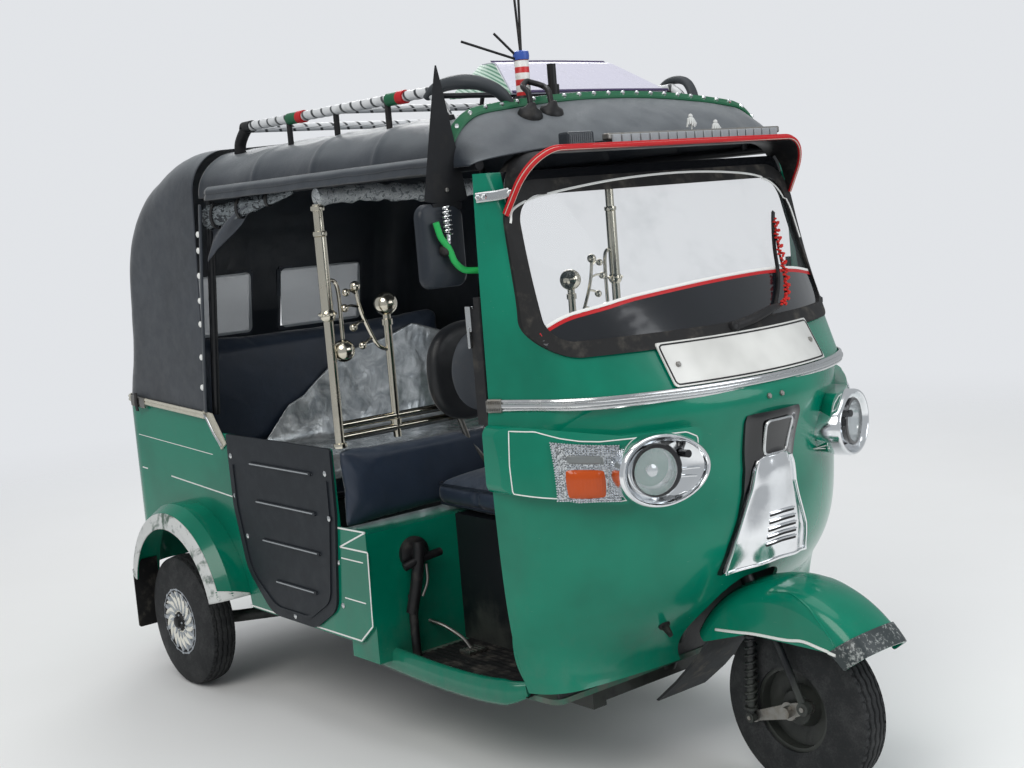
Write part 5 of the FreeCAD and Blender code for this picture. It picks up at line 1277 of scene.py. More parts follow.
def glass_line(places, count):
    """Smooth line on the windscreen through (across, height) places."""
    line = on_plane(curve_through(places, count), 0, 0.0)
    return laid(line, GLASS, (1, 0, 0))


FILM_TOP = [(-486, 1138), (-419, 1166), (-330, 1181), (-240, 1195), (-58, 1209), (100, 1214), (224, 1213),
            (360, 1204), (486, 1186)]
GLASS_CENTRE = (-1500, 0, 700)
GLASS_OUT = np.array([0.86, 0, 0.5])


class RICKSHAW_OT_windscreen(bpy.types.Operator):
    """Lay the dark film with its red and white border, a white strip of painted highlight along the seal's bright
    bead, and the wiper on the windscreen
    """

    bl_idname = "rickshaw.windscreen"
    bl_label = "Windscreen"

    def execute(self, context):
        edge = curve_through(FILM_TOP, 90)
        rise = np.linspace(0, 1, 14)[:, None]
        grid = spread(0.0, edge[:, 0], 1107.0 * (1 - rise) + edge[:, 1] * rise)
        film = laid(grid, GLASS, (1, 0, 0), 0.5)
        piece("windscreen_film", slab(film, 0.4, (1, 0, 0)), "window_film")
        red = glass_line(np.array(FILM_TOP) + [0, -3], 120)
        white = glass_line(np.array(FILM_TOP) + [0, 5], 120)
        up = away_from(red, GLASS_CENTRE, False)
        piece("film_border_red", strip(red, 9, 1.2, up), "red_trim")
        piece("film_border_white", strip(white, 7, 1.2, up), "white_line")
        # Painted highlight: a matte white strip along the top of the seal, standing for the shine of its bright bead.
        seal_highlight = curve_through([(-484, 1385), (-466, 1418), (-388, 1441), (-216, 1461), (-56, 1470), (100, 1471),
                              (250, 1463), (355, 1449), (430, 1420), (470, 1360), (478, 1280)], 150)
        seal_highlight = laid(on_plane(seal_highlight, 0, 0.0), ("windscreen_glass", "windscreen_seal"), (1, 0, 0), 0.3)
        piece("windscreen_bead_highlight", strip(seal_highlight, 5.5, 2.2, away_from(seal_highlight, GLASS_CENTRE, False)), "white_line")

        arm = glass_line([(-29, 1097), (60, 1110), (120, 1120), (189, 1132), (252, 1187), (301, 1259), (350, 1326)],
                         60)
        lift = 14 * np.sin(np.linspace(0.15, 1, 60) * math.pi)[:, None] + 7
        arm = arm + GLASS_OUT * lift
        width = np.interp(np.linspace(0, 1, 60), [0, 0.3, 0.45, 1], [2.6, 2.3, 1.0, 0.8])
        rod = carried(arm, ring_profile(4.5, 12, 0.6), away_from(arm, GLASS_CENTRE, False), scale=width)
        pivot = turned_shape([(0, -6), (14, -6), (15, 6), (12, 14), (6, 18), (0, 19)], arm[0] - [6, 0, 4],
                             (0.86, 0, 0.5), 24)
        blade = glass_line([(150, 1122), (240, 1190), (300, 1270), (368, 1352)], 40)
        blade = blade + GLASS_OUT * 2.5
        rubber = carried(blade, [(-2, -2), (2, -2), (5, 5), (-5, 5)], away_from(blade, GLASS_CENTRE, False))
        piece("wiper", joined([rod, pivot, rubber]), "black_plastic")

        # Flowers wound round the wiper's arm: small petals in a ring at each step of a helix
        step = np.linspace(0, 1, 46)
        path = resampled(arm[26:], 46)
        turn = step * 46 * 2.3
        side = spread(0, np.cos(turn), np.sin(turn)) * 6 + GLASS_OUT * (6 + 3 * np.sin(turn * 1.7))[:, None]
        petals = [beads(path + side, 5.2, 0.7, 6), beads(path - side * [0.2, 1, 1] + [8, 0, 4], 4.2, 0.8, 6)]
        piece("wiper_flowers", joined(petals), "red_flowers")
        return {"FINISHED"}


def visor_edge():
    """Visor's front edge: an arch seen from ahead, on a plane that leans back as it goes down."""
    arch = rounded_line([(-488, 1404, 0), (-471, 1541, 96), (471, 1541, 96), (488, 1404, 0)], False, 14)
    arch = resampled(arch, 120)
    return np.stack([-280 + math.tan(math.radians(32)) * (arch[:, 1] - 1535), arch[:, 0], arch[:, 1]], 1)


class RICKSHAW_OT_visor(bpy.types.Operator):
    """Edge the visor with its double red bead and thin pale line, and fix its stays"""

    bl_idname = "rickshaw.visor"
    bl_label = "Visor trim"

    def execute(self, context):
        edge = visor_edge()
        ahead = np.array([0.85, 0, -0.5])
        out = away_from(edge, (-600, 0, 1420), False)
        piece("visor_bead", joined([pipe(edge + ahead * 1.5 + out * 1.0, 5.0, 10, up=(1, 0, 0)),
                                    pipe(edge - ahead * 8.0 + out * 2.4, 4.2, 10, up=(1, 0, 0))]), "red_trim")
        piece("visor_line", joined([pipe(edge - ahead * 3.4 + out * 4.6, 1.6, 8, up=(1, 0, 0)),
                                    pipe(edge + ahead * 6.0 - out * 1.0, 1.4, 8, up=(1, 0, 0))]), "cream_trim")
        stays = []
        for y in (-1, 1):
            foot = np.array([[-402, y * 540, 1447], [-390, y * 528, 1448], [-374, y * 504, 1449],
                             [-354, y * 482, 1453]])
            stays.append(strip(resampled(foot, 12), 22, 5, (0.86, y * 0.5, 0)))
            for place in (foot[0] * 0.8 + foot[1] * 0.2, foot[1], foot[3]):
                stays.append(turned_shape([(0, 0), (7, 0), (7, 8), (4, 10), (0, 10)], place, (0.86, y * 0.5, 0), 6))
        piece("visor_stays", joined(stays), "chrome")
        return {"FINISHED"}


# Lamps


LAMP_TURN = math.radians(-18)


def lamp_space(points):
    """Right-hand lamp's own axes, towards the middle, up and outwards, to drawing millimetres."""
    u, v, w = np.moveaxis(np.asarray(points, float), -1, 0)
    return np.stack([-70 + w * math.cos(LAMP_TURN) - u * math.sin(LAMP_TURN),
                     -330 + w * math.sin(LAMP_TURN) + u * math.cos(LAMP_TURN), 822 + v], -1)


LAMP_OUT = (math.cos(LAMP_TURN), math.sin(LAMP_TURN), 0.0)
LAMP_SHIFT = -27.0
INDICATOR_CORNERS = np.array([(-245, -514, 902), (-146, -402, 885), (-168, -388, 758), (-250, -500, 764)], float)


def bezel_surface(count=96):
    """Lamp bezel: rings of points from the back of an oval case over its rim and down into a tray that
    ends in a round mouth set towards the outer side. Each ring is a mix of the oval and the circle."""
    angle = around(count)
    oval = np.stack([113 * np.cos(angle) - 3, 82 * np.sin(angle)], 1)
    oval[:, 1] *= 1 - 0.10 * np.cos(angle)
    mouth = np.stack([54 * np.cos(angle) + LAMP_SHIFT, 54 * np.sin(angle)], 1)
    rings = [(1.0, 0, -70), (1.0, 0, -7), (0.985, 0, -1), (0.955, 0, 2.5), (0.915, 0, 2.5), (0.885, 0, -1),
             (0.872, 0, -8), (0.86, 0.25, -17), (0.86, 0.6, -22), (0.86, 1, -22), (0.86, 1, -70)]
    grid = np.empty((len(rings), count, 3))
    for row, (scale, share, out) in enumerate(rings):
        grid[row, :, :2] = oval * scale * (1 - share) + mouth * share
        grid[row, :, 2] = out
    return lamp_space(grid)


def inner_corners(corners, u0, u1, v0, v1):
    """Corners of a part of a four-cornered patch."""
    p, q, r, s = corners
    return np.array([p * (1 - u) * (1 - v) + q * u * (1 - v) + r * u * v + s * (1 - u) * v
                     for u, v in ((u0, v0), (u1, v0), (u1, v1), (u0, v1))])


def domed_lens(corners, count, height):
    """Lens over a patch of the pod: raised most in the middle, falling steeply at its rim."""
    grid = patch(corners, count, count, 0.05)
    side = np.linspace(-1, 1, count)
    dome = (1 - np.abs(side[:, None]) ** 5) * (1 - np.abs(side[None, :]) ** 5)
    out = np.array([0.78, -0.62, 0])
    return laid(grid, COWL, out, 5.0) + out * (dome * height)[..., None]


class RICKSHAW_OT_lamps(bpy.types.Operator):
    """Make the headlamps in their oval bezels, the studded indicator frames and the pods' pinstripes"""

    bl_idname = "rickshaw.lamps"
    bl_label = "Lamps"

    def execute(self, context):
        bezel = piece("headlamp_bezels", both(grid_shape(bezel_surface(), True, True)), "bright_chrome")
        centre = lamp_space([LAMP_SHIFT, 0, -8])
        bowl = turned_shape([(54, -4), (50, -20), (40, -36), (23, -48), (0, -52), (0, -54), (25, -50), (43, -38),
                             (53, -20), (55.5, -4)], centre, LAMP_OUT)
        glass = turned_shape([(0, -4), (53, -4), (54.5, 0), (52, 4), (42, 8), (27, 12), (12, 13.6), (0, 14)], centre,
                             LAMP_OUT)
        angle = around(64)
        # Painted shade: gloss black rings round each lens, wider on the inner side, stand for the dark crescent of
        # shade inside the bezel.
        rings = [(52, 53, 0, 3), (54, 64, 8, 3), (56, 67, 9, 0), (53, 64, 8, -9)]
        shade = grid_shape(np.stack([lamp_space(spread(
            (inner + (outer - inner) * 0.5) * np.cos(angle) + LAMP_SHIFT + move * 0.6,
            (inner + (outer - inner) * 0.4) * np.sin(angle) + move * 0.15, out - 8))
            for inner, outer, move, out in rings]), True, True)
        bulb = turned_shape([(0, -34), (7, -33), (9, -26), (7, -20), (0, -18)], centre, LAMP_OUT, 20)
        hood = turned_shape([(0, -17), (13, -17), (14, -14), (11, -12), (0, -12)], centre, LAMP_OUT, 24)
        piece("headlamp_bowls", both(joined([bowl, hood])), "bright_chrome")
        lens = piece("headlamp_lenses", both(glass), "clear_lens")
        piece("headlamp_bulbs", both(bulb), "white_line")
        stub = lamp_space([[44, 30, -16], [45, 31, 0], [47, 32, 12]])
        ribs = lamp_space([[38, -6, -19], [62, -6, -16], [84, -6, -9]])
        ribs2 = lamp_space([[36, -22, -19], [58, -23, -16], [76, -24, -10]])
        piece("headlamp_painted_shade_and_stubs", both(joined([shade, pipe(stub, 9, 16, up=(0, 0, 1))])), "gloss_black")
        piece("headlamp_tray_ribs", both(joined([pipe(ribs, 2.4, 8), pipe(ribs2, 2.4, 8)])), "bright_chrome")
        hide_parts("lamp_bezels")
        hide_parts("headlamps")

        out = np.array([0.78, -0.62, 0])
        plate = laid(patch(INDICATOR_CORNERS, 26, 26, -0.03), COWL, out, 6.0)
        piece("indicator_frames", both(slab(plate, 9.0, out)), "glitter")
        stones = laid(patch(INDICATOR_CORNERS, 25, 25, -0.03), COWL, out, 6.4)
        v, u = np.meshgrid(np.linspace(0, 1, 25), np.linspace(0, 1, 25), indexing="ij")
        clear = (u > 0.20) & (u < 0.76) & (v > 0.17) & (v < 0.36)
        amber = (u > 0.16) & (u < 0.80) & (v > 0.42) & (v < 0.93)
        plain = (u > 0.06) & (u < 0.20) & (v > 0.05) & (v < 0.95)
        keep = ~(clear | amber | plain)
        piece("indicator_stones", both(beads(stones[keep], 2.3, sides=6)), "stones")
        shade_low = domed_lens(inner_corners(INDICATOR_CORNERS, 0.17, 0.77, 0.44, 0.92), 22, 10)
        amber_lens = piece("amber_lenses", both(slab(shade_low, 9, out)), "amber_lens")
        shade_top = domed_lens(inner_corners(INDICATOR_CORNERS, 0.21, 0.76, 0.19, 0.34), 18, 5)
        piece("side_lamp_lenses", both(slab(shade_top, 6, out)), "side_lens")
        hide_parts("indicators")

        stripe = np.array([
            (-329, -560, 928), (-269, -536, 927), (-227, -500, 909), (-196, -469, 900), (-167, -437, 896),
            (-127, -383, 897), (-95, -330, 899), (-66, -268, 898), (-57, -243, 884), (-60, -239, 820),
            (-66, -234, 776), (-82, -262, 766), (-110, -330, 761), (-150, -400, 757), (-205, -450, 767),
            (-262, -512, 777), (-330, -560, 788), (-332, -562, 850), (-329, -560, 928)], float)
        stripe = laid(resampled(stripe, 150), COWL, (0.7, -0.7, 0), 0.4)
        line = strip(stripe, 2.6, 0.9, away_from(stripe, (-600, -150, 0)), closed=True)
        piece("pod_pinstripes", both(line), "white_line")
        return {"FINISHED"}


NOSE = ("nose_panel", "nose_shield", "front_cowl")
SHIELD_HALF = [(0, 143), (0.28, 126), (0.54, 97), (0.74, 76), (0.92, 66), (1, 57)]


def nose_plate(half, foot, top, lift, crown, rows=44, columns=31):
    """Plate that wraps the nose: its half-width is a function of the height, its foot and top are curves
    across it. It takes the nose's own depth, evened out by repeated means of neighbours, and a low crown."""
    v = np.linspace(0, 1, rows)[:, None]
    t = np.linspace(-1, 1, columns)[None, :]
    wide = np.interp(v, *zip(*half))
    low = foot[0] - foot[1] * np.abs(t) ** 1.6
    high = top[0] - top[1] * np.abs(t) ** 4
    grid = spread(0.0, wide * t, low * (1 - v) + high * v)
    depth = laid(grid, NOSE, (1, 0, 0))[..., 0]
    for _ in range(24):
        depth = np.pad(depth, 1, mode="edge")
        depth = (depth[1:-1, 1:-1] * 2 + depth[:-2, 1:-1] + depth[2:, 1:-1] + depth[1:-1, :-2] + depth[1:-1, 2:]) / 6
    grid[..., 0] = depth + lift + crown * (1 - t ** 2)
    return grid


class RICKSHAW_OT_nose(bpy.types.Operator):
    """Make the nose's black plate and flared bright shield, the blank badge, the plate's border and bolts"""

    bl_idname = "rickshaw.nose"
    bl_label = "Nose"

    def execute(self, context):
        ahead = (1, 0, 0)
        black_half = [(0, 152), (0.18, 137), (0.35, 108), (0.5, 90), (0.65, 84), (0.85, 92), (0.96, 97), (1, 92)]
        black = nose_plate(black_half, (560, 22), (909, 3), 4.0, 2.0, 60)
        panel = piece("nose_plate", slab(black, 12, ahead), "gloss_black")
        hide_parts("nose_panel")
        shine = nose_plate(SHIELD_HALF, (556, 16), (806, 12), 9.0, 7.0)
        shield = piece("bright_shield", slab(shine, 12, ahead), "bright_chrome", smooth=50)
        softened(shield, 2.5)
        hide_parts("nose_shield")
        edge = np.concatenate([shine[::-1, 0], shine[0, 1:], shine[1:, -1]])
        rim = strip(resampled(edge, 160) + [1.5, 0, 0], 6, 2.6, ahead)
        blades = [rim]
        for row in range(8, 23, 3):
            line = shine[row, 9:22] + [1.2, 0, 0]
            blades.append(strip(resampled(line, 14), 4.4, 3.2, (0.9, 0, 0.4)))
        piece("shield_ribs", joined(blades), "bright_chrome")
        slots = [strip(resampled(shine[row, 9:22] + [0.4, 0, -5], 14), 4.6, 1.0, ahead) for row in range(8, 23, 3)]
        piece("shield_slots", joined(slots), "black_plastic")
        badge = rounded_line([(-47, 888, 12), (47, 888, 12), (38, 806, 14), (-38, 806, 14)])
        badge = resampled(on_plane(badge, 0, 0.0), 80)
        front = laid(badge, NOSE, ahead, 6.5)
        piece("badge_frame", strip(front, 6, 4.0, ahead, closed=True), "chrome")
        field = patch(on_plane([(-44, 885), (44, 885), (36, 809), (-36, 809)], 0, 0.0), 8, 8)
        piece("badge_field", slab(laid(field, NOSE, ahead, 7.4), 4, ahead), "gloss_black")
        border = rounded_line([(-257, 1000, 8), (257, 1000, 8), (257, 1087, 8), (-257, 1087, 8)])
        border = laid(resampled(on_plane(border, 0, 0.0), 220), ("number_plate",), ahead, 0.1)
        piece("plate_border", strip(border, 4, 0.9, (0.85, 0, 0.5), closed=True), "black_plastic")
        bolts = laid([(0, -232, 1042), (0, 232, 1042)], ("number_plate",), ahead, 0)
        bolts = np.concatenate([bolts, laid([(0, -24, 944), (0, 20, 944)], COWL, ahead, 1)])
        bolt = heads([(0, -1), (7, -1), (7, 3), (4, 5), (0, 5)], bolts, (0.93, 0, 0.36), 6)
        piece("front_bolts", bolt, "old_steel")
        place = laid([(-240, -208, 410)], ("front_cowl",), ahead)[0]
        boot = turned_shape([(0, -4), (15, -4), (15, 3), (10, 6), (8, 20), (6, 36), (0, 38)], place,
                            (0.8, -0.25, -0.5), 20)
        piece("cowl_grommet", boot, "rubber")
        return {"FINISHED"}


# Body


RIGHT = (0, -1, 0)


class RICKSHAW_OT_fender(bpy.types.Operator):
    """Run the pale bead along the front fender's lower edge and the ridges down to its tip"""

    bl_idname = "rickshaw.fender"
    bl_label = "Front fender trim"

    def execute(self, context):
        parts = ("front_fender", "fender_tip")
        low = curve_through([(-183, -94, 379), (-123, -94, 384), (-60, -94, 390), (29, -94, 393), (80, -95, 399),
                             (130, -96, 392), (174, -97, 385)], 70)
        low = laid(low, parts, RIGHT, 0.2)
        ridge = curve_through([(-24, -79, 495), (35, -80, 500), (83, -84, 484), (115, -87, 463), (153, -92, 426),
                               (172, -95, 398)], 50)
        ridge = laid(ridge, parts, RIGHT, 0.2)
        piece("fender_bead", both(pipe(low, 3.6, 8, up=(0, 0, 1))), "white_line", "steering")
        taper = np.sin(np.linspace(0.1, 1, 50) * math.pi * 0.9) + 0.3
        crease = pipe(ridge, 2.2, 8, up=(0, 0, 1), scale=taper)
        piece("fender_ridges", both(crease), "green_paint", "steering")
        return {"FINISHED"}


SIDE_LINE = [(-1108, 608), (-977, 611), (-1107, 556), (-974, 558), (-982, 357), (-1043, 307), (-1640, 305)]


def side_band(points, width, names=("side_panels",), height=0.9):
    """Painted line on the right-hand side through (x, z) places."""
    points = np.asarray(points, float)
    line = np.insert(resampled(points, max(8, int(np.abs(np.diff(points, axis=0)).sum() / 12))), 1, -540.0, axis=1)
    line = laid(line, names, RIGHT, 0.1)
    return strip(line, width, height, RIGHT)


class RICKSHAW_OT_side_trim(bpy.types.Operator):
    """Draw the white lines on the sides, white strips of painted highlight along the quarters' pressed grooves, grey
    strips of painted highlight along the guard's bars, and the guard's screws
    """

    bl_idname = "rickshaw.side_trim"
    bl_label = "Side lines"

    def execute(self, context):
        lines = [side_band(SIDE_LINE[k:k + 2], 4.4) for k in range(len(SIDE_LINE) - 1)]
        lines += [side_band([(-1104, 526), (-1000, 527)], 3.4), side_band([(-1104, 416), (-1004, 416)], 3.4),
                  # Painted highlight: the last three strips run along the rear quarters' pressed grooves.
                  side_band([(-2287, 778), (-1781, 752)], 2.4),
                  side_band([(-2080, 657), (-1668, 631)], 4), side_band([(-2287, 668), (-2250, 666)], 4)]
        piece("side_lines_and_groove_highlights", both(joined(lines)), "white_line")
        guard = ("side_guard",)
        # Painted highlight: grey strips along the top of the guard's raised bars.
        bar_highlights = [side_band([(rear, z), (fore, z)], 3.6, guard, 0.5) for rear, fore, z in (
            (-1537, -1203, 747), (-1520, -1200, 637), (-1503, -1197, 525), (-1448, -1233, 410))]
        piece("guard_bar_highlights", joined(bar_highlights), "grey_line")
        places = [(-1133, 755), (-1122, 511), (-1366, 321), (-1599, 524), (-1128, 633), (-1118, 392), (-1650, 640),
                  (-1652, 760)]
        spots = laid([(x, -540, z) for x, z in places], ("side_guard", "side_panels"), RIGHT, 0)
        screws = heads([(0, -1), (8, -1), (8, 1.5), (5, 3.5), (0, 4)], spots, RIGHT, 16)
        piece("guard_screws", screws, "chrome")
        return {"FINISHED"}


FENDER_LIP = np.array([(651.5, 254), (650.5, 276), (643.5, 299), (628, 314), (605, 326.6), (575, 327), (546, 327)])


def lip_surface(rows=120, columns=18):
    """Trim on the rear fender: the outer part of the fender's section turned about the wheel's line. It
    covers the lip along the arch and widens to the whole section at both ends."""
    angle = np.radians(np.linspace(-77, 77, rows))
    share = 0.33 + 0.67 * np.clip((np.degrees(np.abs(angle)) - 71) / 5, 0, 1) ** 0.8
    path = resampled(FENDER_LIP, 80)
    place = share[:, None] * np.linspace(0, 1, columns)[None, :] * 79
    y = np.interp(place, np.arange(80), path[:, 0])
    r = np.interp(place, np.arange(80), path[:, 1])
    return spread(-1950 + r * np.sin(angle)[:, None], -y, 265 + r * np.cos(angle)[:, None])


class RICKSHAW_OT_rear_trim(bpy.types.Operator):
    """Make the rear fenders' marbled lips, the belt round the tail, its latches and the corner brackets"""

    bl_idname = "rickshaw.rear_trim"
    bl_label = "Rear trim"

    def execute(self, context):
        lip = piece("rear_fender_lips", both(grid_shape(lip_surface())), "marbled_trim", smooth=60)
        thickened(lip, 2.2)
        turn = np.linspace(0, math.pi / 2, 12)[1:]
        back = np.linspace(434, 0, 16)[1:]
        plan = np.concatenate([
            [[-1786, 557], [-2030, 557], [-2276, 557]],
            np.stack([-2276 - 125 * np.sin(turn), 434 + 123 * np.cos(turn)], 1),
            np.stack([-2401 - 13 * (1 - (back / 434) ** 2), back], 1)])
        plan = resampled(np.concatenate([plan * [1, -1], plan[-2::-1]]), 220)
        height = np.interp(plan[:, 0], [-2290, -1786], [899, 873])
        line = np.column_stack([plan, height])
        out = -outward_level(line)
        out = np.where((out * (line - [-1950, 0, 0])).sum(1, keepdims=True) < 0, -out, out)
        profile = [(-10, -3), (10, -3), (10, 2), (7, 4.6), (4, 4.6), (2, 2.4), (-2, 2.4), (-4, 4.6), (-7, 4.6),
                   (-10, 2)]
        belt = carried(line, profile, out)
        piece("tail_belt", belt, "cream_trim")
        plate = rounded_line([(-2283, 877, 5), (-2186, 872, 5), (-2186, 905, 5), (-2283, 912, 5)])
        plate = np.insert(plate[:-1], 1, -561.0, axis=1)
        centre = plate.mean(0)
        shrink = np.array([1.0, 0.995, 0.93, 0.0])[:, None, None]
        depth = np.array([4.0, -2.0, -4.0, -4.5])[:, None, None] * np.array([0, 1.0, 0])
        latch = grid_shape(centre + (plate - centre)[None] * shrink + depth, False, True)
        strap = np.array([(-2234, -566, 862), (-2234, -569, 890), (-2234, -566, 921)], float)
        piece("tail_latches", both(latch), "old_steel")
        piece("tail_straps", both(strip(resampled(strap, 8), 20, 3, RIGHT)), "black_plastic")
        corner = patch([(-1806, -550, 886), (-1750, -550, 880), (-1680, -550, 793), (-1712, -550, 774)], 12, 12)
        piece("corner_brackets", both(slab(corner - [0, 2.5, 0], 4, RIGHT)), "cream_trim")
        grab = curve_through([(-1792, -556, 878), (-1762, -562, 862), (-1728, -562, 822), (-1700, -556, 786)], 24)
        piece("corner_grabs", both(pipe(grab, 4, 10, up=(0, -1, 0))), "chrome")
        return {"FINISHED"}


def petal(centre, turn, inner, outer, lean, place):
    """Wheel-trim petal: a leaf from the hub to the rim that curves round the axle and stands proud
    in its middle."""
    along = np.linspace(0, 1, 12)[:, None]
    side = np.linspace(-1, 1, 7)[None, :]
    reach = inner + (outer - inner) * along
    width = 11.0 * np.sin(math.pi * (0.14 + 0.60 * along)) ** 0.9
    angle = turn + lean * along ** 1.4 + side * width / reach
    rise = place - (5.5 * (1 - side ** 2) + 3 * np.sin(along * math.pi)) + 3.0 * side
    return slab(spread(centre[0] + reach * np.cos(angle), rise, centre[2] + reach * np.sin(angle)), 2.0, RIGHT)


class RICKSHAW_OT_wheel_trim(bpy.types.Operator):
    """Fix the rear wheels' trims: a black dish, painted shade in the gaps between a ring of curved bright petals,
    round a dark hub
    """

    bl_idname = "rickshaw.wheel_trim"
    bl_label = "Wheel trims"

    def execute(self, context):
        centre = np.array([-2000.0, -REAR_TRACK, HUB_HEIGHT])
        petals = joined([petal(centre, k * math.pi / 7.5, 31, 97, 0.55, -WHEEL_FACE) for k in range(15)])
        # Painted shade: the black dish behind the petals stands for the shadow in the gaps between them.
        shade_dish = turned_shape([(0, 0), (93, 0), (97, 3), (100, 9), (98, 12), (92, 6), (60, 3), (0, 3)],
                            (-2000, -WHEEL_FACE + 4, HUB_HEIGHT), RIGHT, 64)
        ring = turned_shape([(92, 6), (98, 9), (104, 10), (107, 6), (104, 3), (96, 3)],
                            (-2000, -WHEEL_FACE + 4, HUB_HEIGHT), RIGHT, 64)
        hub = turned_shape([(0, 0), (30, 0), (31, 6), (27, 12), (18, 15), (16, 22), (8, 25), (0, 25)],
                           (-2000, -WHEEL_FACE + 2, HUB_HEIGHT), RIGHT, 40)
        bolts = beads([(-2000 + 23 * math.cos(a), -WHEEL_FACE - 11, HUB_HEIGHT + 23 * math.sin(a))
                       for a in np.arange(5) * math.pi * 0.4], 3.6)
        for flip, body in ((False, "rear_wheel_right"), (True, "rear_wheel_left")):
            tag = body.split("_")[-1]
            for name, shape, finish in (("petals", petals, "white_petals"),
                                        ("shade_dish", joined([shade_dish, hub]), "black_plastic"),
                                        ("trim_ring", joined([ring, bolts]), "silver_plastic")):
                piece(f"wheel_{name}_{tag}", flipped(shape) if flip else shape, finish, body)
        return {"FINISHED"}


POST_X = -1090.0
POST_SIDES = (-524, 524)


class RICKSHAW_OT_posts(bpy.types.Operator):
    """Dress the partition's posts with sleeves, balls, the hooked rod and its branches, and the wrapped tube"""

    bl_idname = "rickshaw.posts"
    bl_label = "Post fittings"

    def execute(self, context):
        shapes = []
        for y in POST_SIDES:
            shapes.append(lathe_z([(13.2, 1190), (16, 1191), (16, 1384), (13.2, 1386)], (POST_X, y, 0)))
            shapes.append(beads([(POST_X, y, 1178)], 21, sides=24))
            for z in (830, 1392, 1458):
                shapes.append(lathe_z([(13, z - 7), (18, z - 6), (19, z), (18, z + 6), (13, z + 7)], (POST_X, y, 0)))
            turn = np.arange(12) * math.pi / 6
            shapes.append(beads(spread(POST_X + 21 * np.cos(turn), y + 21 * np.sin(turn), 1181), 4.5))
        for y in (-338, 338):
            for z in (866, 1140):
                shapes.append(lathe_z([(11, z - 9), (15, z - 8), (15, z + 8), (11, z + 9)], (POST_X, y, 0)))
        piece("post_fittings", joined(shapes), "pole_gold")

        hook = np.array([(-520, 1256), (-507, 1268), (-492, 1262), (-486, 1240), (-484, 1200), (-485, 1110)], float)
        branch = np.array([(-431, 1244), (-429, 1228), (-420, 1180), (-401, 1130), (-375, 1081), (-342, 1064)], float)
        twigs = [[(-428, 1191), (-450, 1196), (-470, 1191)], [(-409, 1151), (-430, 1148), (-448, 1137)],
                 [(-386, 1103), (-405, 1098), (-424, 1086)], [(-428, 1225), (-448, 1236), (-462, 1232)]]
        rods = [pipe(on_plane(curve_through(hook, 40), 0, POST_X), 5.5, 10, up=(1, 0, 0)),
                pipe(on_plane(curve_through(branch, 40), 0, POST_X), 5, 10, up=(1, 0, 0))]
        rods += [pipe(on_plane(curve_through(twig, 12), 0, POST_X), 3.6, 8, up=(1, 0, 0)) for twig in twigs]
        small = [(POST_X, *twig[-1]) for twig in twigs]
        rods += [beads([(POST_X, -485, 1079)], 30, sides=28), beads([(POST_X, -431, 1246)], 14, sides=18),
                 beads(small, 11, sides=16)]
        piece("post_branches", both(joined(rods)), "pole_gold")

        run = np.linspace(0, 1, 70)
        tube = np.column_stack([3 * np.sin(run * 21) - 1088, -526 + run * 1052, 1487 + 5 * np.sin(run * 13)])
        wrap = 1 + 0.12 * np.sin(run * 83) + 0.08 * np.sin(run * 141)
        piece("wrapped_rail", pipe(tube, 23, 18, up=(1, 0, 0), scale=wrap), "crinkled_film", smooth=60)
        return {"FINISHED"}


# Seats


def cushion(name, low, high, crown, corner, thin, wave, instead=None):
    """Stuffed pad: a rounded block whose crown falls off to its rim as a power of the place across, along
    its thin axis. It is remeshed to even cells and blown up a little by the cloth solver."""
    low, high = np.asarray(low, float), np.asarray(high, float)
    middle, half = (low + high) / 2, (high - low) / 2
    side = np.linspace(-1, 1, 41)
    u, v = np.meshgrid(side, side, indexing="ij")
    faces = []
    for axis in range(3):
        for sign in (-1, 1):
            cube = np.empty((41, 41, 3))
            cube[..., axis] = sign
            cube[..., (axis + 1) % 3] = u
            cube[..., (axis + 2) % 3] = v
            point = np.clip(cube * half, -(half - corner), half - corner)
            away = cube * half - point
            length = np.linalg.norm(away, axis=-1, keepdims=True)
            faces.append(grid_shape(point + away / np.maximum(length, 1e-9) * np.minimum(length, corner)))
    points, polygons = joined(faces)
    others = [k for k in range(3) if k != thin]
    rel = points / half
    dome = np.prod([1 - np.abs(rel[:, k]) ** 2.4 for k in others], axis=0)
    points[:, thin] += np.sign(rel[:, thin]) * crown * dome * np.clip(np.abs(rel[:, thin]) * 1.2, 0, 1)
    points[:, thin] -= np.sign(rel[:, thin]) * crown * 0.9
    points += (ripple(points, 90.0, 0.5, wave))[:, None] * rel
    obj = piece(name, (points + middle, polygons), "seat_vinyl", smooth=0)
    blown(obj)
    obj.data.shade_smooth()
    if instead:
        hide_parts(instead)


PAD_CELL = 0.009
PAD_PRESSURE = 3.0
PUFF_FRAMES = 10


def blown(obj):
    """Inflates a closed piece with the cloth solver and keeps the result as its mesh."""
    scene = bpy.context.scene
    remesh = obj.modifiers.new("even", "REMESH")
    remesh.mode = "VOXEL"
    remesh.voxel_size = PAD_CELL
    kept(obj)
    before = np.empty(3 * len(obj.data.vertices))
    obj.data.vertices.foreach_get("co", before)
    cloth = obj.modifiers.new("cloth", "CLOTH")
    cloth.settings.use_pressure = True
    cloth.settings.uniform_pressure_force = PAD_PRESSURE
    cloth.settings.effector_weights.gravity = 0
    cloth.settings.quality = 4
    cloth.settings.tension_stiffness = 25
    cloth.settings.bending_stiffness = 2
    for step in range(1, PUFF_FRAMES + 1):
        scene.frame_set(step)
    kept(obj)
    after = np.empty_like(before)
    obj.data.vertices.foreach_get("co", after)
    move = (after - before).reshape(-1, 3)
    size = np.linalg.norm(move, axis=1, keepdims=True)
    capped = before.reshape(-1, 3) + move * np.minimum(1, MOST_PUFF / np.maximum(size, 1e-9))
    obj.data.vertices.foreach_set("co", capped.ravel())
    obj.data.update()
    scene.frame_set(1)


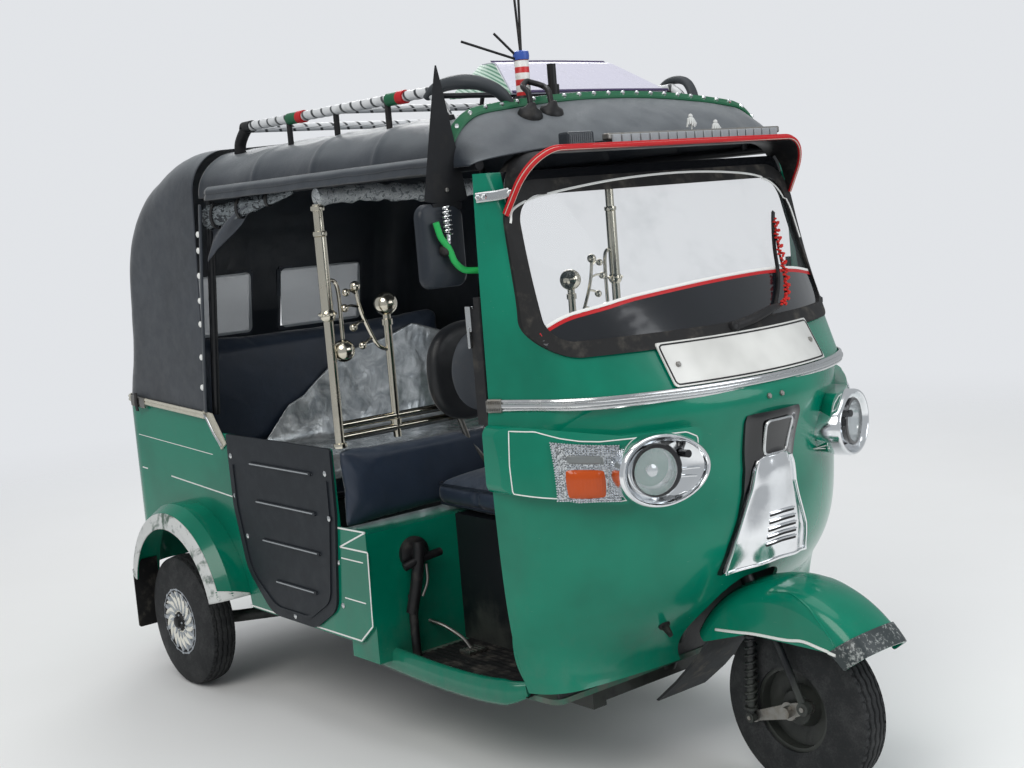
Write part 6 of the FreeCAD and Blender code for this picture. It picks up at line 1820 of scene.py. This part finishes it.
def kept(obj):
    """Replaces a piece's mesh by what its modifiers make of it."""
    graph = bpy.context.evaluated_depsgraph_get()
    mesh = bpy.data.meshes.new_from_object(obj.evaluated_get(graph))
    obj.modifiers.clear()
    obj.data = mesh


def rim_line(u0, u1, v0, v1, radius, axis, place):
    """Rounded oblong on a plane square to an axis, for piping."""
    line = rounded_line([(u0, v0, radius), (u1, v0, radius), (u1, v1, radius), (u0, v1, radius)], steps=8)
    return on_plane(resampled(line[:-1], 160), axis, place)


BACKREST_SIDE = -96.0
BACKREST_HEIGHT = 980.0


def discs(angle, rings, wide, high, bend=1.0, side=0.0, drop=0.0):
    """Rounded plate facing forward behind the driver: rings of (share of the half-size, place forward)."""
    across, up = (np.sign(part) * np.abs(part) ** bend for part in (np.cos(angle), np.sin(angle)))
    return np.stack([spread(-1045 + out, BACKREST_SIDE + side + wide * share * across,
                            BACKREST_HEIGHT - drop + high * share * up) for share, out in rings])


class RICKSHAW_OT_seats(bpy.types.Operator):
    """Stuff the driver's seat, the partition's pad and the passengers' bench, and lay the bench's cover"""

    bl_idname = "rickshaw.seats"
    bl_label = "Seats"

    def execute(self, context):
        cushion("driver_cushion", (-1060, -255, 604.5), (-690, 255, 700), 16, 30, 2, 3, "driver_seat")
        piping = [pipe(rim_line(-1056, -694, -251, 251, 34, 2, z), 3.4, 8, closed=True) for z in (626, 680)]
        piece("driver_piping", joined(piping), "seat_piping")
        angle = around(72)
        rings = [(0.0, -30), (0.55, -30), (0.86, -27), (0.97, -18), (1.0, -4), (0.97, 10), (0.9, 18), (0.8, 22),
                 (0.5, 26), (0.0, 27)]
        grid = discs(angle, rings, 150, 140, 0.8)
        back = piece("driver_backrest", grid_shape(grid, False, True), "black_vinyl", smooth=60)
        # Painted light: a lighter grey disc on the black backrest, set off to one side, stands for the backrest's lit
        # face.
        rings = [(0.0, 20), (0.95, 20), (1.0, 24), (0.96, 27.5), (0.6, 30.5), (0.0, 31.5)]
        lit_disc = discs(angle, rings, 108, 116, side=16, drop=2)
        piece("backrest_lit_disc", grid_shape(lit_disc, False, True), "grey_plastic", smooth=60)
        stays = [pipe([(-1052, y * 0.8, 690), (-1062, BACKREST_SIDE / 2 + y, 780), (-1056, BACKREST_SIDE + y, 900)],
                      9, 12, up=(0, 1, 0)) for y in (-70, 70)]
        piece("backrest_stays", joined(stays), "old_steel")

        cushion("partition_pad", (-1101, -536, 606), (-1065, 536, 821), 6, 14, 0, 5, "partition_panel")
        cushion("bench_cushion", (-2008, -494, 562), (-1604, 494, 690), 20, 36, 2, 7, "passenger_bench")
        cushion("bench_backrest", (-2050, -494, 702), (-1964, 494, 1088), 14, 30, 0, 8)
        lines = [pipe(rim_line(-2004, -1608, -490, 490, 40, 2, z), 3.4, 8, closed=True) for z in (590, 666)]
        piece("bench_piping", joined(lines), "seat_piping")

        profile = curve_through([(-1950, 1055), (-1946, 960), (-1944, 840), (-1942, 770), (-1928, 716), (-1880, 703),
                                 (-1800, 705), (-1700, 702), (-1630, 694), (-1598, 668), (-1590, 636)], 200)
        steps = np.concatenate([[0], np.cumsum(np.linalg.norm(np.diff(profile, axis=0), axis=1))])
        run = np.linspace(-430, 470, 150)
        top = np.interp(run, [-430, -300, -251, -178, -118, 10, 73, 219, 351, 470],
                        [650, 716, 760, 838, 863, 956, 988, 1012, 1050, 1010])
        start = np.interp(-top, -profile[:, 1], steps)
        start[run < -300] = np.interp(run[run < -300], [-430, -300], [steps[-1] * 0.82, start[run >= -300][0]])
        reach = start[None, :] + np.linspace(0, 1, 90)[:, None] * (steps[-1] - start[None, :])
        grid = spread(np.interp(reach, steps, profile[:, 0]), run, np.interp(reach, steps, profile[:, 1]))
        height = 5.0 + ripple(grid, 60.0, 2.2, 51) + ripple(grid, 22.0, 1.1, 52)
        grid = grid + normals_away(grid, (-2060, 0, 600)) * np.abs(height)[..., None]
        cover = piece("bench_cover", grid_shape(grid), "bench_cover", smooth=180)
        thickened(cover, COVER_WALL)
        return {"FINISHED"}


class RICKSHAW_OT_canopy_trim(bpy.types.Operator):
    """Edge the canopy: studded green piping, folded drip flaps, the rolled curtain, studs and pane tapes"""

    bl_idname = "rickshaw.canopy_trim"
    bl_label = "Canopy trim"

    def execute(self, context):
        arch = roof_section(200, 1524.0)
        arch = spread(ROOF_FRONT + 3.0, *arch.T)
        out = normals_away(np.stack([arch - [20, 0, 0], arch, arch + [20, 0, 0]]), (ROOF_FRONT, 0, 1300))[1]
        out = unit(out * 0.72 + [0.70, 0, 0])
        piece("roof_piping", carried(arch + out * 2, [(-13, -5), (13, -5), (13, 3), (9, 6), (-9, 6), (-13, 3)], out),
              "green_tape")
        piece("roof_studs", ball_bump(arch + out * 8.0, 6.5, 46.0), "bright_chrome")

        run = np.linspace(0, 1, 90)
        fold = np.array([(-539, 1549), (-546, 1546), (-552, 1540), (-555, 1532), (-553, 1528), (-551, 1531),
                         (-554, 1522),
                         (-557, 1513), (-554, 1510), (-549, 1519), (-541, 1536)], float)
        x = -515 - run * 1130
        section = np.repeat(fold[None], 90, 0)
        drop = ripple(np.column_stack([x, 0 * x, 0 * x]), 90.0, 2.4, 61)[:, None]
        reach = np.sin(np.linspace(0, 1, 11) * math.pi)[None, :]
        section[..., 1] += drop * reach
        section[..., 0] += ripple(np.column_stack([x, x * 0 + 40, x * 0]), 60.0, 1.6, 62)[:, None] * reach
        grid = spread(x[:, None], section[..., 0], section[..., 1])
        flaps = piece("drip_flaps", both(grid_shape(grid)), "rexine", smooth=60)
        cloth_sheet(flaps)
        thickened(flaps, FLAP_WALL)

        run = np.linspace(0, 1, 110)
        centre = np.column_stack([-1700 + run * 488, -522 + 1 * run, 1458 + 50 * run])
        size = np.interp(run, [0, 0.15, 0.6, 1], [36, 32, 20, 8])
        turn = around(30)
        place = spread(centre[:, 0:1], 40 * np.cos(turn), 40 * np.sin(turn))
        creases = ripple(place, 34.0, 0.20, 63) + ripple(place, 14.0, 0.07, 64) + 0.06 * np.sin(5 * turn)
        radius = size[:, None] * (1 + creases)
        grid = spread(centre[:, 0:1], centre[:, 1:2] + radius * 0.52 * np.cos(turn),
                      centre[:, 2:3] + radius * np.sin(turn))
        roll = grid_shape(grid, False, True, True)
        piece("rolled_curtains", both(roll), "crinkled_dark", smooth=60)
        s, t = np.meshgrid(np.linspace(0, 1, 50), np.linspace(0, 1, 24), indexing="ij")
        drop = 14 + 92 * (1 - s) ** 1.3
        hang = spread(-1700 + s * 260, -522.0, 1440 + 44 * s - drop * t)
        hang[..., 1] += 12 * np.sin(t * math.pi * 1.5 + s * 5) + ripple(hang, 40.0, 3.0, 66) * t
        fold = piece("curtain_folds", both(grid_shape(hang)), "rexine_old", smooth=180)
        cloth_sheet(fold)
        thickened(fold, FLAP_WALL)
        ties = []
        for place in (0.12, 0.42, 0.74):
            k = int(place * 109)
            x, y, z = centre[k]
            ring = spread(x, y + size[k] * 0.62 * np.cos(turn), z + size[k] * 1.12 * np.sin(turn))
            band = [(-7, -1), (7, -1), (7, 1.2), (-7, 1.2)]
            ties.append(carried(ring, band, away_from(ring, centre[k], False), closed=True))
        piece("curtain_ties", both(joined(ties)), "black_plastic")

        heights = np.array([1415, 1368, 1294, 1220, 1150, 1050, 958], float)
        places = spread(np.interp(heights, [883, 1514], [-1784, -1677]) - 14, -553.0, heights)
        studs = heads([(0, -6), (9, -6), (9, 3), (6, 5.5), (0, 6.5)], places, RIGHT, 18)
        piece("hood_studs", both(studs), "white_line")
        edge = np.array([(-1780, -554, 884), (-1730, -555, 1180), (-1678, -553, 1500)], float)
        piece("hood_hems", both(strip(curve_through(edge, 60), 16, 3.4, RIGHT)), "rexine")

        tapes = []
        for z in PANE_HEIGHTS:
            place = hood_reach(z) + 2
            line = np.array([(place, -398, z), (place - 12, -227, z), (place, -56, z)], float)
            tapes.append(strip(curve_through(line, 30), 15, 3.2, (-1, 0, 0.15)))
        for y in (-398, -56):
            line = [(hood_reach(z), y, z) for z in np.linspace(*PANE_HEIGHTS, 8)]
            tapes.append(strip(line, 15, 3.4, (-1, 0, 0.15)))
        piece("pane_frames", both(joined(tapes)), "rexine_old")
        return {"FINISHED"}


# Roof


RACK_SIDES = (-420.0, 420.0)
RAIL_TOP = 1712.0
RAIL_PATH = [(-1650, 420, 1640), (-1640, 420, 1672), (-1600, 420, 1706), (-1560, 420, 1712), (-1000, 420, 1712),
             (-730, 420, 1712), (-690, 420, 1706), (-650, 420, 1670), (-632, 420, 1640)]


class RICKSHAW_OT_roof(bpy.types.Operator):
    """Make the roof rack's wrapped rails, the raised board, the wrapped humps, the mast and the light bar"""

    bl_idname = "rickshaw.roof"
    bl_label = "Roof rack"

    def execute(self, context):
        line = resampled(curve_through(RAIL_PATH, 200), 260)
        wrap = 1 + 0.05 * np.sin(np.linspace(0, 1, 260) * 190)
        uv = []
        shapes = []
        cross = [resampled([(x, y, z) for y in RACK_SIDES], 120) for x, z in ((-1602, 1708), (-1120, RAIL_TOP))]
        for path, radius, factor, up in ((line * [1, -1, 1], 13, wrap, (0, 1, 0)), (line, 13, wrap, (0, 1, 0)),
                                         (cross[0], 12, None, (0, 0, 1)), (cross[1], 10, None, (0, 0, 1))):
            shapes.append(pipe(path, radius, 18, up=up, scale=factor))
            run = np.concatenate([[0], np.cumsum(np.linalg.norm(np.diff(path, axis=0), axis=1))]) * 0.001
            u, v = np.meshgrid(run, np.linspace(0, 1, 18, endpoint=False), indexing="ij")
            uv.append(np.stack([u, v], -1).reshape(-1, 2))
        rails = piece("rack_rails", joined(shapes), "spiral_wrap", smooth=60, uv=np.concatenate(uv))
        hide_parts("roof_rack")
        foot = [(0, -8), (26, -8), (26, -3), (17, 4), (14, 16), (0, 16)]
        feet = [turned_shape(foot, (x, y, z), (0, y / 4000, 1), 24)
                for y in RACK_SIDES for x, z in ((-1650, 1632), (-632, 1634))]
        feet += [pipe([(x, y, 1640), (x, y, 1704)], 8, 12, up=(1, 0, 0)) for x in (-1360, -1120, -880)
                 for y in RACK_SIDES]
        piece("rack_feet", joined(feet), "black_plastic")
        rear = np.array([p for p in line if p[0] < -1560])
        sleeve = [pipe(resampled(rear * [1, y, 1], 40), 17, 18, up=(0, 1, 0)) for y in (1, -1)]
        piece("rack_sleeves", joined(sleeve), "black_plastic", smooth=60)
        for name, finish, half, places in (("rack_bands", "green_tape", 26, ((-846, 16.5), (-1330, 16))),
                                           ("rack_red_bands", "red_trim", 14, ((-812, 17), (-1290, 17)))):
            bands = [pipe([(x - half, y, RAIL_TOP), (x + half, y, RAIL_TOP)], size, 20)
                     for x, size in places for y in RACK_SIDES]
            piece(name, joined(bands), finish)

        # Board: a thin plate bent once, steep at the front and nearly level on top
        rise = resampled([(-690, 1706), (-800, 1785), (-815, 1795), (-832, 1800), (-880, 1801)], 34)
        share = (rise[:, 1] - 1706) / 95
        right = -168 + 63 * share
        left = 392 - 92 * share
        across = np.linspace(0, 1, 40)[None, :]
        grid = spread(rise[:, 0:1], right[:, None] * (1 - across) + left[:, None] * across,
                      rise[:, 1:2] + 1.5 * np.sin(across * math.pi))
        piece("roof_board", slab(grid, 5, (0.55, 0, 0.83)), "lilac_board", smooth=60)
        lip = grid[27]
        piece("board_edge", joined([strip(lip + [2, 0, 1], 11, 2.2, (0.6, 0, 0.8)),
                                    strip(grid[0] + [2, 0, 2], 9, 2.2, (0.6, 0, 0.8))]), "purple_trim")
        # The panel on the right falls back from the board's end to the rail
        corner = [(-694, -168, 1705), (-832, -104, 1799), (-884, -108, 1798), (-780, -300, 1704)]
        piece("board_wing", slab(patch(corner, 14, 14), 4, (0, -0.5, 0.86)), "hatched_green", smooth=60)
        corner = [(-694, 392, 1705), (-832, 300, 1799), (-884, 304, 1798), (-780, 420, 1708)]
        piece("board_wing_left", slab(patch(corner, 10, 10), 4, (0, 0.5, 0.86)), "hatched_green", smooth=60)
        legs = [pipe(p, 6, 10, up=(0, 1, 0)) for p in (
            [(-872, -96, 1798), (-900, -110, 1664)], [(-872, 290, 1798), (-900, 300, 1660)],
            [(-700, -150, 1704), (-706, -150, 1668)], [(-700, 370, 1704), (-706, 370, 1656)])]
        bar = pipe([(-706, -420, 1703), (-706, 420, 1703)], 7, 12)
        piece("board_legs", joined(legs + [bar]), "black_paint")

        hump = np.array([(-705, -424, 1700), (-668, -424, 1716), (-625, -421, 1722), (-580, -410, 1722),
                         (-545, -386, 1714),
                         (-520, -356, 1694), (-508, -332, 1664), (-506, -322, 1650)], float)
        hump = resampled(curve_through(hump, 80), 80)
        lumps = np.interp(np.linspace(0, 1, 80), [0, 0.2, 0.5, 0.85, 1], [0.8, 1.35, 1.6, 1.3, 0.9])
        low = np.array([(-770, 436, 1700), (-738, 440, 1728), (-700, 440, 1735), (-664, 440, 1726), (-640, 436, 1700),
                        (-628, 432, 1664)], float)
        low = resampled(curve_through(low, 60), 60)
        tape = ring_profile(15, 16, 0.75)
        piece("rack_humps", joined([carried(hump, tape, (0, 0, 1), scale=lumps), carried(low, tape, (0, 0, 1))]),
              "hump_cloth", smooth=60)

        bases = [turned_shape([(0, -14), (30, -14), (31, 4), (26, 16), (14, 22), (8, 34), (0, 35)], place,
                              (0.35, 0, 0.94), 32)
                 for place in ((-452, -320, 1626), (-452, -254, 1629))]
        leads = [pipe(curve_through([(-444, y, 1656), (-456, y + 6, 1682), (-490, y + 20, 1700), (-522, -262, 1716)],
                                    24), 7, 10)
                 for y in (-322, -258)]
        piece("mast_magnets", joined(bases + leads), "black_plastic", smooth=60)
        mast = (-535.0, -262.0, 0.0)
        sleeve = lathe_z([(0, 1664), (17, 1665), (17.5, 1700), (17.5, 1764), (15, 1768), (0, 1768)], mast)
        piece("mast_sleeve", sleeve, "mast_stripes", smooth=60)
        collar = lathe_z([(0, 1766), (19, 1767), (20, 1776), (19, 1786), (12, 1789), (0, 1789)], mast)
        piece("mast_collar", collar, "blue_plastic", smooth=60)
        rod = np.array([(-520, -193, 1670), (-513, -160, 1656), (-505, -121, 1643)], float)
        piece("mast_stay", pipe(resampled(rod, 12), 12, 18, up=(1, 0, 0)), "black_plastic", smooth=60)

        bar = np.linspace(-205, 382, 20)
        cells = joined([block((-303, y, 1545), (-298, y1 - 4, 1568)) for y, y1 in zip(bar, bar[1:])])
        softened(piece("light_bar_cells", cells, "led_cells", smooth=0), 1.5)
        box = piece("small_lamp", block((-333, -345, 1543), (-297, -264, 1578)), "dark_lens", smooth=0)
        softened(box, 5, 3)
        tassels = []
        for y, z in ((80, 1604), (168, 1588)):
            for lean in around(14):
                knee = (-318 + 6 * math.cos(lean), y + 7 * math.sin(lean), z - 5)
                tip = (-316 + 10 * math.cos(lean), y + 13 * math.sin(lean), z - 22 - 4 * math.cos(lean * 3))
                tassels.append(pipe([(-318, y, z), knee, tip], 1.8, 6, up=(1, 0.2, 0)))
            tassels.append(beads([(-318, y, z + 1)], 6))
            tassels.append(pipe([(-318, y, z - 2), (-316, y, 1571)], 2, 6, up=(1, 0, 0)))
        piece("bar_tassels", joined(tassels), "silver_thread")
        return {"FINISHED"}


class RICKSHAW_OT_mirror(bpy.types.Operator):
    """Make the side mirror, its spring and wrapped arm and the tall pennant above it"""

    bl_idname = "rickshaw.mirror"
    bl_label = "Mirror"

    def execute(self, context):
        face = rounded_line([(-646, 1252, 26), (-646, 1442, 30), (-522, 1442, 30), (-522, 1252, 26)], steps=9)[:-1]
        middle = np.array([-584.0, 1347.0])
        shell, glass = [grid_shape(np.stack([on_plane(middle + (face - middle) * scale, 0, x) for scale, x in rings]),
                                   False, True) for rings in (
            [(0.0, -500), (0.90, -500), (0.93, -498), (1.0, -497), (1.0, -486), (0.97, -479), (0.88, -474.5),
             (0.6, -472.5), (0.0, -472)],
            [(0.0, -499.5), (0.88, -499.5), (0.9, -501), (0.86, -501.6), (0.0, -501.8)])]
        back = piece("mirror_shell", shell, "dark_grey_plastic", smooth=40)
        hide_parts("mirror")
        piece("mirror_glass", glass, "mirror_glass")
        coil = np.linspace(0, 1, 160)
        spring = np.column_stack([-458 + 10 * np.cos(coil * 38), -584 + 10 * np.sin(coil * 38), 1372 + coil * 62])
        arm = curve_through([(-459, -614, 1400), (-458, -604, 1366), (-456, -586, 1340), (-455, -573, 1309),
                             (-454, -549, 1289), (-440, -520, 1285)], 40)
        stem = curve_through([(-458, -584, 1372), (-458, -586, 1350), (-462, -590, 1330)], 20)
        piece("mirror_spring", joined([pipe(spring, 2.2, 8, up=(0, 0, 1)), pipe(stem, 6, 10)]), "chrome")
        piece("mirror_arm", pipe(arm, 7.5, 14), "green_wrap")
        ball = turned_shape([(0, -16), (12, -15), (15, -4), (13, 4), (8, 8), (0, 9)], (-462, -588, 1338),
                            (1, 0.2, 0.3), 20)
        piece("mirror_clamp", ball, "black_plastic")

        width = np.linspace(-1, 1, 13)[None, :]
        rise = np.linspace(0, 1, 40)[:, None]
        half = 59.5 * (1 - rise) ** 0.92 + 1.2
        centre = -564.5 - 1.0 * rise
        base = 1438 + 10 * np.abs(width) * (1 - rise)
        grid = spread(-478 + 4 * rise, centre + half * width, base + (1747 - base) * rise)
        piece("pennant", slab(grid, 2.4, (1, 0, 0)), "dull_black", smooth=30)
        bolt = turned_shape([(0, 0), (5, 0), (5, 2), (3, 3.5), (0, 3.5)], (-477, -562, 1471), (1, 0, 0), 12)
        foot = block((-482, -606, 1425), (-476, -524, 1442))
        piece("pennant_foot", foot, "dull_black", smooth=0)
        piece("pennant_bolt", bolt, "old_steel")
        channel = [block((-428, -552, 930), (-410, -538, 1226)), block((-448, -551, 934), (-426, -545, 1200))]
        piece("door_channels", both(joined(channel)), "black_plastic", smooth=0)
        catch = [block((-458, -556, 1148), (-440, -544, 1206)), block((-452, -560, 1110), (-444, -552, 1160))]
        softened(piece("door_catches", both(joined(catch)), "chrome", smooth=0), 2)
        return {"FINISHED"}


class RICKSHAW_OT_controls(bpy.types.Operator):
    """Add the hand lever, the pedal, the ribbed floor mat and the handlebar's grips and levers"""

    bl_idname = "rickshaw.controls"
    bl_label = "Controls"

    def execute(self, context):
        hub = turned_shape([(0, -3), (44, -3), (44, 12), (34, 18), (20, 20), (20, 40), (16, 44), (0, 44)],
                           (-975, -402, 528), (1, 0, 0), 32)
        arm = curve_through([(-944, -404, 560), (-940, -408, 530), (-946, -420, 450), (-960, -432, 372)], 40)
        grip = curve_through([(-950, -452, 500), (-938, -402, 516), (-945, -334, 520)], 30)
        post = curve_through([(-958, -428, 420), (-955, -432, 340), (-948, -436, 256)], 30)
        piece("hand_lever", joined([hub, pipe(arm, 16, 16, up=(0, 1, 0)), pipe(grip, 11, 14, up=(1, 0, 0)),
                                    pipe(post, 12, 14, up=(0, 1, 0))]), "black_plastic")
        thin = curve_through([(-932, -392, 500), (-928, -396, 455), (-936, -410, 416)], 24)
        piece("lever_rod", pipe(thin, 4, 10, up=(0, 1, 0)), "old_steel")
        rod = curve_through([(-978, -366, 331), (-930, -350, 318), (-885, -330, 290), (-860, -321, 262)], 40)
        sill = resampled(curve_through([(-1092, -470, 262), (-1040, -477, 258), (-900, -482, 254), (-760, -484, 252),
                                        (-620, -482, 255),
                                        (-520, -474, 263), (-470, -452, 272)], 90), 90)
        bulge = [(-14, -26), (-4, -34), (10, -34), (17, -24), (19, -4), (16, 16), (8, 27), (-2, 29), (-11, 22),
                 (-15, 6)]
        side = np.interp(np.linspace(0, 1, 90), [0, 0.06, 0.9, 1], [0.55, 1, 1, 0.6])
        piece("floor_sills", both(carried(sill, bulge, (0, 0, 1), scale=side)), "green_paint", smooth=60)
        pad = grid_pad((-872, -352, 254), (-826, -290, 266))
        piece("floor_pedal", joined([pipe(rod, 5, 10, up=(0, 1, 0)), pad]), "old_steel")
        ribs = np.linspace(-1, 1, 240)
        x = np.linspace(-955, -462, 60)
        u, v = np.meshgrid(x, ribs, indexing="ij")
        z = 254.4 + 1.8 * (np.sin(v * 150) > 0) - 2.0 * (np.abs(v) > 0.985)
        z += ripple(spread(u, v * 400, 0), 200.0, 0.5, 71)
        piece("floor_mat", slab(spread(u, v * 462, z), 2.2, (0, 0, 1)), "rubber", smooth=30)
        return {"FINISHED"}


PAD_RIBS = 5


def grid_pad(low, high):
    """Tread plate between two corners with raised cross ribs."""
    (x0, y0, z0), (x1, y1, z1) = low, high
    y = np.linspace(y0, y1, PAD_RIBS * 8 + 1)
    u, v = np.meshgrid(np.linspace(x0, x1, 6), y, indexing="ij")
    rise = z1 - 2.5 + 2.5 * (np.sin((v - y0) / (y1 - y0) * PAD_RIBS * 2 * math.pi) > 0)
    return slab(spread(u, v, rise), z1 - z0 - 3, (0, 0, 1))


OPERATORS = [
    RICKSHAW_OT_camera, RICKSHAW_OT_finishes, RICKSHAW_OT_stage, RICKSHAW_OT_tyres, RICKSHAW_OT_canopy,
    RICKSHAW_OT_belt, RICKSHAW_OT_windscreen, RICKSHAW_OT_visor, RICKSHAW_OT_lamps, RICKSHAW_OT_nose,
    RICKSHAW_OT_fender, RICKSHAW_OT_side_trim, RICKSHAW_OT_rear_trim, RICKSHAW_OT_wheel_trim,
    RICKSHAW_OT_posts, RICKSHAW_OT_seats, RICKSHAW_OT_canopy_trim, RICKSHAW_OT_roof, RICKSHAW_OT_mirror,
    RICKSHAW_OT_controls,
]


class RICKSHAW_PT_panel(bpy.types.Panel):
    """Settings and steps of the dressed vehicle"""

    bl_idname = "RICKSHAW_PT_panel"
    bl_label = "Rickshaw"
    bl_space_type = "VIEW_3D"
    bl_region_type = "UI"
    bl_category = "Rickshaw"

    def draw(self, context):
        look = context.scene.rickshaw_look
        for name in LookSettings.__annotations__:
            self.layout.prop(look, name)
        for step in OPERATORS:
            self.layout.operator(step.bl_idname)


CLASSES = [LookSettings, *OPERATORS, RICKSHAW_PT_panel]


def register():
    for item in CLASSES:
        bpy.utils.register_class(item)
    bpy.types.Scene.rickshaw_look = bpy.props.PointerProperty(type=LookSettings)


def unregister():
    del bpy.types.Scene.rickshaw_look
    for item in reversed(CLASSES):
        bpy.utils.unregister_class(item)


def main():
    """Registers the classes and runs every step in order."""
    register()
    for step in OPERATORS:
        group, name = step.bl_idname.split(".")
        getattr(getattr(bpy.ops, group), name)()


if __name__ == "__main__":
    main()
